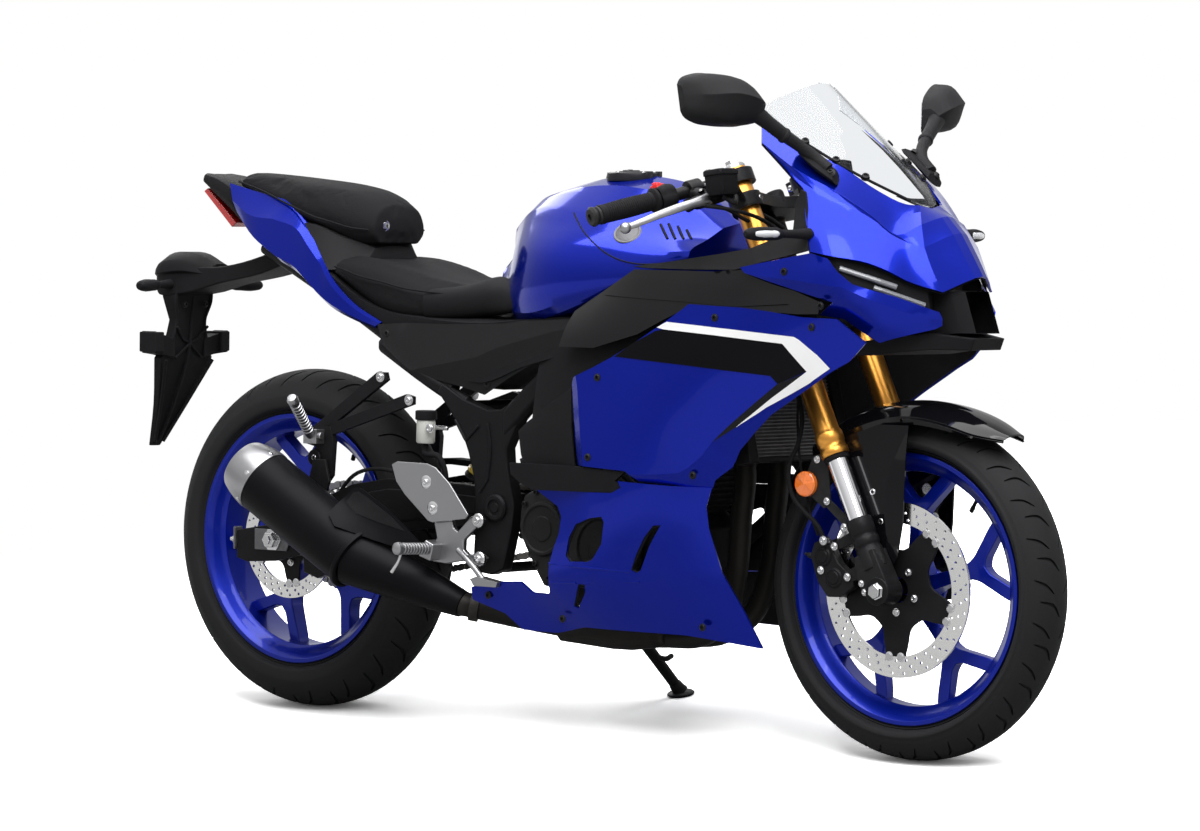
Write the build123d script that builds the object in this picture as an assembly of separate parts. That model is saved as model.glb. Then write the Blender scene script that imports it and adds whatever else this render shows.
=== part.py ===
"""A middleweight sport motorcycle, parked on its side stand.

Every piece is drawn upright in the bike's own frame, in millimetres: +X forward, +Y left, +Z up, zero halfway
between the axles on the ground. The finished pieces are then leaned over onto the side stand together.
"""

from build123d import *
import os
from math import acos, atan2, cos, degrees, pi, radians, sin, tan

# ---------------------------------------------------------------- driving dimensions
LEAN = 11.0  # degrees to the left, as it parks
ORIGIN_AHEAD = -68.0  # the stored origin, on the ground in the middle of the leaned bike
ORIGIN_LEFT = 189.0

FRONT_AXLE_X = 690.0
PIVOT = (-124.0, 399.0)  # swingarm pivot in X and Z
SWINGARM_LENGTH = 566.0  # pivot to rear axle, along the bike; it makes the wheelbase 1380
CASTER = 25.0  # steering axis back from the vertical, degrees
TRAIL = 95.0
RUNNING_GAP = 0.3  # between a turning bore and its shaft
SEAT_GAP = 0.3  # between curved faces that lie together

BEAD_RADIUS = 218.5
FLANGE_RADIUS = 232.0
FLANGE_WIDTH = 6.0
TYRE_GAP = 46.0  # rear tyre to the swingarm's cross box
FRONT = dict(x=FRONT_AXLE_X, radius=FLANGE_RADIUS + 61.0, width=112.0, crown=57.0, rim_half=36.0, hub=34.0,
             hub_half=39.0, spoke_half=11.0, phase=17.0)
REAR = dict(x=PIVOT[0] - SWINGARM_LENGTH, radius=FLANGE_RADIUS + 82.0, width=142.0, crown=75.0, rim_half=55.0,
            hub=40.0, hub_half=48.0, spoke_half=15.0, phase=25.0)
TYRE_LIFT = REAR["crown"] * (1 - cos(radians(LEAN)))  # the leaned bike rises as it rolls onto the tyre's side
SPOKE_PAIRS = 5
SPOKE_SPREAD = 18.5  # degrees each side of a pair's middle
SPOKE_JOINT_RADIUS = 138.0

AXLE_RADIUS = 8.5
FRONT_DISC = dict(radius=149.0, inner=113.0, thick=4.5, y=-60.0, carrier=82.0)
REAR_DISC = dict(radius=110.0, inner=82.0, thick=4.5, y=-74.0, carrier=56.0)
DISC_HOLES = 30
DISC_HOLE_RADIUS = 3.2
SPROCKET_RADIUS = 88.0
SPROCKET_Y = 84.0
CHAIN_WIDTH = 16.0
CHAIN_DEPTH = 15.0

FORK_HALF = 100.0  # fork legs each side of the middle
FORK_TUBE_RADIUS = 21.5
FORK_SLIDER_RADIUS = 18.0
FORK_LENGTH = 780.0  # axle to the top of the outer tube
FORK_OUTER_FROM = 246.0
FORK_BOTTOM_TO = 128.0
LOWER_CLAMP_AT = 478.0  # along the fork from the axle
UPPER_CLAMP_AT = FORK_LENGTH - 76
CLAMP_THICK = 26.0

DRIVE = dict(x=-38.0, z=384.0, radius=38.0)  # the front sprocket
# threaded holes for a paddock stand's bobbins
SPOOL_HOLE = dict(x=REAR["x"] + 50.0, z=REAR["radius"] + 4.0, radius=4.0, depth=14.0)
STAND_PIVOT = (-72.0, 112.0, 228.0)
STAND_FOOT = (-18.0, 255.0)  # X and Y of the foot on the floor, leaned

LID_CENTRE = (60.0, 0.0)
LID_RADIUS = 34.0
LID_THICK = 9.0
TANK_TOP = 988.0

FAIRING_WALL = 4.0
SCREEN_WALL = 3.0


# ---------------------------------------------------------------- helpers
def side(points, y_from, y_to):
    """A flat plate: an outline of (x, z) points, from one Y to another."""
    low, high = sorted((y_from, y_to))
    face = Face(Wire.make_polygon([Vector(x, low, z) for x, z in points], close=True))
    return Solid.extrude(face, Vector(0, high - low, 0))


def rod(start, end, radius, end_radius=None):
    """A round bar, or a cone, from one point to another."""
    a, b = Vector(*start), Vector(*end)
    plane = Plane(origin=a, z_dir=b - a)
    if end_radius is None or end_radius == radius:
        return Solid.make_cylinder(radius, (b - a).length, plane)
    return Solid.make_cone(radius, end_radius, (b - a).length, plane)


def across(x, z, radius, y_from, y_to):
    """A round bar along Y."""
    return rod((x, min(y_from, y_to), z), (x, max(y_from, y_to), z), radius)


def box(low, high):
    """A box between two corners."""
    size = [b - a for a, b in zip(low, high)]
    return Pos(*[(a + b) / 2 for a, b in zip(low, high)]) * Box(*size)


def pipe(points, radius, bend, bore=0.0):
    """A bent tube of straight runs joined by arcs."""
    path = FilletPolyline(*points, radius=bend)
    start = Plane(origin=path @ 0, z_dir=path % 0)
    tube = sweep(start * Circle(radius), path=path)
    if bore:
        tube -= sweep(start * Circle(bore), path=path)
    return tube


def both(*shapes):
    """Each shape and its mirror image on the other side of the bike."""
    return [m for s in shapes for m in (s, mirror(s, about=Plane.XZ))]


def closed(points, faces):
    """One solid of flat triangles."""
    made = [Face(Wire.make_polygon([Vector(*points[i]) for i in f], close=True)) for f in faces]
    solid = Solid(Shell(made))
    return solid if solid.volume > 0 else Solid(-Shell(made))


def body(rings):
    """A closed body through rings of as many points each, capped at both ends."""
    count = len(rings[0])
    points = [tuple(p) for ring in rings for p in ring]
    faces = []
    for r in range(len(rings) - 1):
        for i in range(count):
            a, b = r * count + i, r * count + (i + 1) % count
            c, d = a + count, b + count
            faces += [(a, b, d), (a, d, c)]
    for r in (0, len(rings) - 1):
        middle = len(points)
        ring = rings[r]
        points.append(tuple(sum(p[k] for p in ring) / count for k in range(3)))
        faces += [(r * count + i, r * count + (i + 1) % count, middle) for i in range(count)]
    return closed(points, faces)


def skin(rows, wall, inside):
    """A thin shell: a grid of outer points, and the same grid a wall's thickness nearer to a point inside."""
    n_rows, n_cols = len(rows), len(rows[0])
    outer = [[Vector(*p) for p in row] for row in rows]
    inner = []
    for r in range(n_rows):
        line = []
        for c in range(n_cols):
            along = outer[min(r + 1, n_rows - 1)][c] - outer[max(r - 1, 0)][c]
            over = outer[r][min(c + 1, n_cols - 1)] - outer[r][max(c - 1, 0)]
            normal = along.cross(over).normalized()
            if normal.dot(Vector(*inside) - outer[r][c]) < 0:
                normal = normal * -1
            line.append(outer[r][c] + normal * wall)
        inner.append(line)
    points = [tuple(p) for row in outer + inner for p in row]
    back = n_rows * n_cols

    def at(r, c, deep):
        return deep * back + r * n_cols + c

    faces = []
    for r in range(n_rows - 1):
        for c in range(n_cols - 1):
            for deep in (0, 1):
                a, b = at(r, c, deep), at(r, c + 1, deep)
                d, e = at(r + 1, c, deep), at(r + 1, c + 1, deep)
                faces += [(a, b, e), (a, e, d)]
    edge = [(0, c) for c in range(n_cols)] + [(r, n_cols - 1) for r in range(1, n_rows)]
    edge += [(n_rows - 1, c) for c in range(n_cols - 2, -1, -1)] + [(r, 0) for r in range(n_rows - 2, 0, -1)]
    for (r, c), (s, d) in zip(edge, edge[1:] + edge[:1]):
        faces += [(at(r, c, 0), at(s, d, 0), at(s, d, 1)), (at(r, c, 0), at(s, d, 1), at(r, c, 1))]
    return closed(points, faces)


def trimmed(shape, by):
    """The largest solid that is left of a shape once another is cut from it."""
    return max((shape - by).solids(), key=lambda s: s.volume)


def mirrored(points):
    """The same points on the other side."""
    return [(x, -y, z) for x, y, z in points]


# ---------------------------------------------------------------- wheels
def tyre(w):
    """The tyre's section turned round the axle: a crown arc, straight sidewalls and a bead."""
    lip = w["rim_half"] - 1.0
    edge_angle = radians(70)
    top = w["radius"]
    edge = (w["crown"] * sin(edge_angle), top - w["crown"] + w["crown"] * cos(edge_angle))
    wide = (w["width"] / 2, (edge[1] + FLANGE_RADIUS) / 2 + 4)
    section = Polyline((-lip, BEAD_RADIUS + 1), (-lip, FLANGE_RADIUS + 1), (-wide[0], wide[1]),
                       (-edge[0], edge[1]))
    section += ThreePointArc((-edge[0], edge[1]), (0, top), edge)
    section += Polyline(edge, wide, (lip, FLANGE_RADIUS + 1), (lip, BEAD_RADIUS + 1), (-lip, BEAD_RADIUS + 1))
    return turned(make_face(section), w)


def turned(face, w):
    """A section drawn as (across, radius), turned round a wheel's axle."""
    plane = Plane(origin=(w["x"], 0, w["radius"]), x_dir=(0, 1, 0), z_dir=(1, 0, 0))
    return revolve(plane * face, axis=Axis((w["x"], 0, w["radius"]), (0, 1, 0)))


def wheel_point(w, angle, radius):
    """X and Z of a point on a wheel, by its angle from straight ahead and its radius."""
    return w["x"] + radius * cos(radians(angle)), w["radius"] + radius * sin(radians(angle))


def spoke(w, start, end, start_half, end_half, half):
    """A tapered spoke between two polar points (angle, radius), with its half widths at both ends."""
    (x0, z0), (x1, z1) = wheel_point(w, *start), wheel_point(w, *end)
    heading = atan2(z1 - z0, x1 - x0)
    nx, nz = -sin(heading), cos(heading)
    outline = [(x0 + nx * start_half, z0 + nz * start_half), (x1 + nx * end_half, z1 + nz * end_half),
               (x1 - nx * end_half, z1 - nz * end_half), (x0 - nx * start_half, z0 - nz * start_half)]
    return side(outline, -half, half)


def rim(w):
    """Barrel with two flanges and a drop centre, a hub, and forked spokes."""
    half, lip = w["rim_half"], w["rim_half"] + FLANGE_WIDTH
    barrel = make_face(Polyline(
        (-lip, FLANGE_RADIUS), (-half, FLANGE_RADIUS), (-half, BEAD_RADIUS), (-half + 16, BEAD_RADIUS),
        (-half + 24, BEAD_RADIUS - 12), (half - 24, BEAD_RADIUS - 12), (half - 16, BEAD_RADIUS),
        (half, BEAD_RADIUS), (half, FLANGE_RADIUS), (lip, FLANGE_RADIUS), (lip, FLANGE_RADIUS - 8), (half - 6, BEAD_RADIUS - 7),
        (half - 18, BEAD_RADIUS - 19), (-half + 18, BEAD_RADIUS - 19), (-half + 6, BEAD_RADIUS - 7),
        (-lip, FLANGE_RADIUS - 8), close=True))
    shape = turned(barrel, w)
    x, z = w["x"], w["radius"]
    shape += across(x, z, w["hub"], -w["hub_half"], w["hub_half"])
    reach = BEAD_RADIUS - 13
    for pair in range(SPOKE_PAIRS):
        middle = w["phase"] + pair * 360 / SPOKE_PAIRS
        joint = (middle, SPOKE_JOINT_RADIUS)
        shape += spoke(w, (middle, w["hub"] - 10), joint, 15, 12, w["spoke_half"] + 3)
        for turn in (-SPOKE_SPREAD, SPOKE_SPREAD):
            root = (middle, SPOKE_JOINT_RADIUS - 12)
            shape += spoke(w, root, (middle + turn, reach), 10, 9, w["spoke_half"])
    shape -= across(x, z, AXLE_RADIUS + RUNNING_GAP, -w["hub_half"] - 1, w["hub_half"] + 1)
    return shape


def disc(w, d):
    """The brake disc's drilled friction ring."""
    x, z = w["x"], w["radius"]
    ring = across(x, z, d["radius"], d["y"] - d["thick"] / 2, d["y"] + d["thick"] / 2)
    ring -= across(x, z, d["inner"], d["y"] - d["thick"], d["y"] + d["thick"])
    holes = []
    for k in range(DISC_HOLES):
        share = 0.3 + 0.2 * (k % 3)
        radius = d["inner"] + share * (d["radius"] - d["inner"])
        hx, hz = wheel_point(w, k * 360 / DISC_HOLES, radius)
        holes.append(across(hx, hz, DISC_HOLE_RADIUS, d["y"] - d["thick"], d["y"] + d["thick"]))
    return ring - holes + disc_carrier(w, d)


def disc_carrier(w, d):
    """The carrier between hub and friction ring: a small ring with arms that run into the friction ring."""
    x, z = w["x"], w["radius"]
    near = d["y"] - d["thick"] / 2
    shape = across(x, z, d["carrier"] + 8, near, near + d["thick"])
    shape -= across(x, z, d["carrier"] - 16, near - 1, near + 9)
    for k in range(5):
        angle = w["phase"] + 36 + k * 72
        shape += spoke(w, (angle, d["carrier"] - 4), (angle, d["inner"] + 4), 13, 8, d["thick"] / 2).translate(
            (0, d["y"], 0))
        shape += spoke(w, (angle, w["hub"] - 6), (angle, d["carrier"] - 6), 9, 8, d["thick"] / 2).translate(
            (0, d["y"], 0))
    shape += across(x, z, w["hub"] - 4, near, -w["hub_half"])
    return shape - across(x, z, AXLE_RADIUS + 9, near - 1, -w["hub_half"] + 1)


def sprocket():
    """The rear sprocket and its boss on the left of the hub."""
    x, z = REAR["x"], REAR["radius"]
    shape = across(x, z, SPROCKET_RADIUS, SPROCKET_Y - 3, SPROCKET_Y + 3)
    shape += across(x, z, 42, REAR["hub_half"], SPROCKET_Y + 4)
    for k in range(5):
        hx, hz = wheel_point(REAR, k * 72, 64)
        shape -= across(hx, hz, 13, SPROCKET_Y - 4, SPROCKET_Y + 4)
    return shape - across(x, z, AXLE_RADIUS + RUNNING_GAP, REAR["hub_half"] - 1, SPROCKET_Y + 5)


# ---------------------------------------------------------------- steering, drawn along the fork from the axle
FORK = Pos(FRONT["x"], 0, FRONT["radius"]) * Rot(0, -CASTER, 0)
STEM_OFFSET = (FRONT["radius"] * tan(radians(CASTER)) - TRAIL) * cos(radians(CASTER))


def fork_outer():
    """Two outer tubes, open below for the sliders."""
    tube = rod((0, FORK_HALF, FORK_OUTER_FROM), (0, FORK_HALF, FORK_LENGTH), FORK_TUBE_RADIUS)
    tube += rod((0, FORK_HALF, FORK_OUTER_FROM), (0, FORK_HALF, FORK_OUTER_FROM + 42), FORK_TUBE_RADIUS + 3)
    tube -= rod((0, FORK_HALF, FORK_OUTER_FROM - 1), (0, FORK_HALF, FORK_OUTER_FROM + 160),
                FORK_SLIDER_RADIUS + SEAT_GAP)
    return both(tube)


def fork_inner():
    """Two bright sliders, from the axle castings into the outer tubes."""
    return both(rod((0, FORK_HALF, FORK_BOTTOM_TO + SEAT_GAP), (0, FORK_HALF, FORK_OUTER_FROM + 150),
                    FORK_SLIDER_RADIUS))


def fork_bottoms():
    """Two castings that hold the axle; the right one carries the caliper."""
    made = []
    for sign in (1, -1):
        y = sign * FORK_HALF
        leg = rod((0, y, 20), (0, y, FORK_BOTTOM_TO), FORK_SLIDER_RADIUS + 5)
        leg += rod((0, y - 20, 0), (0, y + 20, 0), 24)
        leg += box((-18, y - 18, 0), (18, y + 18, 34))
        leg -= rod((0, y - 30, 0), (0, y + 30, 0), AXLE_RADIUS + SEAT_GAP)
        if sign < 0:
            leg += box((-78, y + 12, 38), (-10, y + 20, 66))
            leg += box((-78, y + 12, 98), (-10, y + 20, 122))
        made.append(leg)
    return made


def triple_clamps():
    """Lower and upper clamps joined by the steering stem."""
    shape = None
    for at_height, grip in ((LOWER_CLAMP_AT, 31), (UPPER_CLAMP_AT, 29)):
        plan = [(-STEM_OFFSET - 26, -34), (-18, -FORK_HALF), (14, -FORK_HALF), (14, FORK_HALF),
                (-18, FORK_HALF), (-STEM_OFFSET - 26, 34)]
        face = Face(Wire.make_polygon([Vector(x, y, at_height) for x, y in plan], close=True))
        plate = Solid.extrude(face, Vector(0, 0, CLAMP_THICK))
        for y in (-FORK_HALF, FORK_HALF):
            plate += rod((0, y, at_height), (0, y, at_height + CLAMP_THICK), grip)
        for y in (-FORK_HALF, FORK_HALF):
            bore = FORK_TUBE_RADIUS + SEAT_GAP
            plate -= rod((0, y, at_height - 1), (0, y, at_height + CLAMP_THICK + 1), bore)
        shape = plate if shape is None else shape + plate
    stem = rod((-STEM_OFFSET, 0, LOWER_CLAMP_AT), (-STEM_OFFSET, 0, UPPER_CLAMP_AT + CLAMP_THICK + 8), 14)
    return shape + stem


# handlebar geometry: (distance out from the middle, back from the fork tube, height along the fork)
BAR_ROOT = (FORK_HALF, 4.0, FORK_LENGTH - 18)
BAR_END = (FORK_HALF + 269, -122.0, FORK_LENGTH - 36)


def bar_point(share, drop=0.0):
    """A point along the left handlebar, from its clamp (0) to its end (1)."""
    y, x, w = [a + (b - a) * share for a, b in zip(BAR_ROOT, BAR_END)]
    return (x, y, w - drop)


def handlebars():
    """Clip-on bars with their clamps and switch pods."""
    low, high = BAR_ROOT[2] - 14, BAR_ROOT[2] + 14
    clamp = rod((0, FORK_HALF, low), (0, FORK_HALF, high), 30)
    clamp -= rod((0, FORK_HALF, low - 9), (0, FORK_HALF, high + 9), FORK_TUBE_RADIUS + SEAT_GAP)
    bar = rod(bar_point(0.09), bar_point(0.56), 11)
    pod = rod(bar_point(0.42), bar_point(0.56), 23)
    return both(clamp + bar + pod)


def grips():
    """Rubber grips with bar-end weights."""
    grip = rod(bar_point(0.565), bar_point(0.95), 16.5) + rod(bar_point(0.565), bar_point(0.6), 22)
    grip += rod(bar_point(0.95), bar_point(1.0), 18)
    return both(grip)


def levers():
    """Brake and clutch levers in front of the grips, each a flat blade with a ball end."""
    reach = 48.0
    start, middle, end = bar_point(0.33), bar_point(0.62), bar_point(0.93)

    def ahead(p, dx, drop=14.0):
        return (p[0] + dx, p[1], p[2] - drop)

    lever = rod(ahead(start, 26), ahead(middle, reach), 6)
    lever += rod(ahead(middle, reach), ahead(end, reach - 6), 5)
    lever += Pos(*ahead(middle, reach)) * Sphere(6)
    lever += Pos(*ahead(end, reach - 6)) * Sphere(9)
    perch = rod(bar_point(0.26), bar_point(0.40), 20)
    perch += rod(bar_point(0.33), ahead(start, 30), 11)
    return both(lever + perch - rod(bar_point(0.2), bar_point(0.5), 11 + SEAT_GAP))


def brake_reservoir():
    """The front brake's fluid reservoir on the right bar, level while the fork leans back."""
    out, high = FORK_HALF + 88, FORK_LENGTH - 38
    cup = Pos(28, -out, high) * Rot(0, CASTER - 8, 0) * Box(40, 50, 44)
    return cup + rod((24, -out + 18, high + 10), (-20, -out + 30, high + 16), 7) - handlebars() - levers()


def front_caliper():
    """Two-piston caliper that straddles the disc behind the right fork leg."""
    d = FRONT_DISC
    block = box((-124, d["y"] - 20, 30), (-60, d["y"] + 24, 132))
    return block - rod((0, d["y"] - 7.6, 0), (0, d["y"] + 7.6, 0), d["radius"] + 6)


def front_axle():
    """The front axle with its heads."""
    x, z, out = FRONT["x"], FRONT["radius"], FORK_HALF + 22
    shape = across(x, z, AXLE_RADIUS, -out, out)
    return shape + across(x, z, 14, out, out + 7) + across(x, z, 14, -out - 7, -out)


FENDER = dict(gap=22.0, wall=3.0, half=71.0, front=52.0, back=128.0)


def front_fender():
    """Arched guard over the front tyre with a leg down to each fork casting."""
    f = FENDER
    top = FRONT["radius"] + f["gap"]
    edge = top - 42
    wall = f["wall"]
    outer = [(f["half"], edge - 20), (f["half"] - 3, edge), (f["half"] - 22, top - 10), (0, top)]
    inner = [(f["half"] - wall, edge - 20), (f["half"] - 6, edge), (f["half"] - 24, top - 10 - wall),
             (0, top - wall)]
    left = [(-y, z) for y, z in reversed(outer[:-1])]
    arch = Polyline(*outer, *left, *[(-y, z) for y, z in inner[:-1]], *inner[::-1], close=True)
    plane = Plane(origin=(FRONT["x"], 0, FRONT["radius"]), x_dir=(0, 1, 0), z_dir=(1, 0, 0))
    section = plane * make_face(arch)
    axle = Axis((FRONT["x"], 0, FRONT["radius"]), (0, -1, 0))
    section = section.rotate(axle, f["front"] - 90)
    shape = revolve(section, axis=axle, revolution_arc=f["back"] - f["front"])
    x, z = FRONT["x"], FRONT["radius"]
    leg = side([(x - 96, 2 * z - 45), (x + 28, 2 * z - 25), (x - 8, z + 120), (x - 20, z + 40),
                (x - 44, z + 60), (x - 72, z + 150)], f["half"] - f["wall"], f["half"])
    return shape + both(leg)


# ---------------------------------------------------------------- frame, engine and running gear
def main_frame():
    """Head tube, twin upper spars, pivot plates and cross tubes."""
    base = Vector(-STEM_OFFSET, 0, 0)
    head = rod((base.X, 0, LOWER_CLAMP_AT + CLAMP_THICK + 4), (base.X, 0, UPPER_CLAMP_AT - 4), 29)
    head -= rod((base.X, 0, LOWER_CLAMP_AT), (base.X, 0, UPPER_CLAMP_AT), 14 + RUNNING_GAP)
    head = FORK * head
    spar = body([[(404, 4, 835), (404, 34, 835), (404, 34, 775), (404, 4, 775)],
                 [(180, 96, 790), (180, 124, 790), (180, 124, 742), (180, 96, 742)],
                 [(-130, 122, 580), (-130, 150, 580), (-130, 150, 524), (-130, 122, 524)]])
    plate = side([(-266, 614), (-92, 590), (-100, 540), (-88, 440), (-84, 400), (-100, 340), (-108, 284),
                  (-166, 281), (-176, 400), (-184, 440), (-196, 512), (-238, 552)], 124, 150)
    shape = head + both(spar, plate)
    shape += across(-140, 290, 9, -125, 125)
    shape += across(-215, 572, 14, -125, 125)
    shape += across(PIVOT[0], PIVOT[1], 9.5, -152, 152)
    for sign in (1, -1):
        shape += across(PIVOT[0], PIVOT[1], 17, sign * 150, sign * 160)
    shape -= FORK * rod((base.X, 0, LOWER_CLAMP_AT), (base.X, 0, UPPER_CLAMP_AT), 14 + RUNNING_GAP)
    return shape


def rear_subframe():
    """Two rails under the seats, joined by cross pieces, with the passenger peg hangers."""
    rail = body([[(-270, 124, 622), (-270, 144, 622), (-270, 144, 596), (-270, 124, 596)],
                 [(-500, 96, 752), (-500, 114, 752), (-500, 114, 728), (-500, 96, 728)],
                 [(-780, 40, 862), (-780, 56, 862), (-780, 56, 842), (-780, 40, 842)]])
    shape = both(rail)
    joined = shape[0] + shape[1]
    for x, z, half in ((-480, 730, 104), (-760, 846, 46)):
        joined += across(x, z, 9, -half, half)
    return joined


def engine():
    """Parallel twin as one block: crankcase, forward-leaning cylinders, head and the two side covers."""
    case = side([(-78, 430), (90, 452), (236, 372), (222, 250), (140, 222), (-14, 236), (-84, 330)], -118, 118)
    barrel = side([(20, 440), (176, 640), (330, 560), (232, 376), (120, 400)], -104, 104)
    shape = case + barrel
    shape += across(-18, 380, 60, -150, -118)
    shape += across(110, 340, 74, -146, -118) + across(110, 340, 70, 118, 146)
    shape += across(-24, 350, 50, 118, 138)
    x, z, room = DRIVE["x"], DRIVE["z"], DRIVE["radius"] + CHAIN_DEPTH + 5
    slot = across(x, z, room, SPROCKET_Y - 14, SPROCKET_Y + 14)
    return shape - slot - box((-150, SPROCKET_Y - 14, z - room - 20), (x, SPROCKET_Y + 14, z + room))


def exhaust_headers():
    """Two header pipes down the front of the engine to a collector box under it, then the link pipe."""
    shape = None
    for y in (-48, 48):
        bends = [(300, y, 560), (354, y, 508), (342, y, 320), (264, y * 0.6, 186), (150, y * 0.4, 178)]
        run = pipe(bends, 19, 34)
        shape = run if shape is None else shape + run
    box_low = box((-60, -62, 158), (160, 62, 206))
    link = rod((-40, -40, 190), (-205, -142, 222), 22)
    return shape + box_low + link - engine() - muffler()


MUFFLER_BACK = (-668.0, -226.0, 458.0)
MUFFLER_NECK = (-420.0, -196.0, 300.0)
MUFFLER_FRONT = (-205.0, -142.0, 222.0)
MUFFLER_RADIUS = 58.0


def along(a, b, share):
    """A point part of the way from a to b."""
    return tuple(p + (q - p) * share for p, q in zip(a, b))


def muffler():
    """The silencer can with its tapered front pipe and its end cap."""
    seam = along(MUFFLER_NECK, MUFFLER_BACK, 0.82)
    shape = rod(MUFFLER_NECK, seam, MUFFLER_RADIUS)
    shape += rod(MUFFLER_FRONT, MUFFLER_NECK, 24, MUFFLER_RADIUS - 4)
    shape += rod(seam, MUFFLER_BACK, MUFFLER_RADIUS + 1, MUFFLER_RADIUS - 8)
    return shape - rod(along(MUFFLER_NECK, MUFFLER_BACK, 0.9), along(MUFFLER_NECK, MUFFLER_BACK, 1.1), 30)


def muffler_shield():
    """The heat shield on the silencer's outer side."""
    start, end = along(MUFFLER_FRONT, MUFFLER_NECK, 0.45), along(MUFFLER_NECK, MUFFLER_BACK, 0.30)
    outer = rod(start, along(start, end, 0.5), 44, MUFFLER_RADIUS + 9) + rod(
        along(start, end, 0.5), end, MUFFLER_RADIUS + 9, MUFFLER_RADIUS + 6)
    outer -= rod(MUFFLER_NECK, along(MUFFLER_NECK, MUFFLER_BACK, 0.82), MUFFLER_RADIUS + 2)
    outer -= rod(along(MUFFLER_FRONT, MUFFLER_NECK, 0.02), MUFFLER_NECK, 26, MUFFLER_RADIUS + 2)
    return outer & box((-520, -330, 330), (-250, -150, 520))


def radiator():
    """The radiator core with its side tanks, ahead of the engine."""
    core = side([(412, 500), (436, 494), (398, 666), (374, 666)], -120, 120)
    tanks = side([(408, 496), (440, 490), (400, 672), (370, 672)], -146, -120)
    return core + both(tanks)


def swingarm():
    """Two box arms joined ahead of the wheel, drilled for the pivot and the axle."""
    (px, pz), x, z = PIVOT, REAR["x"], REAR["radius"]
    arm = side([(px + 24, pz + 25), (px - 292, pz + 39), (x + 130, z + 86), (x + 50, z + 34), (x - 96, z + 26),
                (x - 96, z - 24), (x + 40, z - 28), (x + 150, z + 8), (px - 206, pz - 49), (px + 20, pz - 27)],
               98, 118)
    shape = both(arm)
    joined = shape[0] + shape[1]
    joined += box((x + z + TYRE_GAP, -100, pz - 59), (px - 112, 100, pz + 5))
    joined += across(PIVOT[0], PIVOT[1], 17, -118, 118)
    joined -= across(PIVOT[0], PIVOT[1], 9.5 + SEAT_GAP, -130, 130)
    joined -= across(REAR["x"], REAR["radius"], AXLE_RADIUS + SEAT_GAP, -130, 130)
    for y in (-118, 118):
        h = SPOOL_HOLE
        joined -= across(h["x"], h["z"], h["radius"], y, y * (1 - h["depth"] / 118))
    return joined


def rear_axle():
    """The rear axle with its nuts."""
    x, z = REAR["x"], REAR["radius"]
    return across(x, z, AXLE_RADIUS, -126, 126) + across(x, z, 16, 118.5, 132) + across(x, z, 16, -132, -118.5)


def rear_caliper():
    """Single-piston rear caliper on its bracket, under the right arm."""
    d = REAR_DISC
    x, z = REAR["x"], REAR["radius"]
    block = box((x + 58, d["y"] - 24, z - 64), (x + 124, d["y"] + 20, z + 16))
    return block - across(x, z, d["radius"] + 6, d["y"] - 7.6, d["y"] + 7.6)


def rear_shock():
    """The damper and its coil spring, upright behind the engine."""
    (px, pz) = PIVOT
    foot, head = (px - 172, 0, pz + 23), (px - 102, 0, pz + 153)
    shape = rod(foot, head, 12) + box((px - 188, -16, pz + 5), (px - 154, 16, pz + 25))
    spring = rod(along(foot, head, 0.15), along(foot, head, 0.9), 30)
    return shape + spring


def drive_chain():
    """The chain as one fixed loop round both sprockets."""
    r_back, r_front = SPROCKET_RADIUS + 1.5, DRIVE["radius"]
    x0, z0 = REAR["x"], REAR["radius"]
    x1, z1 = DRIVE["x"], DRIVE["z"]

    def loop(extra):
        gap = ((x1 - x0) ** 2 + (z1 - z0) ** 2) ** 0.5
        tilt = atan2(z1 - z0, x1 - x0)
        lean = acos((r_back - r_front) / gap)
        big, small = r_back + extra, r_front + extra

        def p(cx, cz, r, a):
            return (cx + r * cos(a), cz + r * sin(a))

        up, down = tilt + lean, tilt - lean
        rim_line = Line(p(x0, z0, big, up), p(x1, z1, small, up))
        rim_line += ThreePointArc(p(x1, z1, small, up), p(x1, z1, small, tilt), p(x1, z1, small, down))
        rim_line += Line(p(x1, z1, small, down), p(x0, z0, big, down))
        rim_line += ThreePointArc(p(x0, z0, big, down), p(x0, z0, big, tilt + pi), p(x0, z0, big, up))
        return make_face(rim_line)

    band = loop(CHAIN_DEPTH) - loop(0.0)
    plane = Plane(origin=(0, SPROCKET_Y + CHAIN_WIDTH / 2, 0), x_dir=(1, 0, 0), z_dir=(0, -1, 0))
    return extrude(plane * band, amount=CHAIN_WIDTH)


def rider_pegs():
    """Rearset brackets on the frame plates, each with a peg and a heel guard."""
    bracket = side([(-150, 388), (-180, 372), (-262, 350), (-262, 322), (-180, 318), (-150, 300), (-140, 312),
                    (-172, 334), (-172, 352), (-140, 376)], 154, 166)
    bracket += across(-152, 378, 11, 150.5, 170) + across(-150, 310, 11, 150.5, 170)
    bracket += box((-262, 160, 322), (-226, 190, 350))
    bracket += rod((-244, 186, 336), (-252, 268, 338), 11)
    guard = side([(-346, 474), (-268, 466), (-222, 440), (-172, 384), (-196, 366), (-262, 372),
                  (-316, 420)], 168, 172)
    guard += side([(-262, 380), (-206, 384), (-206, 340), (-256, 340)], 160, 170)
    return both(bracket + guard)


def passenger_pegs():
    """Hangers below the tail, each with a folded peg."""
    hanger = side([(-405, 626), (-392, 612), (-520, 528), (-344, 590), (-336, 576), (-520, 500), (-534, 446),
                   (-556, 446), (-552, 530)], 146, 156)
    hanger += across(-400, 614, 9, 142, 156) + across(-345, 582, 9, 142, 156)
    hanger += rod((-544, 150, 512), (-556, 182, 512), 12)
    hanger += rod((-556, 180, 512), (-520, 262, 590), 9)
    return both(hanger)


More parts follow.
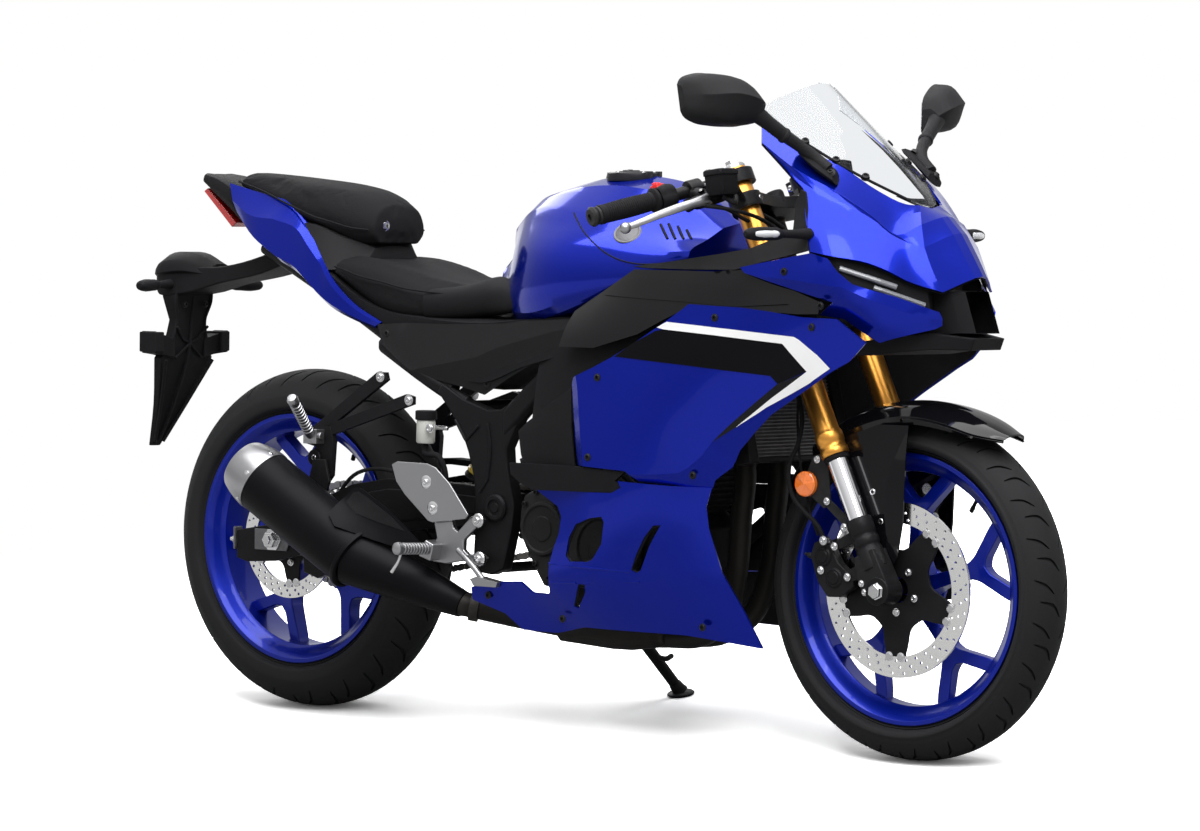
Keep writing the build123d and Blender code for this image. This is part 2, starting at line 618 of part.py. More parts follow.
def side_stand_parts():
    """The side stand's lug on the frame, and the stand itself: a leg from its pivot to a flat foot."""
    pivot = Vector(*STAND_PIVOT)
    foot = upright(*STAND_FOOT, 7.0)
    reach = foot - pivot
    stowed = Vector(-1.0, 0.03, 0.02)
    axis = reach.cross(stowed).normalized()
    travel = degrees(acos(reach.normalized().dot(stowed.normalized())))
    leg = rod(tuple(pivot + reach * 0.06), tuple(foot), 10, 9)
    leg += rod(tuple(pivot - axis * 10), tuple(pivot + axis * 10), 17)
    pad = rod(tuple(upright(*STAND_FOOT, 0.0)), tuple(foot), 25)
    pad += rod(tuple(upright(*STAND_FOOT, 13.0)), tuple(foot - reach.normalized() * 26), 13, 10)
    leg += pad
    bolt = rod(tuple(pivot - axis * 22), tuple(pivot + axis * 22), 5)
    leg -= rod(tuple(pivot - axis * 30), tuple(pivot + axis * 30), 5 + RUNNING_GAP)
    lug = bolt + rod(tuple(pivot - axis * 20), tuple(pivot - axis * 11.5), 15) + rod(
        tuple(pivot + axis * 11.5), tuple(pivot + axis * 20), 12)
    lug += rod(tuple(pivot - axis * 22), (-6, 60, 264), 8)
    return leg, lug, axis, travel


def upright(x, y, z):
    """Where a point of the leaned bike lies in the upright drawing."""
    a = radians(LEAN)
    z -= TYRE_LIFT
    return Vector(x, y * cos(a) - z * sin(a), y * sin(a) + z * cos(a))


# ---------------------------------------------------------------- bodywork
def ring(x, *half):
    """One closed ring across the bike at X: (half width, Z) pairs from the bottom up, then mirrored."""
    left = [(x, y, z) for y, z in half]
    right = [(x, -y, z) for y, z in reversed(half)]
    return left + right


def fuel_tank():
    """The tank: columns are X and then (half width, Z) at floor, flank, waist, shoulder and crown."""
    table = [
        (-208, (34, 786), (42, 806), (9, 846), (6, 880), (3, 893)),
        (-186, (56, 756), (64, 784), (36, 846), (26, 895), (9, 912)),
        (-150, (78, 738), (92, 762), (78, 846), (60, 905), (18, 934)),
        (-100, (98, 722), (128, 730), (126, 846), (88, 925), (34, 957)),
        (-40, (116, 724), (152, 732), (168, 846), (108, 940), (44, 976)),
        (40, (128, 742), (172, 750), (190, 850), (114, 944), (44, TANK_TOP)),
        (130, (128, 772), (178, 780), (190, 850), (112, 940), (44, TANK_TOP - 3)),
        (216, (120, 800), (172, 806), (184, 846), (104, 922), (44, 966)),
        (296, (86, 822), (136, 832), (142, 850), (80, 886), (36, 906))]
    return body([ring(x, *half) for x, *half in table]) - main_frame() + filler_ring()


def fuel_lid():
    """The filler lid, hinged at its front edge, a little above its seat on the tank."""
    x, y = LID_CENTRE
    low = TANK_TOP + 1.0
    lid = rod((x, y, low), (x, y, low + LID_THICK), LID_RADIUS)
    hinge_x, hinge_z = lid_hinge()
    ear = box((x + LID_RADIUS - 6, -8, low), (hinge_x, 8, hinge_z + 4.5))
    ear += rod((hinge_x, -8, hinge_z), (hinge_x, 8, hinge_z), 4.5)
    return lid + ear - rod((hinge_x, -12, hinge_z), (hinge_x, 12, hinge_z), 2.5 + RUNNING_GAP)


def lid_hinge():
    """X and Z of the lid's hinge pin."""
    return LID_CENTRE[0] + LID_RADIUS + 10, TANK_TOP + 6.0


def filler_ring():
    """The fixed ring round the lid, with its hinge ears and pin."""
    x, y = LID_CENTRE
    low = TANK_TOP
    shape = rod((x, y, low - 6), (x, y, low + 8), LID_RADIUS + 14)
    shape -= rod((x, y, low - 7), (x, y, low + 12), LID_RADIUS + 5)
    hinge_x, hinge_z = lid_hinge()
    shape -= box((x + LID_RADIUS - 8, -9, low + 0.5), (hinge_x + 12, 9, low + 20))
    for sign in (1, -1):
        shape += box((hinge_x - 4, sign * 13 - 3.5, low - 6), (hinge_x + 6, sign * 13 + 3.5, hinge_z + 4))
    return shape + rod((hinge_x, -14, hinge_z), (hinge_x, 14, hinge_z), 2.5)


def rider_seat():
    """The rider's seat: floor, edge and top at each X."""
    table = [
        (-545, (96, 800), (126, 822), (118, 834), (40, 838)),
        (-470, (110, 776), (136, 800), (122, 826), (40, 832)),
        (-380, (112, 736), (142, 770), (124, 806), (40, 810)),
        (-290, (104, 724), (136, 752), (110, 784), (36, 790)),
        (-228, (84, 730), (112, 752), (88, 782), (28, 788)),
        (-212, (62, 752), (90, 762), (72, 776), (24, 782))]
    return body([ring(x, *half) for x, *half in table])


def passenger_seat():
    """The passenger seat on the tail: floor, edge and top at each X."""
    table = [
        (-846, (38, 966), (58, 976), (40, 990), (14, 992)),
        (-700, (66, 918), (92, 938), (66, 972), (24, 980)),
        (-612, (78, 890), (106, 912), (84, 958), (30, 970)),
        (-532, (70, 868), (92, 890), (74, 938), (28, 948)),
        (-486, (54, 872), (70, 886), (54, 920), (22, 928))]
    return body([ring(x, *half) for x, *half in table])


def tail_panels():
    """The swept side panels of the tail, one each side."""
    rows = [
        [(-858, 70, 972), (-740, 96, 946), (-630, 112, 912), (-560, 124, 862), (-548, 132, 824),
         (-400, 134, 726)],
        [(-842, 74, 950), (-748, 104, 912), (-664, 118, 880), (-600, 130, 836), (-540, 134, 782),
         (-420, 135, 718)],
        [(-812, 74, 908), (-750, 104, 864), (-690, 114, 832), (-632, 124, 796), (-560, 130, 756),
         (-474, 133, 712)]]
    return both(skin(rows, FAIRING_WALL, (-600, 0, 850)))


def tail_tray():
    """The dark underside of the tail and its end piece above the lamp."""
    table = [
        (-948, (30, 972), (44, 976), (40, 988), (14, 990)),
        (-856, (54, 920), (66, 930), (66, 962), (20, 966)),
        (-790, (58, 872), (72, 884), (72, 904), (20, 908)),
        (-700, (60, 848), (84, 856), (84, 872), (24, 876)),
        (-560, (60, 780), (90, 790), (90, 812), (24, 816))]
    return body([ring(x, *half) for x, *half in table])


def tail_light():
    """The red lamp along the tail's sloping end."""
    return body([[(-954, -36, 957), (-954, 36, 957), (-944, 36, 963), (-944, -36, 963)],
                 [(-872, -46, 890), (-872, 46, 890), (-860, 46, 898), (-860, -46, 898)]])


def licence_bracket():
    """The long plate holder behind the tail: an arm back from the tray, and a splayed, tapered flap."""
    arm = body([[(-780, -44, 838), (-780, 44, 838), (-780, 44, 796), (-780, -44, 796)],
                [(-900, -46, 817), (-900, 46, 817), (-900, 46, 788), (-900, -46, 788)],
                [(-1040, -50, 808), (-1040, 50, 808), (-1040, 50, 760), (-1040, -50, 760)],
                [(-1072, -44, 802), (-1072, 44, 802), (-1072, 44, 768), (-1072, -44, 768)]])
    flap = body([[(-1046, -52, 770), (-1046, 52, 770), (-1008, 52, 770), (-1008, -52, 770)],
                 [(-1040, -44, 700), (-1040, 44, 700), (-1016, 44, 700), (-1016, -44, 700)],
                 [(-1046, -100, 668), (-1046, 100, 668), (-1020, 100, 668), (-1020, -100, 668)],
                 [(-1050, -80, 634), (-1050, 80, 634), (-1028, 80, 634), (-1028, -80, 634)],
                 [(-1118, -14, 468), (-1118, 14, 468), (-1104, 12, 468), (-1104, -12, 468)]])
    return arm + flap


def stalk_lamp(root, tip):
    """An indicator: a short stalk and a lozenge lamp, on the left side."""
    lamp_from = along(root, tip, 0.45)
    lamp = Pos(*along(lamp_from, tip, 0.5)) * Box(28, abs(tip[1] - lamp_from[1]), 24)
    return rod(root, along(root, tip, 0.5), 8) + lamp


def indicators():
    """Four indicators on short stalks: two beside the licence bracket and two on the nose."""
    rear = both(stalk_lamp((-1026, 49.5, 780), (-992, 168, 778)))
    front = both(stalk_lamp((599, 201, 892), (571, 340, 891)))
    return [trimmed(s, licence_bracket()) for s in rear] + [trimmed(s, nose_cowl()) for s in front]


def nose_cowl():
    """The nose: each row runs from the screen's edge down to the headlight's edge, from the back forward."""
    half = [
        [(458, 150, 1078), (466, 184, 1072), (504, 176, 1034), (572, 188, 967), (608, 208, 860)],
        [(530, 128, 1046), (552, 146, 1018), (582, 166, 984), (612, 184, 930), (651, 197, 853)],
        [(609, 98, 996), (630, 118, 968), (652, 132, 935), (678, 146, 890), (700, 156, 836)],
        [(668, 62, 958), (690, 78, 934), (716, 90, 896), (734, 97, 862), (748, 106, 812)],
        [(698, 24, 942), (726, 40, 922), (748, 48, 890), (774, 54, 850), (784, 66, 800)],
        [(706, 0, 938), (740, 0, 924), (766, 0, 896), (792, 0, 858), (814, 0, 824)]]
    rows = half + [mirrored(r) for r in reversed(half[:-1])]
    return skin(rows, FAIRING_WALL, (600, 0, 880))


def windscreen():
    """The clear screen, from its low front tip up to its top edge."""
    half = [
        [(706, 0, 940), (700, 20, 944), (690, 34, 950)],
        [(640, 0, 1010), (632, 48, 1000), (612, 94, 998)],
        [(560, 0, 1080), (548, 64, 1066), (524, 122, 1050)],
        [(474, 0, 1152), (462, 62, 1138), (428, 114, 1108)]]
    rows = [[*mirrored(reversed(r[1:])), *r] for r in half]
    return skin(rows, SCREEN_WALL, (500, 0, 980))


def headlight_unit():
    """The dark centre intake with a lamp bar under each side of the nose."""
    core = body([[(700, -60, 800), (700, 60, 800), (700, 60, 722), (700, -60, 722)],
                 [(778, -52, 798), (778, 52, 798), (800, 46, 728), (800, -46, 728)],
                 [(802, -34, 798), (802, 34, 798), (826, 34, 728), (826, -34, 728)]])
    lamp = body([[(640, 150, 846), (646, 192, 844), (660, 188, 820), (640, 150, 820)],
                 [(690, 116, 826), (702, 140, 822), (718, 136, 790), (690, 116, 790)],
                 [(748, 66, 800), (758, 84, 796), (768, 80, 768), (748, 66, 768)]])
    chin = body([[(660, 150, 712), (660, -150, 712), (652, -140, 688), (652, 140, 688)],
                 [(760, 78, 728), (760, -78, 728), (760, -78, 700), (760, 78, 700)],
                 [(830, 44, 720), (830, -44, 720), (822, -44, 700), (822, 44, 700)]])
    return core + chin + both(lamp)


def instrument_panel():
    """The meter behind the screen, on its stay."""
    meter = body([[(480, -76, 960), (480, 76, 960), (464, 76, 1020), (464, -76, 1020)],
                  [(506, -60, 952), (506, 60, 952), (492, 60, 1016), (492, -60, 1016)]])
    stay = body([[(500, -14, 984), (500, 14, 984), (500, 14, 962), (500, -14, 962)],
                 [(640, -14, 800), (640, 14, 800), (640, 14, 780), (640, -14, 780)],
                 [(699, -14, 780), (699, 14, 780), (699, 14, 764), (699, -14, 764)]])
    return meter + stay


def side_fairings():
    """The flat side panels: each row runs from the rear edge forward, from the top row down."""
    rows = [
        [(376, 222, 772), (478, 226, 766), (580, 212, 756), (652, 196, 751), (700, 178, 732)],
        [(248, 232, 696), (407, 233, 696), (524, 220, 687), (586, 200, 677), (635, 174, 668)],
        [(112, 236, 626), (306, 237, 631), (452, 225, 628), (514, 200, 625), (566, 170, 622)],
        [(119, 240, 555), (256, 238, 559), (377, 228, 572), (444, 202, 574), (500, 168, 576)],
        [(128, 240, 488), (229, 237, 467), (297, 226, 462), (344, 206, 460), (387, 185, 461)]]
    beak = [
        [(465, 213, 829), (600, 206, 858), (652, 200, 848), (708, 158, 818), (745, 118, 796), (787, 80, 766)],
        [(520, 216, 806), (604, 211, 785), (650, 202, 778), (702, 178, 780), (735, 135, 776), (784, 77, 750)],
        [(582, 210.5, 757.5), (640, 200, 753), (676, 190, 748), (714, 168, 737), (746, 128, 734),
         (784, 76, 742)]]
    return both(skin(rows, FAIRING_WALL, (300, 0, 620)), skin(beak, FAIRING_WALL, (600, 0, 700)))


def lower_cowls():
    """The lower cowls, open below the engine: rows from the seam down, each from the rear forward."""
    rows = [
        [(84, 224, 462), (160, 236, 462), (229, 237, 463), (298, 227, 458), (346, 208, 456), (388, 186, 457)],
        [(56, 220, 330), (120, 226, 340), (210, 230, 380), (285, 220, 396), (340, 204, 400), (379, 182, 400)],
        [(-40, 196, 266), (60, 212, 268), (160, 214, 290), (255, 200, 310), (338, 182, 312), (391, 162, 310)],
        [(-150, 186, 256), (-60, 182, 212), (60, 176, 196), (200, 170, 196), (328, 150, 188), (430, 134, 180)]]
    return both(skin(rows, FAIRING_WALL, (150, 0, 330)))


def inner_panels():
    """The dark panels between the tank and the side fairings."""
    rows = [
        [(55, 176, 752), (140, 188, 786), (221, 193, 832), (330, 198, 842), (452, 203, 836), (506, 196, 816)],
        [(60, 190, 738), (146, 202, 762), (240, 208, 792), (350, 212, 800), (460, 208, 812), (532, 202, 784)],
        [(-12, 204, 562), (110, 216, 640), (236, 224, 704), (330, 222, 748), (374, 216, 778), (484, 210, 772)]]
    return both(skin(rows, FAIRING_WALL, (200, 0, 700)))


def air_scoops():
    """The dark ducts at the rear edge of the side fairings."""
    rows = [
        [(-12, 203, 556), (50, 216, 590), (106, 226, 620)],
        [(-30, 205, 540), (50, 220, 548), (112, 232, 552)],
        [(-16, 214, 500), (50, 222, 492), (122, 234, 484)],
        [(0, 218, 470), (70, 224, 468), (124, 233, 472)]]
    return both(skin(rows, FAIRING_WALL, (100, 0, 520)))


def side_covers():
    """The grey covers under the seat and tank."""
    rows = [
        [(-420, 138, 706), (-297, 144, 712), (-149, 152, 714), (49, 172, 734), (118, 184, 728)],
        [(-405, 144, 690), (-250, 152, 680), (-100, 164, 690), (30, 182, 700), (104, 190, 680)],
        [(-330, 148, 642), (-240, 158, 622), (-161, 168, 600), (-60, 176, 640), (10, 182, 630)]]
    return both(skin(rows, FAIRING_WALL, (-100, 0, 660)))


def mirrors():
    """Mirror heads on their stalks, one each side."""
    base = rod((550, 158, 1036), (598, 148, 1000), 12)
    stalk = rod((566, 158, 1026), (545, 206, 1056), 11) + rod((545, 206, 1056), (532, 258, 1090), 12, 14)
    joint = Pos(545, 206, 1056) * Sphere(14)
    head = body([[(x, y, z) for x, z in section] for y, section in (
        (250, ((504, 1110), (522, 1112), (540, 1100), (530, 1080), (502, 1076))),
        (276, ((492, 1138), (530, 1138), (554, 1114), (530, 1078), (488, 1070))),
        (318, ((478, 1156), (515, 1152), (546, 1124), (524, 1082), (476, 1070))),
        (364, ((456, 1154), (484, 1149), (505, 1120), (495, 1088), (466, 1078))),
        (380, ((454, 1144), (466, 1142), (476, 1120), (476, 1096), (464, 1088))))])
    return [trimmed(s, nose_cowl()) for s in both(base + stalk + joint + head)]


# ---------------------------------------------------------------- assembly
def nodes():
    """Every node's name and its shape, upright."""
    stand, lug, _, _ = side_stand_parts()
    made = {
        "main_frame": main_frame(), "rear_subframe": rear_subframe(), "engine": engine() + lug,
        "exhaust_headers": exhaust_headers(), "muffler": muffler(), "muffler_shield": muffler_shield(),
        "radiator": radiator(), "swingarm": swingarm(), "rear_axle": rear_axle(),
        "rear_caliper": rear_caliper(),
        "rear_shock": rear_shock(), "drive_chain": drive_chain(), "rider_pegs": rider_pegs(),
        "passenger_pegs": passenger_pegs(), "fuel_tank": fuel_tank(), "rider_seat": rider_seat(),
        "passenger_seat": passenger_seat(), "tail_panels": tail_panels(), "tail_tray": tail_tray(),
        "tail_light": tail_light(), "licence_bracket": licence_bracket(), "indicators": indicators(),
        "nose_cowl": nose_cowl(), "windscreen": windscreen(), "headlight_unit": headlight_unit(),
        "instrument_panel": instrument_panel(), "side_fairings": side_fairings(), "lower_cowls": lower_cowls(),
        "inner_panels": inner_panels(), "air_scoops": air_scoops(), "side_covers": side_covers(),
        "mirrors": mirrors(), "side_stand": stand, "fuel_lid": fuel_lid(),
        "front_rim": rim(FRONT), "front_tyre": tyre(FRONT), "front_disc": disc(FRONT, FRONT_DISC),
        "rear_rim": rim(REAR), "rear_tyre": tyre(REAR), "rear_disc": disc(REAR, REAR_DISC),
        "rear_sprocket": sprocket(),
        "front_fender": front_fender(), "front_axle": front_axle()}
    steered = {
        "fork_outer_tubes": fork_outer(), "fork_inner_tubes": fork_inner(), "fork_bottoms": fork_bottoms(),
        "triple_clamps": triple_clamps(), "handlebars": handlebars(), "grips": grips(), "levers": levers(),
        "brake_reservoir": brake_reservoir(), "front_caliper": front_caliper()}
    for name, shape in steered.items():
        made[name] = [FORK * s for s in shape] if isinstance(shape, list) else FORK * shape
    return made


STOOD = Pos(-ORIGIN_AHEAD, -ORIGIN_LEFT, TYRE_LIFT) * Rot(-LEAN, 0, 0)


def solids_of(shape):
    """The solids of a shape or of a list of shapes."""
    parts = shape if isinstance(shape, (list, ShapeList)) else [shape]
    return [s for part in parts for s in part.solids()]


if __name__ == "__main__":
    os.makedirs("parts", exist_ok=True)
    for node_name, node_shape in nodes().items():
        solids = [STOOD * s for s in solids_of(node_shape)]
        export_step(solids[0] if len(solids) == 1 else Compound(solids), f"parts/{node_name}.step")
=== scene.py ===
"""A middleweight sport motorcycle on its side stand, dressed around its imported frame.

Shapes are drawn upright in millimetres, as the frame's source draws them: +X forward, +Y left, +Z up,
zero on the floor halfway between the axles. TO_FRAME leans them onto the stand and turns them into metres.
"""

from math import acos, atan2, cos, pi, radians, sin, sqrt, tan

import bmesh
import bpy
import numpy as np
from mathutils.bvhtree import BVHTree
from mathutils import Matrix, Vector, geometry


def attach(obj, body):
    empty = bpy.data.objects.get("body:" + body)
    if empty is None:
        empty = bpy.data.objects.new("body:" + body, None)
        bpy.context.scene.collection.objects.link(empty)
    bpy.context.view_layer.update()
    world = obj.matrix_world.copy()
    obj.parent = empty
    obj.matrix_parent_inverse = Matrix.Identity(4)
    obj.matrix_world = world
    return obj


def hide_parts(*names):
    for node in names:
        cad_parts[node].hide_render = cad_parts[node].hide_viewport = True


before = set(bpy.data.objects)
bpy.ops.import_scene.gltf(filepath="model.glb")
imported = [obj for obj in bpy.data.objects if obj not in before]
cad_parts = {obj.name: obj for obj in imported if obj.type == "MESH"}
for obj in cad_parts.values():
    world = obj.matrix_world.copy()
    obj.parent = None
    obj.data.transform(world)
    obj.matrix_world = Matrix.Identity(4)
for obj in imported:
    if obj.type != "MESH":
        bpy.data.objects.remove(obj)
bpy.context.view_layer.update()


# ---------------------------------------------------------------- driving dimensions, as in the source
LEAN = radians(11.0)
ORIGIN_AHEAD, ORIGIN_LEFT = -68.0, 189.0
CASTER = radians(25.0)
TRAIL = 95.0
FRONT = dict(x=690.0, radius=293.0, width=112.0, crown=57.0, rim_half=36.0, hub=34.0, hub_half=39.0,
    spoke_half=11.0, phase=17.0, body="front_wheel", rim_node="front_rim")
REAR = dict(x=-690.0, radius=314.0, width=142.0, crown=75.0, rim_half=55.0, hub=40.0, hub_half=48.0,
    spoke_half=15.0, phase=25.0, body="rear_wheel", rim_node="rear_rim")
TYRE_LIFT = REAR["crown"] * (1 - cos(LEAN))
STEM_OFFSET = (FRONT["radius"] * tan(CASTER) - TRAIL) * cos(CASTER)

STOOD = Matrix(((1, 0, 0, -ORIGIN_AHEAD), (0, cos(LEAN), sin(LEAN), -ORIGIN_LEFT),
                (0, -sin(LEAN), cos(LEAN), TYRE_LIFT), (0, 0, 0, 1)))
TO_FRAME = Matrix.Scale(0.001, 4) @ STOOD
FORK = Matrix.Translation((FRONT["x"], 0, FRONT["radius"])) @ Matrix.Rotation(-CASTER, 4, "Y")
UPRIGHT = Matrix.Identity(4)
MIRROR = Matrix.Scale(-1, 4, (0, 1, 0))
SQUARE = (0, 1, 2, 3)  # a ring's four corners, all sharp


# ---------------------------------------------------------------- finishes
def group(name, sockets, build):
    """A shared shader effect as a node group, made once."""
    tree = bpy.data.node_groups.new(name, "ShaderNodeTree")
    for label, way, kind, value in sockets:
        made = tree.interface.new_socket(label, in_out=way, socket_type=kind)
        if way == "INPUT" and value is not None:
            made.default_value = value
    build(tree, tree.nodes.new("NodeGroupInput"), tree.nodes.new("NodeGroupOutput"))
    return tree


def node(tree, kind, links=(), **settings):
    """A node with its settings; links are (input, value or the output socket that feeds it)."""
    made = tree.nodes.new("ShaderNode" + kind)
    for key, value in settings.items():
        setattr(made, key, value)
    for target, value in links:
        socket = made.inputs[target]
        if isinstance(value, bpy.types.NodeSocket):
            tree.links.new(value, socket)
        else:
            socket.default_value = value
    return made


def build_grain(tree, given, out):
    """A fine raised grain, and a broad drift of tone."""
    fine = node(tree, "TexNoise", [("Vector", given.outputs["Vector"]), ("Scale", given.outputs["Scale"]),
        ("Detail", 3.0), ("Roughness", 0.6)])
    cells = node(tree, "TexVoronoi", [("Vector", given.outputs["Vector"]), ("Scale", given.outputs["Scale"])])
    height = node(tree, "Math", [(0, fine.outputs[0]), (1, cells.outputs["Distance"])], operation="ADD")
    broad = node(tree, "TexNoise", [("Vector", given.outputs["Vector"]), ("Scale", 7.0), ("Detail", 4.0)])
    tree.links.new(height.outputs[0], out.inputs["Height"])
    tree.links.new(broad.outputs[0], out.inputs["Tone"])


def build_wear(tree, given, out):
    """Patchy wear along the edges."""
    shape = node(tree, "NewGeometry")
    edge = node(tree, "MapRange", [("Value", shape.outputs["Pointiness"]), ("From Min", 0.52),
        ("From Max", 0.62)])
    patchy = node(tree, "TexNoise", [("Vector", given.outputs["Vector"]), ("Scale", 60.0), ("Detail", 5.0)])
    both = node(tree, "Math", [(0, edge.outputs[0]), (1, patchy.outputs[0])], operation="MULTIPLY")
    scaled = node(tree, "Math", [(0, both.outputs[0]), (1, given.outputs["Amount"])], operation="MULTIPLY",
        use_clamp=True)
    tree.links.new(scaled.outputs[0], out.inputs["Mask"])


def build_brushed(tree, given, out):
    """Fine lines drawn along one direction."""
    stretched = node(tree, "Mapping", [("Vector", given.outputs["Vector"]), ("Scale", (20.0, 900.0, 900.0))])
    lines = node(tree, "TexNoise", [("Vector", stretched.outputs[0]), ("Scale", 1.0), ("Detail", 2.0)])
    tree.links.new(lines.outputs[0], out.inputs["Height"])


VECTOR, FLOAT = "NodeSocketVector", "NodeSocketFloat"
GRAIN = group("surface_grain", [("Vector", "INPUT", VECTOR, None), ("Scale", "INPUT", FLOAT, 900.0),
    ("Height", "OUTPUT", FLOAT, None), ("Tone", "OUTPUT", FLOAT, None)], build_grain)
WEAR = group("edge_wear", [("Vector", "INPUT", VECTOR, None), ("Amount", "INPUT", FLOAT, 0.3),
                           ("Mask", "OUTPUT", FLOAT, None)], build_wear)
BRUSHED = group("brushed_lines", [("Vector", "INPUT", VECTOR, None), ("Height", "OUTPUT", FLOAT, None)],
                build_brushed)
FINISHES = {}


def finish(name, colour, rough, metal=0.0, coat=0.0, grain=900.0, bump=0.05, tone=0.12, wear=0.0, worn=None,
        brushed=False, shine=0.5, **sockets):
    """One material: a Principled shader whose colour, roughness and bump come from the shared groups."""
    material = bpy.data.materials.new(name)
    material.use_nodes = True
    tree = material.node_tree
    shader = tree.nodes["Principled BSDF"]
    where = node(tree, "TexCoord").outputs["Object"]
    surface = node(tree, "Group", node_tree=GRAIN)
    tree.links.new(where, surface.inputs["Vector"])
    surface.inputs["Scale"].default_value = grain
    dark = [c * (1 - tone) for c in colour] + [1.0]
    light = [min(1.0, c * (1 + tone)) for c in colour] + [1.0]
    shade = node(tree, "Mix", [(0, surface.outputs["Tone"]), (6, dark), (7, light)], data_type="RGBA")
    base = shade.outputs[2]
    if wear:
        mask = node(tree, "Group", node_tree=WEAR)
        tree.links.new(where, mask.inputs["Vector"])
        mask.inputs["Amount"].default_value = wear
        base = node(tree, "Mix", [(0, mask.outputs[0]), (6, base),
            (7, list(worn or (0.5, 0.5, 0.5)) + [1.0])], data_type="RGBA").outputs[2]
    tree.links.new(base, shader.inputs["Base Color"])
    gloss = node(tree, "MapRange", [("Value", surface.outputs["Tone"]), ("To Min", max(0.02, rough * 0.85)),
        ("To Max", min(1.0, rough * 1.15))])
    tree.links.new(gloss.outputs[0], shader.inputs["Roughness"])
    height = surface.outputs["Height"]
    if brushed:
        lines = node(tree, "Group", node_tree=BRUSHED)
        tree.links.new(where, lines.inputs["Vector"])
        height = lines.outputs[0]
    raised = node(tree, "Bump", [("Strength", bump), ("Distance", 0.0006), ("Height", height)])
    tree.links.new(raised.outputs[0], shader.inputs["Normal"])
    shader.inputs["Metallic"].default_value = metal
    shader.inputs["Coat Weight"].default_value = coat
    shader.inputs["Coat Roughness"].default_value = 0.03
    shader.inputs["Specular IOR Level"].default_value = shine
    for socket, value in sockets.items():
        shader.inputs[socket.replace("_", " ")].default_value = value
    material.diffuse_color = list(colour) + [1.0]
    FINISHES[name] = material
    return material


BARE_METAL = (0.55, 0.55, 0.56)
BLUE = (0.001, 0.010, 0.27)
finish("panel_blue", BLUE, 0.17, metal=0.6, coat=0.2, shine=0.1, grain=2600, bump=0.015, tone=0.05)
finish("tank_blue", BLUE, 0.14, metal=0.6, coat=0.25, shine=0.1, grain=2800, bump=0.01, tone=0.05)
finish("wheel_blue", (0.001, 0.012, 0.27), 0.30, metal=0.5, coat=0.3, shine=0.2, grain=1800, bump=0.03,
    tone=0.06)
finish("gloss_black", (0.003, 0.003, 0.004), 0.08, coat=0.3, shine=0.1, grain=2200, bump=0.01, tone=0.2)
finish("cover_grey", (0.014, 0.014, 0.015), 0.55, shine=0.07, grain=2600, bump=0.35, tone=0.10, wear=0.2,
    worn=(0.05, 0.05, 0.055))
finish("plastic_black", (0.008, 0.008, 0.009), 0.58, shine=0.07, grain=2400, bump=0.35, tone=0.15,
    wear=0.25, worn=(0.03, 0.03, 0.032))
finish("frame_grey", (0.010, 0.010, 0.011), 0.45, shine=0.07, metal=0.4, grain=1500, bump=0.25, wear=0.4,
    worn=(0.06, 0.06, 0.065))
finish("cast_grey", (0.08, 0.08, 0.085), 0.42, metal=0.6, grain=900, bump=0.5, wear=0.4,
    worn=(0.4, 0.4, 0.41))
finish("engine_grey", (0.018, 0.018, 0.019), 0.42, shine=0.07, metal=0.3, grain=1000, bump=0.45, wear=0.4,
    worn=(0.2, 0.2, 0.2))
finish("caliper_black", (0.011, 0.011, 0.012), 0.34, shine=0.07, metal=0.3, grain=1500, bump=0.15, wear=0.3,
    worn=(0.12, 0.12, 0.12))
finish("muffler_black", (0.005, 0.005, 0.006), 0.42, shine=0.07, metal=0.3, grain=1700, bump=0.12, tone=0.12)
finish("shield_black", (0.010, 0.010, 0.011), 0.58, shine=0.07, grain=1100, bump=0.8, tone=0.2)
finish("radiator_black", (0.012, 0.012, 0.013), 0.45, shine=0.07, metal=0.4, grain=1200, bump=0.2)
finish("stand_black", (0.012, 0.012, 0.013), 0.40, shine=0.07, metal=0.2, grain=1300, bump=0.2, wear=0.4,
    worn=(0.15, 0.15, 0.15))
finish("lid_black", (0.016, 0.016, 0.018), 0.30, shine=0.07, metal=0.4, grain=1600, bump=0.1, wear=0.3,
    worn=(0.25, 0.25, 0.25))
finish("disc_steel", (0.90, 0.90, 0.89), 0.20, metal=1.0, brushed=True, bump=0.10, tone=0.05)
finish("pipe_black", (0.016, 0.015, 0.014), 0.45, shine=0.07, metal=0.5, grain=1400, bump=0.2, wear=0.3,
    worn=(0.2, 0.18, 0.16))
finish("peg_aluminium", (0.30, 0.30, 0.31), 0.34, metal=0.95, grain=1600, bump=0.12, tone=0.06, wear=0.2,
    worn=BARE_METAL)
finish("steel", (0.58, 0.58, 0.59), 0.24, metal=1.0, brushed=True, bump=0.08, tone=0.06)
finish("chrome", (0.78, 0.78, 0.80), 0.07, metal=1.0, grain=1600, bump=0.01, tone=0.04)
finish("fork_gold", (0.70, 0.32, 0.06), 0.30, metal=0.95, grain=1800, bump=0.02, tone=0.06)
finish("spring_yellow", (0.75, 0.52, 0.02), 0.30, coat=0.5, grain=1400, bump=0.05)
finish("tyre", (0.018, 0.018, 0.019), 0.62, shine=0.07, grain=1400, bump=0.3, tone=0.18)
finish("grip_rubber", (0.010, 0.010, 0.011), 0.65, shine=0.07, grain=1700, bump=0.4, tone=0.2)
finish("seat_black", (0.010, 0.010, 0.011), 0.72, shine=0.05, grain=620, bump=0.5, tone=0.18)
finish("chain_steel", (0.30, 0.29, 0.27), 0.38, metal=0.9, grain=1200, bump=0.15, wear=0.3, worn=BARE_METAL)
finish("lamp_red", (0.55, 0.012, 0.010), 0.12, coat=1.0, grain=700, bump=0.05, tone=0.1)
finish("reflector_orange", (0.90, 0.20, 0.02), 0.15, coat=1.0, grain=420, bump=0.6, tone=0.12)
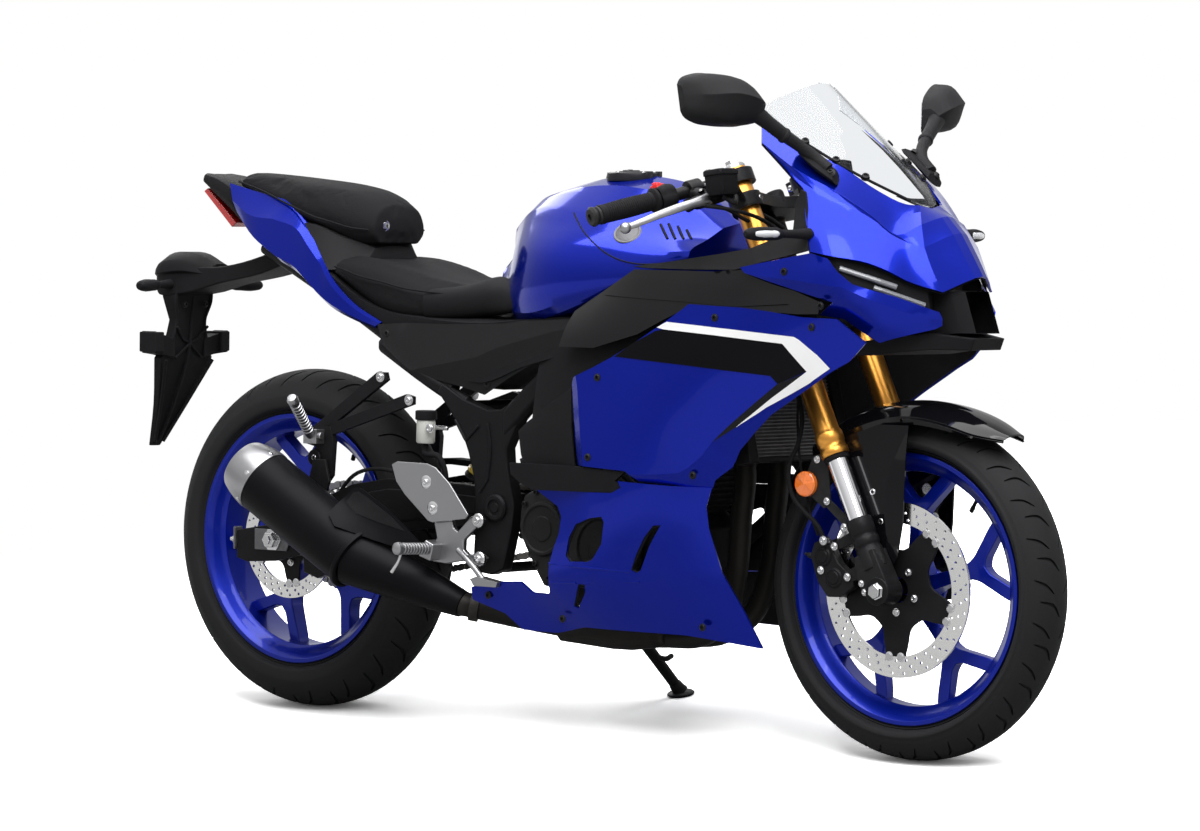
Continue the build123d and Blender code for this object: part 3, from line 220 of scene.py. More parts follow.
finish("switch_red", (0.60, 0.01, 0.01), 0.35, grain=900, bump=0.1)
finish("decal_black", (0.002, 0.002, 0.003), 0.35, shine=0.08, grain=2200, bump=0.01, tone=0.2)
finish("stripe_white", (0.80, 0.80, 0.80), 0.25, coat=0.8, grain=2200, bump=0.01, tone=0.02)
finish("lamp_strip", (0.15, 0.155, 0.17), 0.12, coat=1.0, grain=300, bump=0.6, tone=0.3)
finish("lens_white", (0.55, 0.56, 0.58), 0.10, coat=1.0, grain=500, bump=0.2, tone=0.05)
finish("reservoir_white", (0.45, 0.45, 0.42), 0.35, grain=900, bump=0.05, tone=0.05)


def clear_finish(name, colour, rough, ior):
    """Clear plastic: light goes through it."""
    material = bpy.data.materials.new(name)
    material.use_nodes = True
    tree = material.node_tree
    shader = tree.nodes["Principled BSDF"]
    where = node(tree, "TexCoord").outputs["Object"]
    surface = node(tree, "Group", node_tree=GRAIN)
    tree.links.new(where, surface.inputs["Vector"])
    gloss = node(tree, "MapRange", [("Value", surface.outputs["Tone"]), ("To Min", rough),
        ("To Max", rough * 2)])
    tree.links.new(gloss.outputs[0], shader.inputs["Roughness"])
    shader.inputs["Base Color"].default_value = list(colour) + [1.0]
    shader.inputs["Transmission Weight"].default_value = 1.0
    shader.inputs["IOR"].default_value = ior
    FINISHES[name] = material


clear_finish("screen_clear", (0.84, 0.86, 0.88), 0.01, ior=1.12)
clear_finish("lens_smoked", (0.20, 0.19, 0.18), 0.05, ior=1.3)


# ---------------------------------------------------------------- shapes
def spline(points, steps, breaks=(), loop=False):
    """A smooth line through points, with a corner at each index in breaks."""
    p = np.asarray(points, float)
    count = len(p)
    last = count if loop else count - 1
    gap = [max(1e-6, np.linalg.norm(p[(i + 1) % count] - p[i])) for i in range(last)]

    def slope(i, ahead):
        before, after = (i - 1) % count, (i + 1) % count
        ends = not loop and i in (0, count - 1)
        if ends or i in breaks:
            near = after if ahead else before
            d = gap[i % last] if ahead else gap[(i - 1) % last]
            return (p[near] - p[i]) / d if ahead else (p[i] - p[near]) / d
        d0, d1 = gap[(i - 1) % last], gap[i % last]
        return ((p[i] - p[before]) / d0 * d1 + (p[after] - p[i]) / d1 * d0) / (d0 + d1)

    out = []
    for i in range(last):
        j = (i + 1) % count
        m0, m1 = slope(i, True) * gap[i], slope(j, False) * gap[i]
        for k in range(steps):
            t = k / steps
            out.append((2 * t**3 - 3 * t**2 + 1) * p[i] + (t**3 - 2 * t**2 + t) * m0
                + (3 * t**2 - 2 * t**3) * p[j] + (t**3 - t**2) * m1)
    if not loop:
        out.append(p[-1])
    return np.array(out)


def grid_faces(rows, cols, start=0, loop=False, flip=False):
    """Quads over a grid of points."""
    faces = []
    for r in range(rows - 1):
        for c in range(cols if loop else cols - 1):
            a, b = start + r * cols + c, start + r * cols + (c + 1) % cols
            face = (a, b, b + cols, a + cols)
            faces.append(face[::-1] if flip else face)
    return faces


class Form:
    """Points and faces in millimetres, gathered before they become one piece."""

    def __init__(self):
        self.points, self.faces = [], []

    def add(self, points, faces, place=UPRIGHT):
        start = len(self.points)
        self.points += [place @ Vector(p) for p in points]
        self.faces += [tuple(start + i for i in f) for f in faces]
        return self

    def join(self, other, place=UPRIGHT):
        return self.add(other.points, other.faces, place)

    def both(self):
        """The same again on the other side of the bike."""
        start = len(self.points)
        self.points += [Vector((p[0], -p[1], p[2])) for p in self.points[:start]]
        self.faces += [tuple(start + i for i in reversed(f)) for f in self.faces[:]]
        return self


MERGED = 0.02  # points closer than this, in millimetres, become one
BEVELLED = radians(40)  # edges sharper than this get a piece's bevel


def piece(name, form, material, body="chassis", place=UPRIGHT, replaces=(), bevel=0.0, sharp=35.0,
        segments=2):
    """One finished object from a form: leaned, shaded, bevelled and riding on its body."""
    mesh = bpy.data.meshes.new(name)
    mesh.from_pydata([tuple(p) for p in form.points], [], form.faces)
    work = bmesh.new()
    work.from_mesh(mesh)
    bmesh.ops.remove_doubles(work, verts=work.verts, dist=MERGED)
    bmesh.ops.recalc_face_normals(work, faces=work.faces)
    for face in work.faces:
        face.smooth = True
    for edge in work.edges:
        edge.smooth = len(edge.link_faces) == 2 and edge.calc_face_angle(0) < radians(sharp)
    work.to_mesh(mesh)
    work.free()
    mesh.transform(TO_FRAME @ place)
    obj = bpy.data.objects.new(name, mesh)
    bpy.context.scene.collection.objects.link(obj)
    mesh.materials.append(FINISHES[material])
    if bevel:
        modifier = obj.modifiers.new("edges", "BEVEL")
        modifier.width, modifier.segments = bevel / 1000, segments
        modifier.limit_method, modifier.angle_limit = "ANGLE", BEVELLED
        modifier.harden_normals = True
    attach(obj, body)
    if replaces:
        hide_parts(*replaces)
    return obj


def lathe(profile, steps=48):
    """A profile of (radius, along) turned round the Z axis."""
    points = [(r * cos(2 * pi * k / steps), r * sin(2 * pi * k / steps), h) for k in range(steps)
        for r, h in profile]
    count = len(profile)
    faces = []
    for k in range(steps):
        for i in range(count - 1):
            a, b = k * count + i, ((k + 1) % steps) * count + i
            faces.append((a, b, b + 1, a + 1))
    return Form().add(points, faces)


def aim(start, end):
    """The placing that takes the Z axis onto the line from start to end."""
    a, b = Vector(start), Vector(end)
    return Matrix.Translation(a) @ (b - a).to_track_quat("Z", "Y").to_matrix().to_4x4()


def turned(profile, start, end, steps=40):
    """A turned body whose axis runs from start towards end."""
    return Form().join(lathe(profile, steps), aim(start, end))


def round_profile(radius, length, edge=1.0):
    """The profile of a bar with broken edges."""
    return [(0, 0), (radius - edge, 0), (radius, edge), (radius, length - edge), (radius - edge, length),
        (0, length)]


def facing(profile, at, out, steps):
    """A turned body that stands on a point, with its axis along out."""
    return turned(profile, at, tuple(a + b for a, b in zip(at, out)), steps)


def washer(at, out, radius, thick, steps):
    """A plain round disc that lies on a point, facing out."""
    return facing([(0, 0), (radius, 0), (radius, thick), (0, thick)], at, out, steps)


def bar(start, end, radius, edge=1.0, steps=24):
    """A round bar with broken edges."""
    return turned(round_profile(radius, (Vector(end) - Vector(start)).length, edge), start, end, steps)


def tube(points, radius, sides=14, steps=8, breaks=(), caps=True):
    """A round tube along a smooth line; radius is one number or one for each point."""
    line = spline(points, steps, breaks)
    radii = [radius] * len(line)
    if hasattr(radius, "__len__"):
        radii = np.interp(np.linspace(0, len(points) - 1, len(line)), range(len(points)), radius)
    form, rings = Form(), []
    up = Vector((0.13, 0.31, 0.94))
    for i, p in enumerate(line):
        ahead = Vector(line[min(i + 1, len(line) - 1)] - line[max(i - 1, 0)]).normalized()
        across = (up - ahead * up.dot(ahead)).normalized()
        up = across
        third = ahead.cross(across)
        rings += [Vector(p) + (across * cos(2 * pi * k / sides)
            + third * sin(2 * pi * k / sides)) * radii[i] for k in range(sides)]
    faces = grid_faces(len(line), sides, loop=True)
    if caps:
        faces += [tuple(range(sides))[::-1], tuple(len(rings) - sides + k for k in range(sides))]
    return form.add(rings, faces)


def loft(rings, along=4, around=4, corners=(), folds=(), caps=True):
    """A closed body through rings of points: corners are sharp places round a ring, folds are sharp rings."""
    rounds = [spline(ring, around, corners, loop=True) for ring in rings]
    lines = [spline([r[i] for r in rounds], along, folds) for i in range(len(rounds[0]))]
    count, length = len(lines), len(lines[0])
    points = [lines[i][k] for k in range(length) for i in range(count)]
    faces = grid_faces(length, count, loop=True)
    if caps:
        for k in (0, length - 1):
            middle = len(points)
            points.append(np.mean(points[k * count:(k + 1) * count], axis=0))
            faces += [(k * count + i, k * count + (i + 1) % count, middle) for i in range(count)]
    return Form().add(points, faces)


def shell(rows, wall, inside, along=4, across=4, row_folds=(), col_folds=()):
    """A thin open panel over a grid of points, a wall thick towards a point inside."""
    wide = [spline(row, across, col_folds) for row in rows]
    lines = [spline([r[i] for r in wide], along, row_folds) for i in range(len(wide[0]))]
    outer = np.array(lines).transpose(1, 0, 2)
    return thicken(outer, wall, inside)


def thicken(outer, wall, inside):
    """A closed thin body from a grid of outer points."""
    high, wide = outer.shape[:2]
    over = np.gradient(outer, axis=0)
    side = np.gradient(outer, axis=1)
    normal = np.cross(over, side)
    normal /= np.linalg.norm(normal, axis=2, keepdims=True) + 1e-9
    flip = np.sign(np.sum(normal * (np.asarray(inside, float) - outer), axis=2, keepdims=True))
    inner = outer + normal * flip * wall
    points = list(outer.reshape(-1, 3)) + list(inner.reshape(-1, 3))
    back = high * wide
    faces = grid_faces(high, wide) + grid_faces(high, wide, back, flip=True)
    edge = [(0, c) for c in range(wide)] + [(r, wide - 1) for r in range(1, high)]
    edge += [(high - 1, c) for c in range(wide - 2, -1, -1)] + [(r, 0) for r in range(high - 2, 0, -1)]
    for (r, c), (s, d) in zip(edge, edge[1:] + edge[:1]):
        a, b = r * wide + c, s * wide + d
        faces.append((a, b, b + back, a + back))
    return Form().add(points, faces)


def surface(*points, ease=0.0):
    """A smooth surface by (x, y, z) points: a function that gives y for x and z. Ease lets it miss them."""
    p = np.array(points, float)
    flat, out = p[:, [0, 2]], p[:, 1]
    count = len(p)

    def pull(d):
        return np.where(d > 0, d**2 * np.log(d + 1e-9), 0.0)

    system = np.zeros((count + 3, count + 3))
    system[:count, :count] = pull(np.linalg.norm(flat[:, None] - flat[None], axis=2)) + ease * np.eye(count)
    system[:count, count] = system[count, :count] = 1
    system[:count, count + 1:] = flat
    system[count + 1:, :count] = flat.T
    w = np.linalg.solve(system, np.concatenate([out, np.zeros(3)]))

    def depth(x, z):
        d = np.hypot(np.asarray(x)[..., None] - flat[:, 0], np.asarray(z)[..., None] - flat[:, 1])
        return pull(d) @ w[:count] + w[count] + w[count + 1] * np.asarray(x) + w[count + 2] * np.asarray(z)

    return depth


def folded(depth, line, slope, reach):
    """The same surface, turned inwards past a line of (x, z) points, on the side where reach is."""
    line = np.array(line, float)

    def bent(x, z):
        x, z = np.asarray(x, float), np.asarray(z, float)
        best = np.full(x.shape, 1e9)
        for a, b in zip(line[:-1], line[1:]):
            d = b - a
            t = np.clip(((x - a[0]) * d[0] + (z - a[1]) * d[1]) / (d @ d), 0, 1)
            away = np.hypot(x - a[0] - t * d[0], z - a[1] - t * d[1])
            side = np.sign(d[0] * (z - a[1]) - d[1] * (x - a[0]))
            goal = np.sign(d[0] * (reach[1] - a[1]) - d[1] * (reach[0] - a[0]))
            signed = np.where(side == goal, away, -away)
            best = np.where(away < np.abs(best), signed, best)
        return depth(x, z) - slope * np.clip(best, 0, None)

    return bent


def inside_outline(points, outline):
    """Which of the (x, z) points lie inside an outline."""
    x, z = points[:, 0], points[:, 1]
    found = np.zeros(len(points), bool)
    for (x0, z0), (x1, z1) in zip(outline, outline[1:] + outline[:1]):
        crossing = (z0 > z) != (z1 > z)
        with np.errstate(divide="ignore", invalid="ignore"):
            found ^= crossing & (x < (x1 - x0) * (z - z0) / (z1 - z0) + x0)
    return found


def divided(line, spacing, closed=True):
    """A line's points with more between them, no further apart than spacing."""
    out = []
    pairs = list(zip(line, line[1:] + line[:1])) if closed else list(zip(line, line[1:]))
    for (x0, z0), (x1, z1) in pairs:
        n = max(1, int(np.hypot(x1 - x0, z1 - z0) // spacing))
        out += [(x0 + (x1 - x0) * k / n, z0 + (z1 - z0) * k / n) for k in range(n)]
    return out if closed else out + [line[-1]]


def sheet(outline, holes=(), folds=(), spacing=13.0, fill=True):
    """Points and triangles over a flat outline with holes; folds are lines that edges follow."""
    loops = [divided(list(loop), spacing) for loop in (outline, *holes)]
    cuts = [divided(list(f), spacing, closed=False) for f in folds]
    points, edges = [], []
    for loop in loops:
        edges += [(len(points) + i, len(points) + (i + 1) % len(loop)) for i in range(len(loop))]
        points += loop
    for cut in cuts:
        edges += [(len(points) + i, len(points) + i + 1) for i in range(len(cut) - 1)]
        points += cut
    if fill:
        rim = np.array(points)
        low, high = rim.min(axis=0), rim.max(axis=0)
        xs, zs = np.meshgrid(np.arange(low[0], high[0], spacing), np.arange(low[1], high[1], spacing))
        xs = xs + (np.arange(xs.shape[0]) % 2)[:, None] * spacing / 2
        inner = np.stack([xs.ravel(), zs.ravel()], 1)
        clear = np.min(np.linalg.norm(inner[:, None] - rim[None], axis=2), axis=1) > spacing * 0.6
        points += [tuple(p) for p in inner[clear & inside_outline(inner, loops[0])]]
    made = geometry.delaunay_2d_cdt([Vector(p) for p in points], edges, [], 0, 0.01)
    flat, tris = np.array([tuple(v) for v in made[0]]), np.array([f for f in made[2] if len(f) == 3])
    middle = flat[tris].mean(axis=1)
    keep = inside_outline(middle, loops[0])
    for hole in loops[1:]:
        keep &= ~inside_outline(middle, hole)
    return flat, tris[keep]


def walled(outer, inner, tris):
    """A closed form from two matching layers of points and the triangles of the outer one."""
    count = len(outer)
    border = {(t[k], t[(k + 1) % 3]) for t in tris.tolist() for k in range(3)}
    faces = [tuple(t) for t in tris] + [tuple(count + i for i in reversed(t)) for t in tris]
    faces += [(j, i, i + count, j + count) for i, j in sorted(border) if (j, i) not in border]
    return Form().add(list(outer) + list(inner), faces)


def panel(outline, depth, wall=3.5, holes=(), folds=(), spacing=13.0, lift=0.0, right_only=False):
    """A thin panel with this outline in X and Z, lying on a surface, on both sides of the bike."""
    flat, tris = sheet(outline, holes, folds, spacing)
    x, z = flat[:, 0], flat[:, 1]
    normal = np.stack([depth(x - 0.5, z) - depth(x + 0.5, z), np.ones(len(x)),
        depth(x, z - 0.5) - depth(x, z + 0.5)], 1)
    normal /= np.linalg.norm(normal, axis=1, keepdims=True)
    base = np.stack([x, depth(x, z), z], 1)
    left = walled(base + normal * lift, base + normal * (lift - wall), tris)
    return Form().join(left, MIRROR) if right_only else left.both()


def plate(outline, y_from, y_to, holes=()):
    """A flat plate with holes: outlines of (x, z) points between two Y."""
    flat, tris = sheet(outline, holes, spacing=400.0, fill=False)
    layers = [np.stack([flat[:, 0], np.full(len(flat), y), flat[:, 1]], 1) for y in (y_from, y_to)]
    return walled(layers[0], layers[1], tris)


def circle(x, z, radius, steps=16):
    """A round outline."""
    return [(x + radius * cos(2 * pi * k / steps), z + radius * sin(2 * pi * k / steps))
        for k in range(steps)]


def slab(outline, y_from, y_to):
    """A flat plate: an outline of (x, z) points between two Y."""
    form = Form()
    count = len(outline)
    points = [(x, y_from, z) for x, z in outline] + [(x, y_to, z) for x, z in outline]
    faces = [tuple(range(count)), tuple(range(2 * count - 1, count - 1, -1))]
    faces += [(i, (i + 1) % count, (i + 1) % count + count, i + count) for i in range(count)]
    return form.add(points, faces)


def block(low, high):
    """A box between two corners."""
    return slab([(low[0], low[2]), (high[0], low[2]), (high[0], high[2]), (low[0], high[2])], low[1], high[1])


def ring(x, *half):
    """One closed ring across the bike at X: (half width, Z) pairs from the bottom up, then mirrored."""
    left = [(x, y, z) for y, z in half]
    return left + [(x, -y, z) for y, z in reversed(half)]


def bolt(at, out, radius=5.0, head=4.0, socket=True):
    """A bolt head with a hexagon socket, on a point, facing out."""
    return facing([(0, 0), (radius + 1.5, 0), (radius + 1.5, 1.2), (radius, 1.6), (radius, head - 0.8),
        (radius - 0.8, head), (radius * 0.55, head), (radius * 0.5, head - 2.0 if socket else head),
        (0, head - 2.2 if socket else head)], at, out, 12)


def bolts(spots, out, radius=5.0, head=4.0, form=None):
    """A bolt head on each point, all facing out."""
    form = form or Form()
    for at in spots:
        form.join(bolt(at, out, radius, head))
    return form


def across(first, second):
    """A ring of four corners from two of them and their mirror images on the other side."""
    (x0, y0, z0), (x1, y1, z1) = first, second
    return [(x0, -y0, z0), (x0, y0, z0), (x1, y1, z1), (x1, -y1, z1)]


def depth_at(depth, x, z):
    """The half width of a surface at one place."""
    return float(depth(np.array(x), np.array(z)))


# ---------------------------------------------------------------- wheels
BEAD_RADIUS = 218.5
FLANGE_RADIUS = 232.0
AXLE_RADIUS = 8.5
SHOULDER = radians(64)  # where the tread ends, round the crown
GROOVE_DEPTH = 4.5
DISC_THICK = 4.5
SPROCKET_Y = 84.0
REAR_TEETH, FRONT_TEETH = 36, 14


def axle_place(w):
    """The placing that stands a turned form's axis along a wheel's axle."""
    return Matrix.Translation((w["x"], 0, w["radius"])) @ Matrix.Rotation(-pi / 2, 4, "X")


def on_axle(profile, w, steps):
    """A turned body round a wheel's axle."""
    return Form().join(lathe(profile, steps), axle_place(w))


def wheel_spin(w, angle):
    """A turn about a wheel's axle, for forms drawn with X along the radius and Z across it."""
    return Matrix.Translation((w["x"], 0, w["radius"])) @ Matrix.Rotation(-angle, 4, "Y")


def crown_point(w, angle, arc, depth):
    """A point of the tread: by its angle round the wheel and its distance over the crown."""
    crown = w["crown"] - depth
    lean = arc / w["crown"]
    r = w["radius"] - w["crown"] + crown * cos(lean)
    return (w["x"] + r * cos(angle), crown * sin(lean), w["radius"] + r * sin(angle))


def groove(points, half):
    """A tapered groove's outline along a line of (round, across) points."""
    line = spline(points, 5)
    ahead = np.gradient(line, axis=0)
    side = np.stack([-ahead[:, 1], ahead[:, 0]], 1) / np.linalg.norm(ahead, axis=1, keepdims=True)
    width = half * np.sqrt(np.sin(np.linspace(0.12, pi - 0.12, len(line))))[:, None]
    return [tuple(p) for p in np.concatenate([line + side * width, (line - side * width)[::-1]])]


def tread(w, repeats, grooves):
    """The tread, one pattern repeated round the wheel with its grooves cut in."""
    pitch = 2 * pi * w["radius"] / repeats
    edge = SHOULDER * w["crown"]
    cuts = [groove(line, half) for line, half in grooves]
    flat, tris = sheet([(0, -edge), (pitch, -edge), (pitch, edge), (0, edge)], cuts, spacing=8.0)
    form = Form()
    for k in range(repeats):
        turn = 2 * pi * k / repeats
        form.add([crown_point(w, turn + u / w["radius"], v, 0) for u, v in flat], [tuple(t) for t in tris])
        for cut in cuts:
            floor, inner = sheet(divided(cut, 8.0), spacing=400.0, fill=False)
            count = len(floor)
            points = [crown_point(w, turn + u / w["radius"], v, GROOVE_DEPTH) for u, v in floor]
            points += [crown_point(w, turn + u / w["radius"], v, 0) for u, v in floor]
            border = {(t[i], t[(i + 1) % 3]) for t in inner.tolist() for i in range(3)}
            walls = [(i, j, j + count, i + count) for i, j in border if (j, i) not in border]
            form.add(points, [tuple(t) for t in inner] + walls)
    return form


def sidewalls(w):
    """The carcass from shoulder to bead, with fine rings beside the rim, on both sides."""
    crown, top = w["crown"], w["radius"]
    lip = w["rim_half"] - 1.0
    form = Form()
    for side in (1, -1):
        shoulder = (top - crown + crown * cos(SHOULDER), crown * sin(SHOULDER))
        wide = w["width"] / 2
        low = FLANGE_RADIUS + 6
        profile = [tuple(p) for p in spline([shoulder, (shoulder[0] - 7, shoulder[1] + 3.0),
            ((shoulder[0] + low) / 2 + 2, wide), (low + 5, wide - 3), (low, lip + 4.5)], 6)]
        profile += [(low - 1.5, lip + 6.0), (low - 3.0, lip + 3.5), (FLANGE_RADIUS - 1, lip + 1),
            (BEAD_RADIUS, lip)]
        form.join(on_axle([(r, side * y) for r, y in profile], w, 120))
    return form


FRONT_GROOVES = [([(6, 4), (26, 20), (52, 44)], 2.6), ([(44, -4), (64, -20), (70, -44)], 2.6),
                 ([(40, 16), (58, 32), (66, 52)], 2.2), ([(6, -18), (22, -34), (32, -54)], 2.2)]
REAR_GROOVES = [([(8, 5), (36, 26), (70, 58)], 3.2), ([(52, -5), (80, -26), (92, -58)], 3.2),
                ([(56, 22), (80, 44), (92, 70)], 2.6), ([(8, -24), (30, -44), (44, -70)], 2.6)]


def spoke_outline():
    """Half of a forked spoke, as (along the radius, aside) points from the hub out."""
    half = [(22, 19), (34, 15), (62, 12.5), (104, 12), (126, 17), (150, 37), (176, 62), (194, 76)]
    end = [(207, 60), (196, 49), (172, 27), (156, 11)]
    smooth = spline(half, 4)
    inner = spline([*end, (151, 0)], 4)
    return [tuple(p) for p in smooth] + [tuple(p) for p in inner]


def spoke(w):
    """One forked spoke, thick at the hub and slim at the rim, with rounded edges to come from its bevel."""
    near = spoke_outline()
    loop = near + [(t, -s) for t, s in reversed(near[:-1])]
    flat, tris = sheet(loop, spacing=16.0)
    half = np.interp(flat[:, 0], [22, 60, 138, 206], [w["hub_half"] - 4, w["spoke_half"] + 7,
        w["spoke_half"] + 2, w["spoke_half"] - 1])
    layers = [np.stack([flat[:, 0], side * half, flat[:, 1]], 1) for side in (1, -1)]
    return walled(layers[0], layers[1], tris)


def rim(name, w):
    """A cast wheel: barrel with flanges, hub with its bearing seats, five forked spokes and the valve."""
    half, lip = w["rim_half"], w["rim_half"] + 6.0
    barrel = on_axle([(FLANGE_RADIUS - 8, -lip), (FLANGE_RADIUS - 1, -lip), (FLANGE_RADIUS, -lip + 1.5),
        (FLANGE_RADIUS - 1, -half), (BEAD_RADIUS, -half + 1), (BEAD_RADIUS, -half + 14),
        (BEAD_RADIUS - 11, -half + 24), (BEAD_RADIUS - 11, half - 24), (BEAD_RADIUS, half - 14),
        (BEAD_RADIUS, half - 1), (FLANGE_RADIUS - 1, half), (FLANGE_RADIUS, lip - 1.5),
        (FLANGE_RADIUS - 1, lip), (FLANGE_RADIUS - 8, lip), (BEAD_RADIUS - 5, half - 4),
        (BEAD_RADIUS - 9, half - 12), (BEAD_RADIUS - 19, half - 20), (BEAD_RADIUS - 19, -half + 20),
        (BEAD_RADIUS - 9, -half + 12), (BEAD_RADIUS - 5, -half + 4), (FLANGE_RADIUS - 8, -lip)], w, 140)
    piece(name + "_barrel", barrel, "wheel_blue", w["body"], replaces=(w["rim_node"],), bevel=0.8)
    spokes = Form()
    for k in range(5):
        spokes.join(spoke(w), wheel_spin(w, radians(w["phase"] + 72 * k)))
    piece(name + "_spokes", spokes, "wheel_blue", w["body"], bevel=4.0, segments=3)
    hub, end = w["hub"], w["hub_half"]
    profile = [(AXLE_RADIUS + 1, -end + 2), (hub - 12, -end + 2), (hub - 11, -end), (hub - 2, -end),
        (hub, -end + 2), (hub, -end + 9), (hub - 5, -end + 13), (hub - 6, 0), (hub - 5, end - 13),
        (hub, end - 9), (hub, end - 2), (hub - 2, end), (hub - 11, end), (hub - 12, end - 2),
        (AXLE_RADIUS + 1, end - 2)]
    piece(name + "_hub", on_axle(profile, w, 64), "wheel_blue", w["body"], bevel=0.8)
    seals = Form()
    for side in (1, -1):
        seals.join(on_axle([(AXLE_RADIUS + 1, side * (end - 2.2)), (AXLE_RADIUS + 3, side * (end - 1.2)),
            (hub - 14, side * (end - 1.2)), (hub - 12.5, side * (end - 2.4))], w, 48))
    piece(name + "_seals", seals, "grip_rubber", w["body"])
    valve = turned([(0, 0), (5, 0), (5, 6), (3.4, 8), (3.4, 24), (4.2, 24.5), (4.2, 34), (0, 35)],
        (BEAD_RADIUS - 17, 0, 0), (BEAD_RADIUS - 60, 10, 0), 16)
    piece(name + "_valve", Form().join(valve, wheel_spin(w, radians(w["phase"] + 36))), "grip_rubber",
        w["body"])


def polar(angle, radius):
    """A flat point by its angle in degrees and its radius."""
    return (radius * cos(radians(angle)), radius * sin(radians(angle)))


def brake_disc(name, w, radius, inner, y, holes):
    """A floating disc: drilled ring, dark carrier with arms, buttons between them and bolts on the hub."""
    place = Matrix.Translation((w["x"], 0, w["radius"]))
    low, high = y - DISC_THICK / 2, y + DISC_THICK / 2
    arms = 5
    drilled = []
    for k in range(holes):
        for row in range(3):
            share = 0.2 + 0.3 * row
            drilled.append(circle(*polar((k + row / 3) * 360 / holes, inner + share * (radius - inner)),
                2.7, 10))
    ring = plate(circle(0, 0, radius, 120), low, high, [circle(0, 0, inner, 96)] + drilled)
    piece(name + "_ring", Form().join(ring, place), "disc_steel", w["body"], replaces=(name,))
    step = 360 / arms
    star = []
    for k in range(arms):
        a = w["phase"] + 36 + k * step
        star += [polar(a - step * 0.5, inner * 0.60), polar(a - step * 0.36, inner * 0.62),
            polar(a - step * 0.19, inner * 0.86), polar(a - step * 0.12, inner + 1),
            polar(a + step * 0.12, inner + 1), polar(a + step * 0.19, inner * 0.86),
            polar(a + step * 0.36, inner * 0.62)]
    carrier = plate([tuple(p) for p in spline(star, 4, loop=True)], low + 0.4, high + 1.4,
        [circle(0, 0, w["hub"] - 12, 48)])
    piece(name + "_carrier", Form().join(carrier, place), "caliper_black", w["body"], bevel=0.9)
    boss = on_axle([(w["hub"] - 12, high), (w["hub"] + 8, high), (w["hub"] + 8, -w["hub_half"] + 1),
        (w["hub"] - 12, -w["hub_half"] + 1)], w, 48)
    piece(name + "_boss", boss, "wheel_blue", w["body"])
    fixings = Form()
    for k in range(arms):
        a = w["phase"] + 36 + k * step
        x, z = polar(a, w["hub"] + 4)
        fixings.join(bolt((x, low + 0.4, z), (0, -1, 0), 5.5, 5.0), place)
        for turn in (-step * 0.085, step * 0.085):
            x, z = polar(a + turn, inner + 1)
            button = facing([(0, 0), (8, 0), (8, 0.8), (5.5, 1.6), (5.5, 2.2), (0, 2.2)], (x, low, z),
                (0, -1, 0), 16)
            fixings.join(button, place)
            fixings.join(washer((x, high, z), (0, 1, 0), 8, 1.4, 16), place)
    piece(name + "_fixings", fixings, "steel", w["body"])


def rear_sprocket():
    """The toothed sprocket with its lightening holes, its carrier and bolts."""
    w = REAR
    place = Matrix.Translation((w["x"], 0, w["radius"]))
    y, outline = SPROCKET_Y, []
    for k in range(REAR_TEETH):
        outline += [polar((k + at) * 360 / REAR_TEETH, r) for at, r in ((0.0, 83.5), (0.25, 85), (0.42, 90),
            (0.58, 90), (0.75, 85))]
    holes = [circle(*polar(72 * k, 64), 13, 20) for k in range(5)] + [circle(*polar(72 * k + 36, 62), 6, 14)
        for k in range(5)]
    form = plate(outline, y - 3, y + 3, [circle(0, 0, 30, 40)] + holes)
    piece("rear_sprocket_teeth", Form().join(form, place), "chain_steel", w["body"],
        replaces=("rear_sprocket",), bevel=0.6)
    hub = on_axle([(10, 48), (42, 48), (42, y - 4), (36, y + 6), (14, y + 6), (10, y + 5)], w, 56)
    piece("rear_sprocket_carrier", hub, "engine_grey", w["body"], bevel=0.8)
    nuts = Form()
    for k in range(5):
        x, z = polar(72 * k + 36, 46)
        nuts.join(bolt((x, y + 3, z), (0, 1, 0), 6, 6, socket=False), place)
    piece("rear_sprocket_bolts", nuts, "steel", w["body"])


def wheels():
    """Both wheels with their tyres and discs, and the rear sprocket."""
    for name, w, repeats, grooves, node_name in (("front", FRONT, 24, FRONT_GROOVES, "front_tyre"),
            ("rear", REAR, 20, REAR_GROOVES, "rear_tyre")):
        rubber = tread(w, repeats, grooves).join(sidewalls(w))
        piece(name + "_tyre_rubber", rubber, "tyre", w["body"], replaces=(node_name,), sharp=28)
        rim(name + "_wheel", w)
    brake_disc("front_disc", FRONT, radius=149.0, inner=113.0, y=-60.0, holes=36)
    brake_disc("rear_disc", REAR, radius=110.0, inner=82.0, y=-74.0, holes=30)
    rear_sprocket()


wheels()


# ---------------------------------------------------------------- bodywork surfaces, half width over X and Z
FAIRING = surface(
    (112, 237, 626), (119, 240, 555), (128, 241, 488), (165, 240, 650), (180, 241, 560), (190, 240, 484),
    (306, 237, 631), (256, 239, 559), (377, 224, 572), (452, 218, 628), (248, 234, 696), (407, 230, 696),
    (524, 212, 687), (586, 198, 677), (635, 184, 668), (376, 224, 772), (478, 222, 766), (580, 208, 756),
    (652, 194, 751), (700, 180, 732), (565, 186, 629), (497, 196, 591), (451, 202, 563), (405, 208, 536),
    (383, 210, 511), (358, 214, 491), (291, 229, 477), (237, 237, 470), ease=9000.0)
BEAK = surface(
    (465, 213, 829), (600, 206, 858), (652, 200, 848), (708, 158, 818), (745, 118, 796), (787, 80, 766),
    (520, 216, 806), (604, 211, 785), (650, 202, 778), (702, 178, 780), (735, 135, 776), (784, 77, 750),
    (582, 210.5, 757.5), (640, 200, 753), (676, 190, 748), (714, 168, 737), (746, 128, 734), (784, 76, 742))
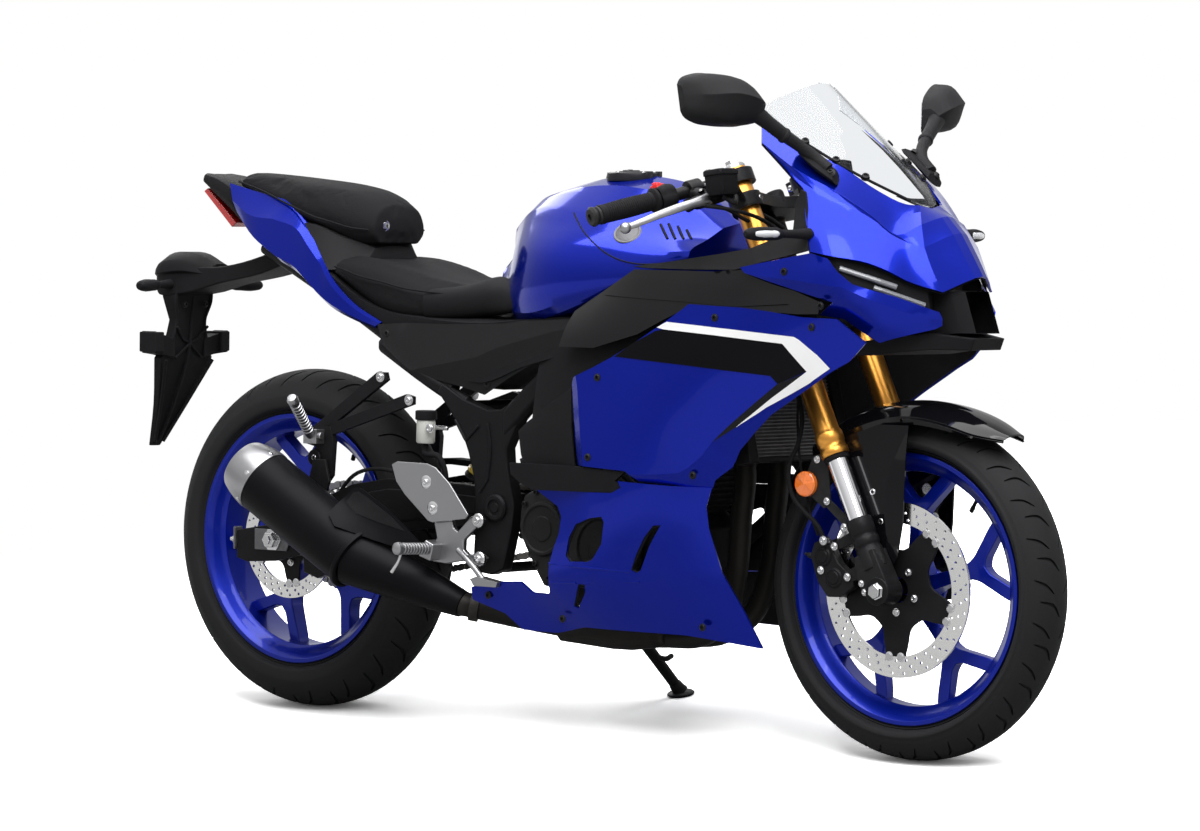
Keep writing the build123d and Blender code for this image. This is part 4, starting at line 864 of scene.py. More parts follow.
COWL = surface(
    (84, 224, 462), (160, 236, 462), (229, 237, 463), (298, 227, 458), (346, 208, 456), (388, 186, 457),
    (56, 220, 330), (120, 226, 340), (210, 230, 380), (285, 220, 396), (340, 204, 400), (379, 182, 400),
    (-40, 196, 266), (60, 212, 268), (160, 214, 290), (255, 200, 310), (338, 182, 312), (391, 162, 310),
    (-150, 186, 256), (-60, 182, 212), (60, 176, 196), (200, 170, 196), (328, 150, 188), (430, 134, 180))
INNER = surface(
    (55, 176, 752), (140, 188, 786), (221, 193, 832), (330, 198, 842), (452, 203, 836), (506, 196, 816),
    (60, 190, 738), (146, 202, 762), (240, 208, 792), (350, 212, 800), (460, 208, 812), (532, 202, 784),
    (-12, 204, 562), (110, 216, 640), (236, 224, 704), (330, 222, 748), (374, 216, 778), (484, 210, 772))

SIDE_PANEL = [(112, 627), (118, 638), (165, 657), (206, 676), (250, 700), (307, 733), (352, 761), (365, 770),
              (419, 768), (474, 766), (522, 761), (589, 752), (652, 750), (702, 711), (670, 679), (637, 662),
              (565, 618), (513, 585), (478, 554), (446, 523), (426, 493), (395, 470), (388, 456), (337, 458),
              (261, 464), (236, 481), (129, 487), (120, 540)]
SIDE_FOLD = [(237, 475), (291, 477), (340, 481), (358, 491), (383, 511), (405, 536), (451, 563), (497, 591),
             (565, 629), (637, 663), (672, 681)]
REAR_FOLD = [(126, 645), (131, 622), (134, 596), (141, 531), (148, 484)]
CHEVRON = [(301, 729), (321, 739), (455, 729), (573, 719), (582, 714), (613, 689), (634, 667), (594, 642),
           (511, 599), (451, 563), (522, 615), (591, 661), (551, 707), (425, 718), (315, 726)]
DARK_FIELD = [(298, 723), (315, 726), (425, 718), (551, 707), (591, 661), (535, 639), (523, 652), (374, 665),
              (212, 677), (249, 700)]
GREY_BAND = [(591, 660), (521, 614), (451, 563), (405, 536), (437, 564), (488, 604), (535, 639)]
LOWER_COWL = [(388, 457), (324, 458), (222, 463), (228, 452), (208, 442), (26, 439), (78, 413), (87, 396),
    (82, 366), (67, 338), (56, 311), (45, 262), (39, 255), (-1, 256), (-26, 274), (-77, 271), (-150, 258),
    (-153, 236), (-133, 230), (-81, 215), (-48, 187), (28, 186), (94, 200), (302, 197), (446, 181),
    (424, 239), (393, 310), (378, 386), (377, 424)]
COWL_HOLES = [[(123, 384), (156, 396), (184, 400), (189, 391), (179, 352), (156, 324), (144, 319),
    (105, 318), (97, 328), (106, 360)], [(286, 389), (300, 390), (272, 352), (246, 308), (237, 304),
    (229, 309), (243, 335), (265, 367)], [(117, 279), (130, 279), (125, 263), (98, 234), (90, 238),
    (101, 254)]]
COWL_RIDGES = [[(55, 312), (151, 309), (226, 306)], [(52, 279), (112, 281)], [(134, 282), (239, 289)]]
BEAK_OUTLINE = [(463, 834), (606, 860), (640, 851), (658, 829), (680, 809), (730, 790), (784, 763),
    (786, 753), (783, 741), (774, 735), (702, 711), (652, 750), (607, 756), (642, 778), (550, 804),
    (472, 825)]
BEAK_CREASE = [(468, 824), (513, 819), (588, 813), (667, 803), (717, 778), (743, 764), (780, 750)]
SLOT_PANEL = [(148, 783), (188, 802), (261, 813), (386, 802), (508, 782), (559, 773), (458, 767), (355, 773),
              (251, 777), (156, 781)]
UPPER_PANEL = [(82, 753), (219, 827), (406, 826), (457, 831), (623, 778), (623, 758), (579, 757), (365, 767),
               (306, 742), (250, 716), (150, 690), (60, 690)]
INNER_WALL = [(-20, 560), (112, 560), (128, 640), (206, 660), (300, 700), (365, 740), (600, 740),
    (620, 790), (457, 822), (219, 815), (60, 740), (-20, 660)]


def lined(name, outline, depth, folds, holes=()):
    """The bare black inside of a painted panel."""
    piece(name, panel(outline, depth, 0.6, holes=holes, folds=folds, lift=-4.4), "plastic_black")


def side_fairings():
    """The big side panels with their fold, the dark field and the white chevron that frames it."""
    surface_now = folded(folded(FAIRING, SIDE_FOLD, 0.45, (420, 480)), REAR_FOLD, 0.5, (100, 560))
    folds = [SIDE_FOLD, REAR_FOLD]
    made = panel(SIDE_PANEL, surface_now, 4.0, folds=folds, spacing=10.0)
    piece("side_fairing_panels", made, "panel_blue", replaces=("side_fairings",), bevel=1.0, sharp=18)
    lined("side_fairing_liners", SIDE_PANEL, surface_now, folds)
    for name, outline, lift, colour in (("dark_fields", DARK_FIELD, 0.9, "decal_black"),
            ("grey_bands", GREY_BAND, 1.0, "plastic_black"), ("chevrons", CHEVRON, 1.3, "stripe_white")):
        made = panel(outline, surface_now, 0.5, spacing=8.0, lift=lift)
        piece("side_fairing_" + name, made, colour)
    beak_now = folded(BEAK, BEAK_CREASE, 0.50, (600, 760))
    beak = panel(BEAK_OUTLINE, beak_now, 4.0, folds=[BEAK_CREASE], spacing=10.0)
    piece("nose_side_panels", beak, "panel_blue", bevel=1.0, sharp=12)
    lined("nose_side_liners", BEAK_OUTLINE, beak_now, [BEAK_CREASE])
    fixings = Form()
    for x, z, depth in ((176, 640, FAIRING), (420, 748, FAIRING), (606, 736, FAIRING), (158, 502, FAIRING),
            (366, 478, FAIRING), (556, 828, BEAK), (628, 772, BEAK), (346, 214, COWL), (-110, 246, COWL),
            (60, 214, COWL)):
        fixings.join(bolt((x, depth_at(depth, x, z) - 0.4, z), (0, 1, 0), 5.5, 2.6))
    piece("fairing_screws", fixings.both(), "caliper_black")


def lower_cowls():
    """The lower cowls with their three vents, each vent lipped, and two pressed ridges."""
    pressed = folded(COWL, [(430, 300), (240, 296), (52, 296), (-150, 262)], 0.14, (200, 200))
    fold = [(378, 300), (240, 297), (56, 296)]
    made = panel(LOWER_COWL, pressed, 4.0, holes=COWL_HOLES, folds=[fold])
    piece("lower_cowl_panels", made, "panel_blue", replaces=("lower_cowls",), bevel=1.0, sharp=16)
    lined("lower_cowl_liners", LOWER_COWL, pressed, [fold], COWL_HOLES)
    lips = Form()
    for hole in COWL_HOLES:
        line = [(x, depth_at(pressed, x, z) - 5.0, z) for x, z in hole + hole[:2]]
        lips.join(tube(line, 3.4, sides=8, steps=3, caps=False))
    piece("lower_cowl_vent_lips", lips.both(), "plastic_black")
    ridges = Form()
    for ridge in COWL_RIDGES:
        ridges.join(tube([(x, depth_at(pressed, x, z) - 1.0, z) for x, z in ridge], 2.4, sides=8))
    piece("lower_cowl_ridges", ridges.both(), "panel_blue")


def upper_panels():
    """The gloss black panels between tank and fairing, the dark walls sunk behind them and a raised strip."""
    piece("upper_side_panels", panel(UPPER_PANEL, INNER, 3.5), "gloss_black", replaces=("inner_panels",),
        bevel=0.9, sharp=20)
    behind = panel(INNER_WALL, lambda x, z: INNER(x, z) - 24, 3.0)
    piece("fairing_inner_walls", behind, "plastic_black")
    raised = panel(SLOT_PANEL, INNER, 3.0, lift=3.0)
    piece("upper_side_strips", raised, "gloss_black", bevel=1.2)


def wings():
    """The dark blades behind the side panels that carry the duct, and the strip under the seam."""
    rows = [[(-12, 203, 556), (50, 216, 590), (106, 226, 620)], [(-30, 205, 540), (50, 220, 548),
        (112, 232, 552)], [(-16, 214, 500), (50, 222, 492), (122, 234, 484)],
        [(0, 218, 470), (70, 224, 468), (124, 233, 472)]]
    form = shell(rows, 4.0, (100, 0, 520), row_folds=(1, 2)).both()
    piece("air_ducts", form, "plastic_black", replaces=("air_scoops",), bevel=1.2)
    strip = [(-17, 486), (123, 485), (233, 478), (213, 463), (228, 452), (208, 442), (34, 440), (5, 452),
        (-14, 466)]
    piece("duct_strips", panel(strip, FAIRING, 9.0, lift=-3.0), "plastic_black", bevel=1.2)


NOSE = [[(458, 150, 1078), (482, 181, 1045), (572, 183, 968), (590, 199, 915), (607, 209, 862)],
        [(530, 134, 1040), (555, 179, 999), (603, 170, 950), (622, 188, 905), (645, 198, 855)],
        [(600, 102, 1002), (613, 154, 966), (650, 136, 932), (669, 152, 888), (691, 162, 845)],
        [(652, 80, 966), (666, 126, 928), (692, 111, 903), (704, 124, 868), (716, 138, 832)],
        [(690, 52, 944), (709, 102, 892), (726, 90, 878), (733, 102, 848), (741, 114, 815)],
        [(702, 28, 942), (730, 62, 910), (748, 78, 872), (764, 78, 836), (783, 72, 797)],
        [(706, 0, 938), (740, 0, 924), (768, 0, 896), (793, 0, 858), (814, 0, 824)]]
SCREEN = [[(706, 0, 940), (700, 20, 944), (690, 34, 950)],
          [(640, 0, 1010), (632, 48, 1000), (612, 94, 998)],
          [(560, 0, 1080), (548, 64, 1066), (524, 122, 1050)],
          [(474, 0, 1152), (462, 62, 1138), (428, 114, 1108)]]


def whole(half):
    """Rows across the bike from rows that start at its middle."""
    return [[(x, -y, z) for x, y, z in reversed(row[1:])] + list(row) for row in half]


def nose():
    """The faceted nose cowl, the clear screen in its frame and the screws between them."""
    rows = NOSE + [[(x, -y, z) for x, y, z in row] for row in reversed(NOSE[:-1])]
    form = shell(rows, 4.0, (600, 0, 880), across=3, col_folds=(1, 2), row_folds=(5, 7))
    piece("nose_cowl_shell", form, "panel_blue", replaces=("nose_cowl",), bevel=1.0, sharp=9)
    inner = [[(x - 5, y - 5 * (y > 0) + 5 * (y < 0), z - 4) for x, y, z in row] for row in rows]
    form = shell(inner, 0.6, (600, 0, 880), across=3, col_folds=(1, 2), row_folds=(5, 7))
    piece("nose_cowl_liner", form, "plastic_black")
    form = shell(whole(SCREEN), 3.0, (500, 0, 980), along=8, across=8)
    piece("windscreen_clear", form, "screen_clear", replaces=("windscreen",), bevel=0.8)
    foot = [[(x - 2, y, z - 4) for x, y, z in SCREEN[0]],
        [(x + (a - x) * 0.26 - 2, y + (b - y) * 0.26, z + (c - z) * 0.26 - 5)
        for (x, y, z), (a, b, c) in zip(SCREEN[0], SCREEN[1])]]
    piece("screen_foot", shell(whole(foot), 1.0, (500, 0, 880), along=3, across=6), "plastic_black")
    edge = [row[-1] for row in SCREEN]
    bead = tube([(x - 2, y + 1, z - 1) for x, y, z in edge[:3]], 2.6, sides=8)
    screws = Form()
    for row, share in ((0, 0.8), (1, 0.35), (1, 0.95)):
        a, b = Vector(SCREEN[row][2]), Vector(SCREEN[row + 1][2])
        at = a.lerp(b, share) + Vector((2, 2, 2))
        screws.join(bolt(at - Vector((4, 3, 3)), (0.55, 0.5, 0.66), 6.5, 7.0))
    piece("screen_beads", bead.both(), "plastic_black")
    piece("screen_screws", screws.both(), "caliper_black")


def lamps():
    """The dark intake between slim twin lamps, and the chin below it."""
    core = loft([across((700, 60, 800), (700, 60, 722)), across((778, 52, 798), (800, 46, 728)),
        across((802, 34, 798), (826, 34, 728))], corners=SQUARE, folds=(1,), caps=False)
    piece("intake_duct", core, "plastic_black", replaces=("headlight_unit",), bevel=1.0)
    back = block((704, -56, 724), (712, 56, 798))
    for y in range(-45, 46, 15):
        back.join(block((712, y - 1, 724), (716, y + 1, 798)))
    for z in range(735, 796, 12):
        back.join(block((712, -56, z - 1), (716, 56, z + 1)))
    piece("intake_grille", back, "plastic_black")
    chin = loft([across((660, -150, 712), (652, -140, 688)), across((760, -78, 728), (760, -78, 700)),
        across((830, -44, 720), (822, -44, 700))], corners=SQUARE, folds=(1,))
    piece("nose_chin", chin, "plastic_black", bevel=2.0)
    housing = loft([[(602, 140, 866), (608, 198, 862), (628, 194, 812), (602, 140, 806)],
        [(640, 120, 862), (646, 186, 856), (662, 184, 808), (640, 120, 802)],
        [(686, 84, 846), (698, 136, 838), (714, 134, 782), (686, 84, 776)], [(744, 40, 822), (754, 80, 812),
        (764, 78, 760), (744, 40, 752)]], corners=SQUARE, folds=(1,))
    piece("headlight_housings", housing.both(), "plastic_black", bevel=1.2)
    strips = Form()
    for dz, start, end in ((-8, 0.06, 0.66), (-22, 0.42, 0.98)):
        outer = [(652, 191, 843), (709, 139, 819), (763, 83, 793)]
        line = spline(outer, 8)
        chosen = line[int(start * (len(line) - 1)):int(end * (len(line) - 1)) + 1]
        strips.join(tube([(x + 1, y - 3, z + dz) for x, y, z in chosen], [5.0] * len(chosen), sides=10,
            steps=2))
    piece("headlight_strips", strips.both(), "lamp_strip")


TANK = [(-208, (34, 786), (42, 806), (9, 846), (6, 880), (3, 893)),
        (-186, (56, 756), (64, 784), (36, 846), (26, 893), (9, 912)),
        (-150, (78, 738), (92, 762), (80, 846), (56, 908), (22, 932)),
        (-100, (98, 722), (128, 734), (128, 846), (88, 926), (52, 950)),
        (-40, (116, 724), (152, 732), (168, 846), (114, 930), (70, 962)),
        (40, (128, 742), (172, 750), (190, 850), (130, 923), (72, 972)),
        (130, (128, 772), (176, 780), (184, 848), (130, 918), (76, 968)),
        (216, (120, 800), (166, 806), (168, 842), (112, 906), (66, 950)),
        (296, (86, 822), (136, 832), (142, 850), (84, 882), (44, 900))]
TANK_TOP = {-208: 894, -186: 914, -150: 938, -100: 960, -40: 978, 40: 990, 130: 987, 216: 967, 296: 908}
TANK_SEAM = [(29, 923), (57, 904), (81, 889), (114, 870), (139, 856), (168, 844), (209, 836), (258, 838)]
TANK_SLOTS = [((212, 905), (240, 880)), ((224, 906), (252, 880)), ((240, 902), (264, 880)),
    ((256, 896), (275, 880))]
ROUNDEL = (165, 890)


def laid(form, line, lift=0.0):
    """Points on the right side of a form below a line of (x, z) points, with the way out there."""
    tree = BVHTree.FromPolygons([tuple(p) for p in form.points], form.faces)
    found = []
    for x, z in line:
        at, way, _, _ = tree.ray_cast(Vector((x, 500, z)), Vector((0, -1, 0)))
        way = way if way.y > 0 else -way
        found.append((at + way * lift, way))
    return found


def tank():
    """The fuel tank, its filler ring with the hinge, and the lid."""
    form = loft([ring(x, *half, (0, TANK_TOP[x])) for x, *half in TANK], along=5, around=5,
        corners=(0, 3, 4, 7, 8, 11))
    piece("tank_shell", form, "tank_blue", replaces=("fuel_tank",), sharp=24)
    seam = tube([tuple(at) for at, _ in laid(form, TANK_SEAM, 0.2)], 1.3, sides=8)
    piece("tank_seams", seam.both(), "plastic_black")
    slots = Form()
    for start, end in TANK_SLOTS:
        (a, _), (b, _) = laid(form, (start, end), -0.6)
        slots.join(tube([a, a.lerp(b, 0.5), b], 2.6, sides=10))
    piece("tank_slots", slots.both(), "plastic_black")
    (at, way), = laid(form, [ROUNDEL], -3.0)
    badge = turned([(0, 4), (19, 4), (20, 3.4), (21, 4.2), (24, 4.2), (25.5, 3), (25.5, 0)], at, at + way, 48)
    piece("tank_roundels", badge.both(), "cast_grey")
    x, low = 60.0, 988.0
    filler = facing([(39, -8), (48, -8), (50, -2), (48, 6), (45, 8), (41, 8), (39.5, 6)], (x, 0, low),
        (0, 0, 1), 64)
    piece("filler_ring", filler, "lid_black", bevel=0.4)
    hinge_x = x + 44
    ears = Form()
    for side in (1, -1):
        ears.join(block((hinge_x - 4, side * 13 - 3.5, low - 6), (hinge_x + 6, side * 13 + 3.5, low + 10)))
    ears.join(bar((hinge_x, -15, low + 6), (hinge_x, 15, low + 6), 2.5, 0.4))
    piece("filler_hinge", ears, "lid_black", bevel=0.8)
    spots = [(x + 45 * cos(radians(a)), 45 * sin(radians(a)), low + 6.6) for a in range(30, 360, 60)]
    piece("filler_screws", bolts(spots, (0, 0, 1), 2.6, 2.4), "steel")
    lid = facing([(0, 1), (32, 1), (34, 2.5), (34, 8), (32.5, 10), (16, 10), (15, 9), (0, 9)], (x, 0, low),
        (0, 0, 1), 64)
    lid.join(block((x + 28, -8, low + 1), (hinge_x - 5.5, 8, low + 8)))
    lid.join(block((x - 22, -6, low + 9), (x + 8, 6, low + 12)))
    piece("fuel_lid_cap", lid, "lid_black", "fuel_lid", replaces=("fuel_lid",), bevel=0.6)
    lock = facing([(0, 0), (7, 0), (7, 2), (6, 2.6), (0, 2.6)], (x - 12, 0, low + 11), (0, 0, 1), 24)
    piece("fuel_lid_lock", lock, "steel", "fuel_lid")


RIDER_SEAT = [(-548, (90, 802), (124, 820), (118, 832), (40, 836)), (-470, (104, 748), (135, 803),
    (122, 825), (40, 830)), (-400, (112, 718), (138, 790), (124, 810), (40, 814)),
    (-340, (110, 718), (132, 779), (116, 795), (38, 800)), (-280, (100, 720), (118, 773), (98, 786),
    (34, 790)), (-228, (84, 728), (102, 772), (82, 782), (26, 786)), (-212, (62, 750), (84, 768), (68, 776),
    (22, 780))]
SEAT_HORNS = [(-320, (84, 730), (122, 730), (128, 772), (96, 784)), (-250, (74, 734), (112, 734),
    (116, 776), (84, 792)), (-190, (78, 740), (108, 740), (112, 780), (70, 808)),
    (-140, (92, 748), (124, 744), (122, 784), (96, 800)), (-96, (118, 756), (139, 752), (136, 776),
    (118, 784)), (-80, (128, 762), (142, 760), (140, 770), (128, 774))]
BRIDGE = [(-660, (60, 862), (112, 866), (98, 902), (40, 908)), (-600, (60, 826), (124, 838), (102, 894),
    (40, 899)), (-556, (60, 800), (124, 814), (92, 876), (40, 882)), (-520, (50, 800), (88, 828), (66, 862),
    (30, 868)), (-505, (40, 826), (66, 838), (52, 854), (24, 858))]
PASSENGER_SEAT = [(-846, (38, 966), (58, 976), (40, 990), (14, 992)), (-700, (66, 918), (92, 938),
    (66, 972), (24, 980)), (-612, (78, 890), (106, 912), (84, 958), (30, 970)), (-532, (72, 866), (92, 892),
    (74, 940), (28, 952)), (-490, (54, 866), (72, 886), (56, 924), (22, 934))]
SEAT_PIPING = [(-537, 127, 821), (-510, 131, 815), (-476, 135, 806), (-415, 136, 795), (-367, 134, 785),
               (-319, 127, 779), (-282, 117, 776), (-229, 103, 774)]
PILLION_PIPING = [(-840, 60, 975), (-760, 79, 957), (-700, 93, 939), (-650, 102, 924), (-612, 106, 912),
    (-570, 102, 902), (-532, 92, 892), (-500, 77, 888)]
FOAM_CELL, FOAM_PRESSURE, FOAM_STEPS, FOAM_RISE = 0.005, 4.0, 20, 0.005


def swollen(cushion, cap):
    """Lets a cushion's foam swell inside its cover by no more than the cap; its foot stays."""
    scene = bpy.context.scene
    voxels = cushion.modifiers.new("voxels", "REMESH")
    voxels.mode, voxels.voxel_size = "VOXEL", FOAM_CELL
    mesh = bpy.data.meshes.new_from_object(cushion.evaluated_get(bpy.context.evaluated_depsgraph_get()))
    cushion.modifiers.clear()
    foam = bpy.data.objects.new("foam", mesh.copy())
    scene.collection.objects.link(foam)
    cloth = foam.modifiers.new("cloth", "CLOTH")
    cloth.settings.use_pressure = True
    cloth.settings.uniform_pressure_force = FOAM_PRESSURE
    cloth.settings.effector_weights.gravity = 0.0
    for step in range(1, FOAM_STEPS + 1):
        scene.frame_set(step)
    swelled = foam.evaluated_get(bpy.context.evaluated_depsgraph_get()).to_mesh()
    start, end = (np.array([v.co for v in m.vertices]) for m in (mesh, swelled))
    facing = np.array([v.normal for v in mesh.vertices])
    move = end - start
    length = np.linalg.norm(move, axis=1, keepdims=True) + 1e-9
    move *= np.minimum(1.0, cap / length) * np.clip(facing[:, 2:] * 2 + 1, 0, 1)
    mesh.vertices.foreach_set("co", (start + move).ravel())
    scene.frame_set(1)
    bpy.data.objects.remove(foam)
    for polygon in mesh.polygons:
        polygon.use_smooth = True
    mesh.materials.clear()
    mesh.materials.append(cushion.data.materials[0])
    cushion.data = mesh
    smooth = cushion.modifiers.new("smooth", "SUBSURF")
    smooth.levels = smooth.render_levels = 1


def seats():
    """Both seats as padded pieces with their piping, the lock and the cover between them."""
    for name, table, fill, piping in (("rider_seat", RIDER_SEAT, 0.8, SEAT_PIPING),
            ("passenger_seat", PASSENGER_SEAT, 0.85, PILLION_PIPING)):
        form = loft([ring(x, *[(y - 3, z - 3) for y, z in half]) for x, *half in table], along=5, around=5,
            corners=(0, 7))
        made = piece(name + "_cushion", form, "seat_black", replaces=(name,), sharp=60)
        swollen(made, FOAM_RISE)
        piece(name + "_piping", tube(piping, 1.8, sides=8).both(), "seat_black")
    horns = loft([[(x, y, z) for y, z in around] for x, *around in SEAT_HORNS], along=5, around=5)
    piece("rider_seat_horns", horns.both(), "seat_black", sharp=60)
    bridge = loft([ring(x, *half) for x, *half in BRIDGE], corners=(1, 2, 5, 6))
    piece("seat_bridge", bridge, "cover_grey", sharp=30, bevel=1.0)
    lock = turned([(0, 5), (6, 5), (7, 3.5), (10, 3.5), (12, 0), (12, -14), (0, -14)], (-492, -43, 896),
        (-482, -46, 896), 32)
    lock.join(block((-486, -44.2, 892), (-480, -42.4, 900)))
    piece("seat_lock", lock, "steel", bevel=0.4)


def tail():
    """The swept tail panels and the red lamp."""
    rows = [[(-858, 66, 972), (-756, 78, 952), (-682, 84, 939), (-640, 94, 906), (-602, 112, 869),
        (-562, 127, 826), (-545, 131, 806), (-484, 133, 755), (-415, 134, 722)],
        [(-840, 78, 940), (-774, 99, 912), (-708, 109, 906), (-640, 118, 888), (-606, 125, 858),
        (-568, 130, 822), (-550, 134, 798), (-490, 135, 750), (-420, 136, 719)],
        [(-826, 80, 918), (-760, 106, 872), (-694, 117, 838), (-640, 124, 818), (-611, 128, 798),
        (-579, 131, 774), (-553, 133, 758), (-484, 134, 730), (-430, 135, 714)],
        [(-812, 70, 906), (-750, 96, 860), (-688, 107, 828), (-636, 114, 806), (-608, 118, 788),
        (-576, 121, 764), (-550, 123, 748), (-482, 126, 722), (-432, 128, 708)]]
    form = shell(rows, 4.0, (-600, 0, 850), row_folds=(1, 2), col_folds=(2, 5)).both()
    piece("tail_side_panels", form, "panel_blue", replaces=("tail_panels",), bevel=1.0, sharp=16)
    lamp = loft([across((-954, 36, 957), (-944, 36, 963)), across((-872, 46, 890), (-860, 46, 898))],
        corners=SQUARE)
    piece("tail_lamp_lens", lamp, "lamp_red", replaces=("tail_light",), bevel=2.0)


COVER = surface((-418, 136, 712), (-350, 140, 713), (-289, 145, 712), (-249, 149, 700), (-180, 155, 700),
    (-141, 156, 712), (-58, 167, 724), (23, 172, 729), (84, 178, 733), (118, 184, 733), (107, 186, 689),
    (28, 183, 670), (-27, 178, 660), (-100, 172, 629), (-161, 166, 598), (-208, 162, 610), (-323, 148, 631),
    (-364, 144, 653), (-407, 140, 681), ease=3000.0)
COVER_OUTLINE = [(-424, 718), (-350, 722), (-289, 722), (-249, 722), (-100, 726), (-58, 732), (23, 736),
    (84, 738), (118, 738), (128, 728), (107, 689), (28, 670), (-27, 660), (-100, 629), (-161, 598),
    (-208, 610), (-323, 631), (-364, 653), (-407, 681)]
COVER_FOLD = [(-340, 636), (-169, 665), (-114, 684), (27, 716), (124, 732)]
TRAY = [(-640, (80, 812), (116, 822), (112, 866), (60, 870)), (-560, (80, 756), (124, 768), (124, 812),
    (60, 816)), (-440, (90, 700), (130, 708), (130, 750), (60, 756)), (-300, (90, 640), (138, 650),
    (136, 730), (60, 740)), (-160, (90, 606), (152, 620), (146, 726), (60, 740)),
    (-60, (90, 640), (162, 650), (156, 734), (60, 744)), (60, (90, 676), (176, 680), (168, 740), (60, 748)),
    (112, (90, 694), (180, 698), (174, 736), (60, 744))]


def side_covers():
    """The covers under the rider's seat with their folded face, and the tray that they hang on."""
    shaped = folded(COVER, COVER_FOLD, 0.35, (100, 640))
    made = panel(COVER_OUTLINE, shaped, 4.0, folds=[COVER_FOLD], spacing=10.0)
    piece("seat_side_covers", made, "cover_grey", replaces=("side_covers",), bevel=1.2, sharp=16)
    tray = loft([ring(x, *half) for x, *half in TRAY], corners=(0, 1, 2, 5, 6, 7))
    piece("seat_tray", tray, "plastic_black", sharp=30)
    screws = bolts([(x, depth_at(shaped, x, z) - 0.4, z) for x, z in ((112, 716), (-398, 702),
        (-150, 618))], (0, 1, 0), 5.5, 2.6)
    piece("side_cover_screws", screws.both(), "caliper_black")


def bodywork():
    """Everything painted, padded or clear between the wheels."""
    side_fairings()
    lower_cowls()
    upper_panels()
    wings()
    nose()
    lamps()
    tank()
    seats()
    tail()
    side_covers()


bodywork()


# ---------------------------------------------------------------- frame, engine and running gear
PIVOT = (-124.0, 399.0)
MUFFLER_BACK = (-668.0, -226.0, 458.0)
MUFFLER_NECK = (-420.0, -196.0, 300.0)
MUFFLER_FRONT = (-205.0, -142.0, 222.0)
MUFFLER_RADIUS = 58.0
CHAIN_PITCH = 15.875
# half a link plate's outline: how far along the pitch, and half its height there
LINK = [(-0.40, 0), (-0.30, 4.6), (0.0, 6.4), (0.32, 5.2), (0.5, 4.4), (0.68, 5.2), (1.0, 6.4), (1.3, 4.6),
    (1.4, 0)]


def along(a, b, share):
    """A point part of the way from a to b."""
    return tuple(p + (q - p) * share for p, q in zip(a, b))


def beam(*sections):
    """A bar through sections (x, (y low, y high), (z low, z high)), with rounded corners."""
    rings = []
    for x, (y0, y1), (z0, z1) in sections:
        r = 0.28 * min(y1 - y0, z1 - z0)
        rings.append([(x, y0 + r, z0), (x, y1 - r, z0), (x, y1, z0 + r), (x, y1, z1 - r), (x, y1 - r, z1),
            (x, y0 + r, z1), (x, y0, z1 - r), (x, y0, z0 + r)])
    return loft(rings, around=1, corners=range(8))


FRAME_PLATE = [(-268, 602), (-241, 572), (-211, 536), (-193, 495), (-178, 446), (-174, 384), (-179, 303),
    (-164, 282), (-137, 279), (-109, 289), (-100, 321), (-89, 366), (-84, 406), (-100, 470), (-103, 505),
    (-72, 562), (-60, 606), (-118, 574), (-147, 572), (-206, 590), (-255, 616)]


def main_frame():
    """The twin spars, the cast pivot plates with their ribs and caps, the struts behind and the head tube."""
    made = beam((-110, (122, 152), (520, 578)), (0, (128, 158), (612, 664)), (91, (120, 150), (668, 718)),
        (180, (96, 124), (734, 786)), (404, (4, 34), (775, 835)))
    made.join(slab(FRAME_PLATE, 122, 150))
    made.join(beam((-200, (124, 148), (560, 594)), (-300, (124, 148), (608, 636)),
        (-420, (116, 138), (668, 694))))
    piece("frame_castings", made.both(), "frame_grey", replaces=("main_frame",), bevel=4.0, segments=3)
    ribs = Form()
    for line in ([(-222, 552), (-197, 516), (-166, 544)], [(-163, 425), (-145, 448), (-139, 503),
            (-146, 548)]):
        ribs.join(tube([(x, 150.5, z) for x, z in line], 3.0, sides=8, breaks=(1,)))
    cap = turned([(0, 0), (24, 0), (24, 5), (21, 9), (15, 9), (14, 6), (9, 6), (8, 8), (0, 8)],
        (PIVOT[0], 149, PIVOT[1]), (PIVOT[0], 150, PIVOT[1]), 40)
    ribs.join(cap)
    piece("frame_ribs", ribs.both(), "frame_grey", bevel=0.6)
    cross = Form()
    for x, z, r in ((-140, 290, 9), (-215, 572, 14), (PIVOT[0], PIVOT[1], 9.5)):
        cross.join(bar((x, -126, z), (x, 126, z), r))
    piece("frame_cross_tubes", cross, "frame_grey")
    head = turned([(15, 508), (29, 508), (30, 512), (27, 520), (26, 600), (27, 690), (30, 694), (29, 698),
        (15, 698)], (0, 0, 0), (0, 0, 1), 48)
    piece("head_tube", Form().join(head, FORK @ Matrix.Translation((-STEM_OFFSET, 0, 0))), "frame_grey",
        bevel=0.8)
    rails = Form()
    for side in (1, -1):
        rails.join(tube([(-240, side * 132, 606), (-500, side * 105, 738), (-780, side * 48, 852)],
            12.5, sides=16))
    for x, z, half in ((-480, 730, 104), (-760, 846, 46)):
        rails.join(bar((x, -half, z), (x, half, z), 9))
    piece("seat_rails", rails, "frame_grey", replaces=("rear_subframe",))


CLUTCH_COVER = [(-78, 397), (-70, 424), (-47, 434), (-30, 441), (-14, 440), (11, 414), (23, 401), (60, 402),
    (120, 416), (160, 400), (184, 360), (180, 310), (150, 272), (90, 262), (30, 270), (-3, 268), (-22, 263),
    (-45, 297), (-69, 336), (-81, 366)]


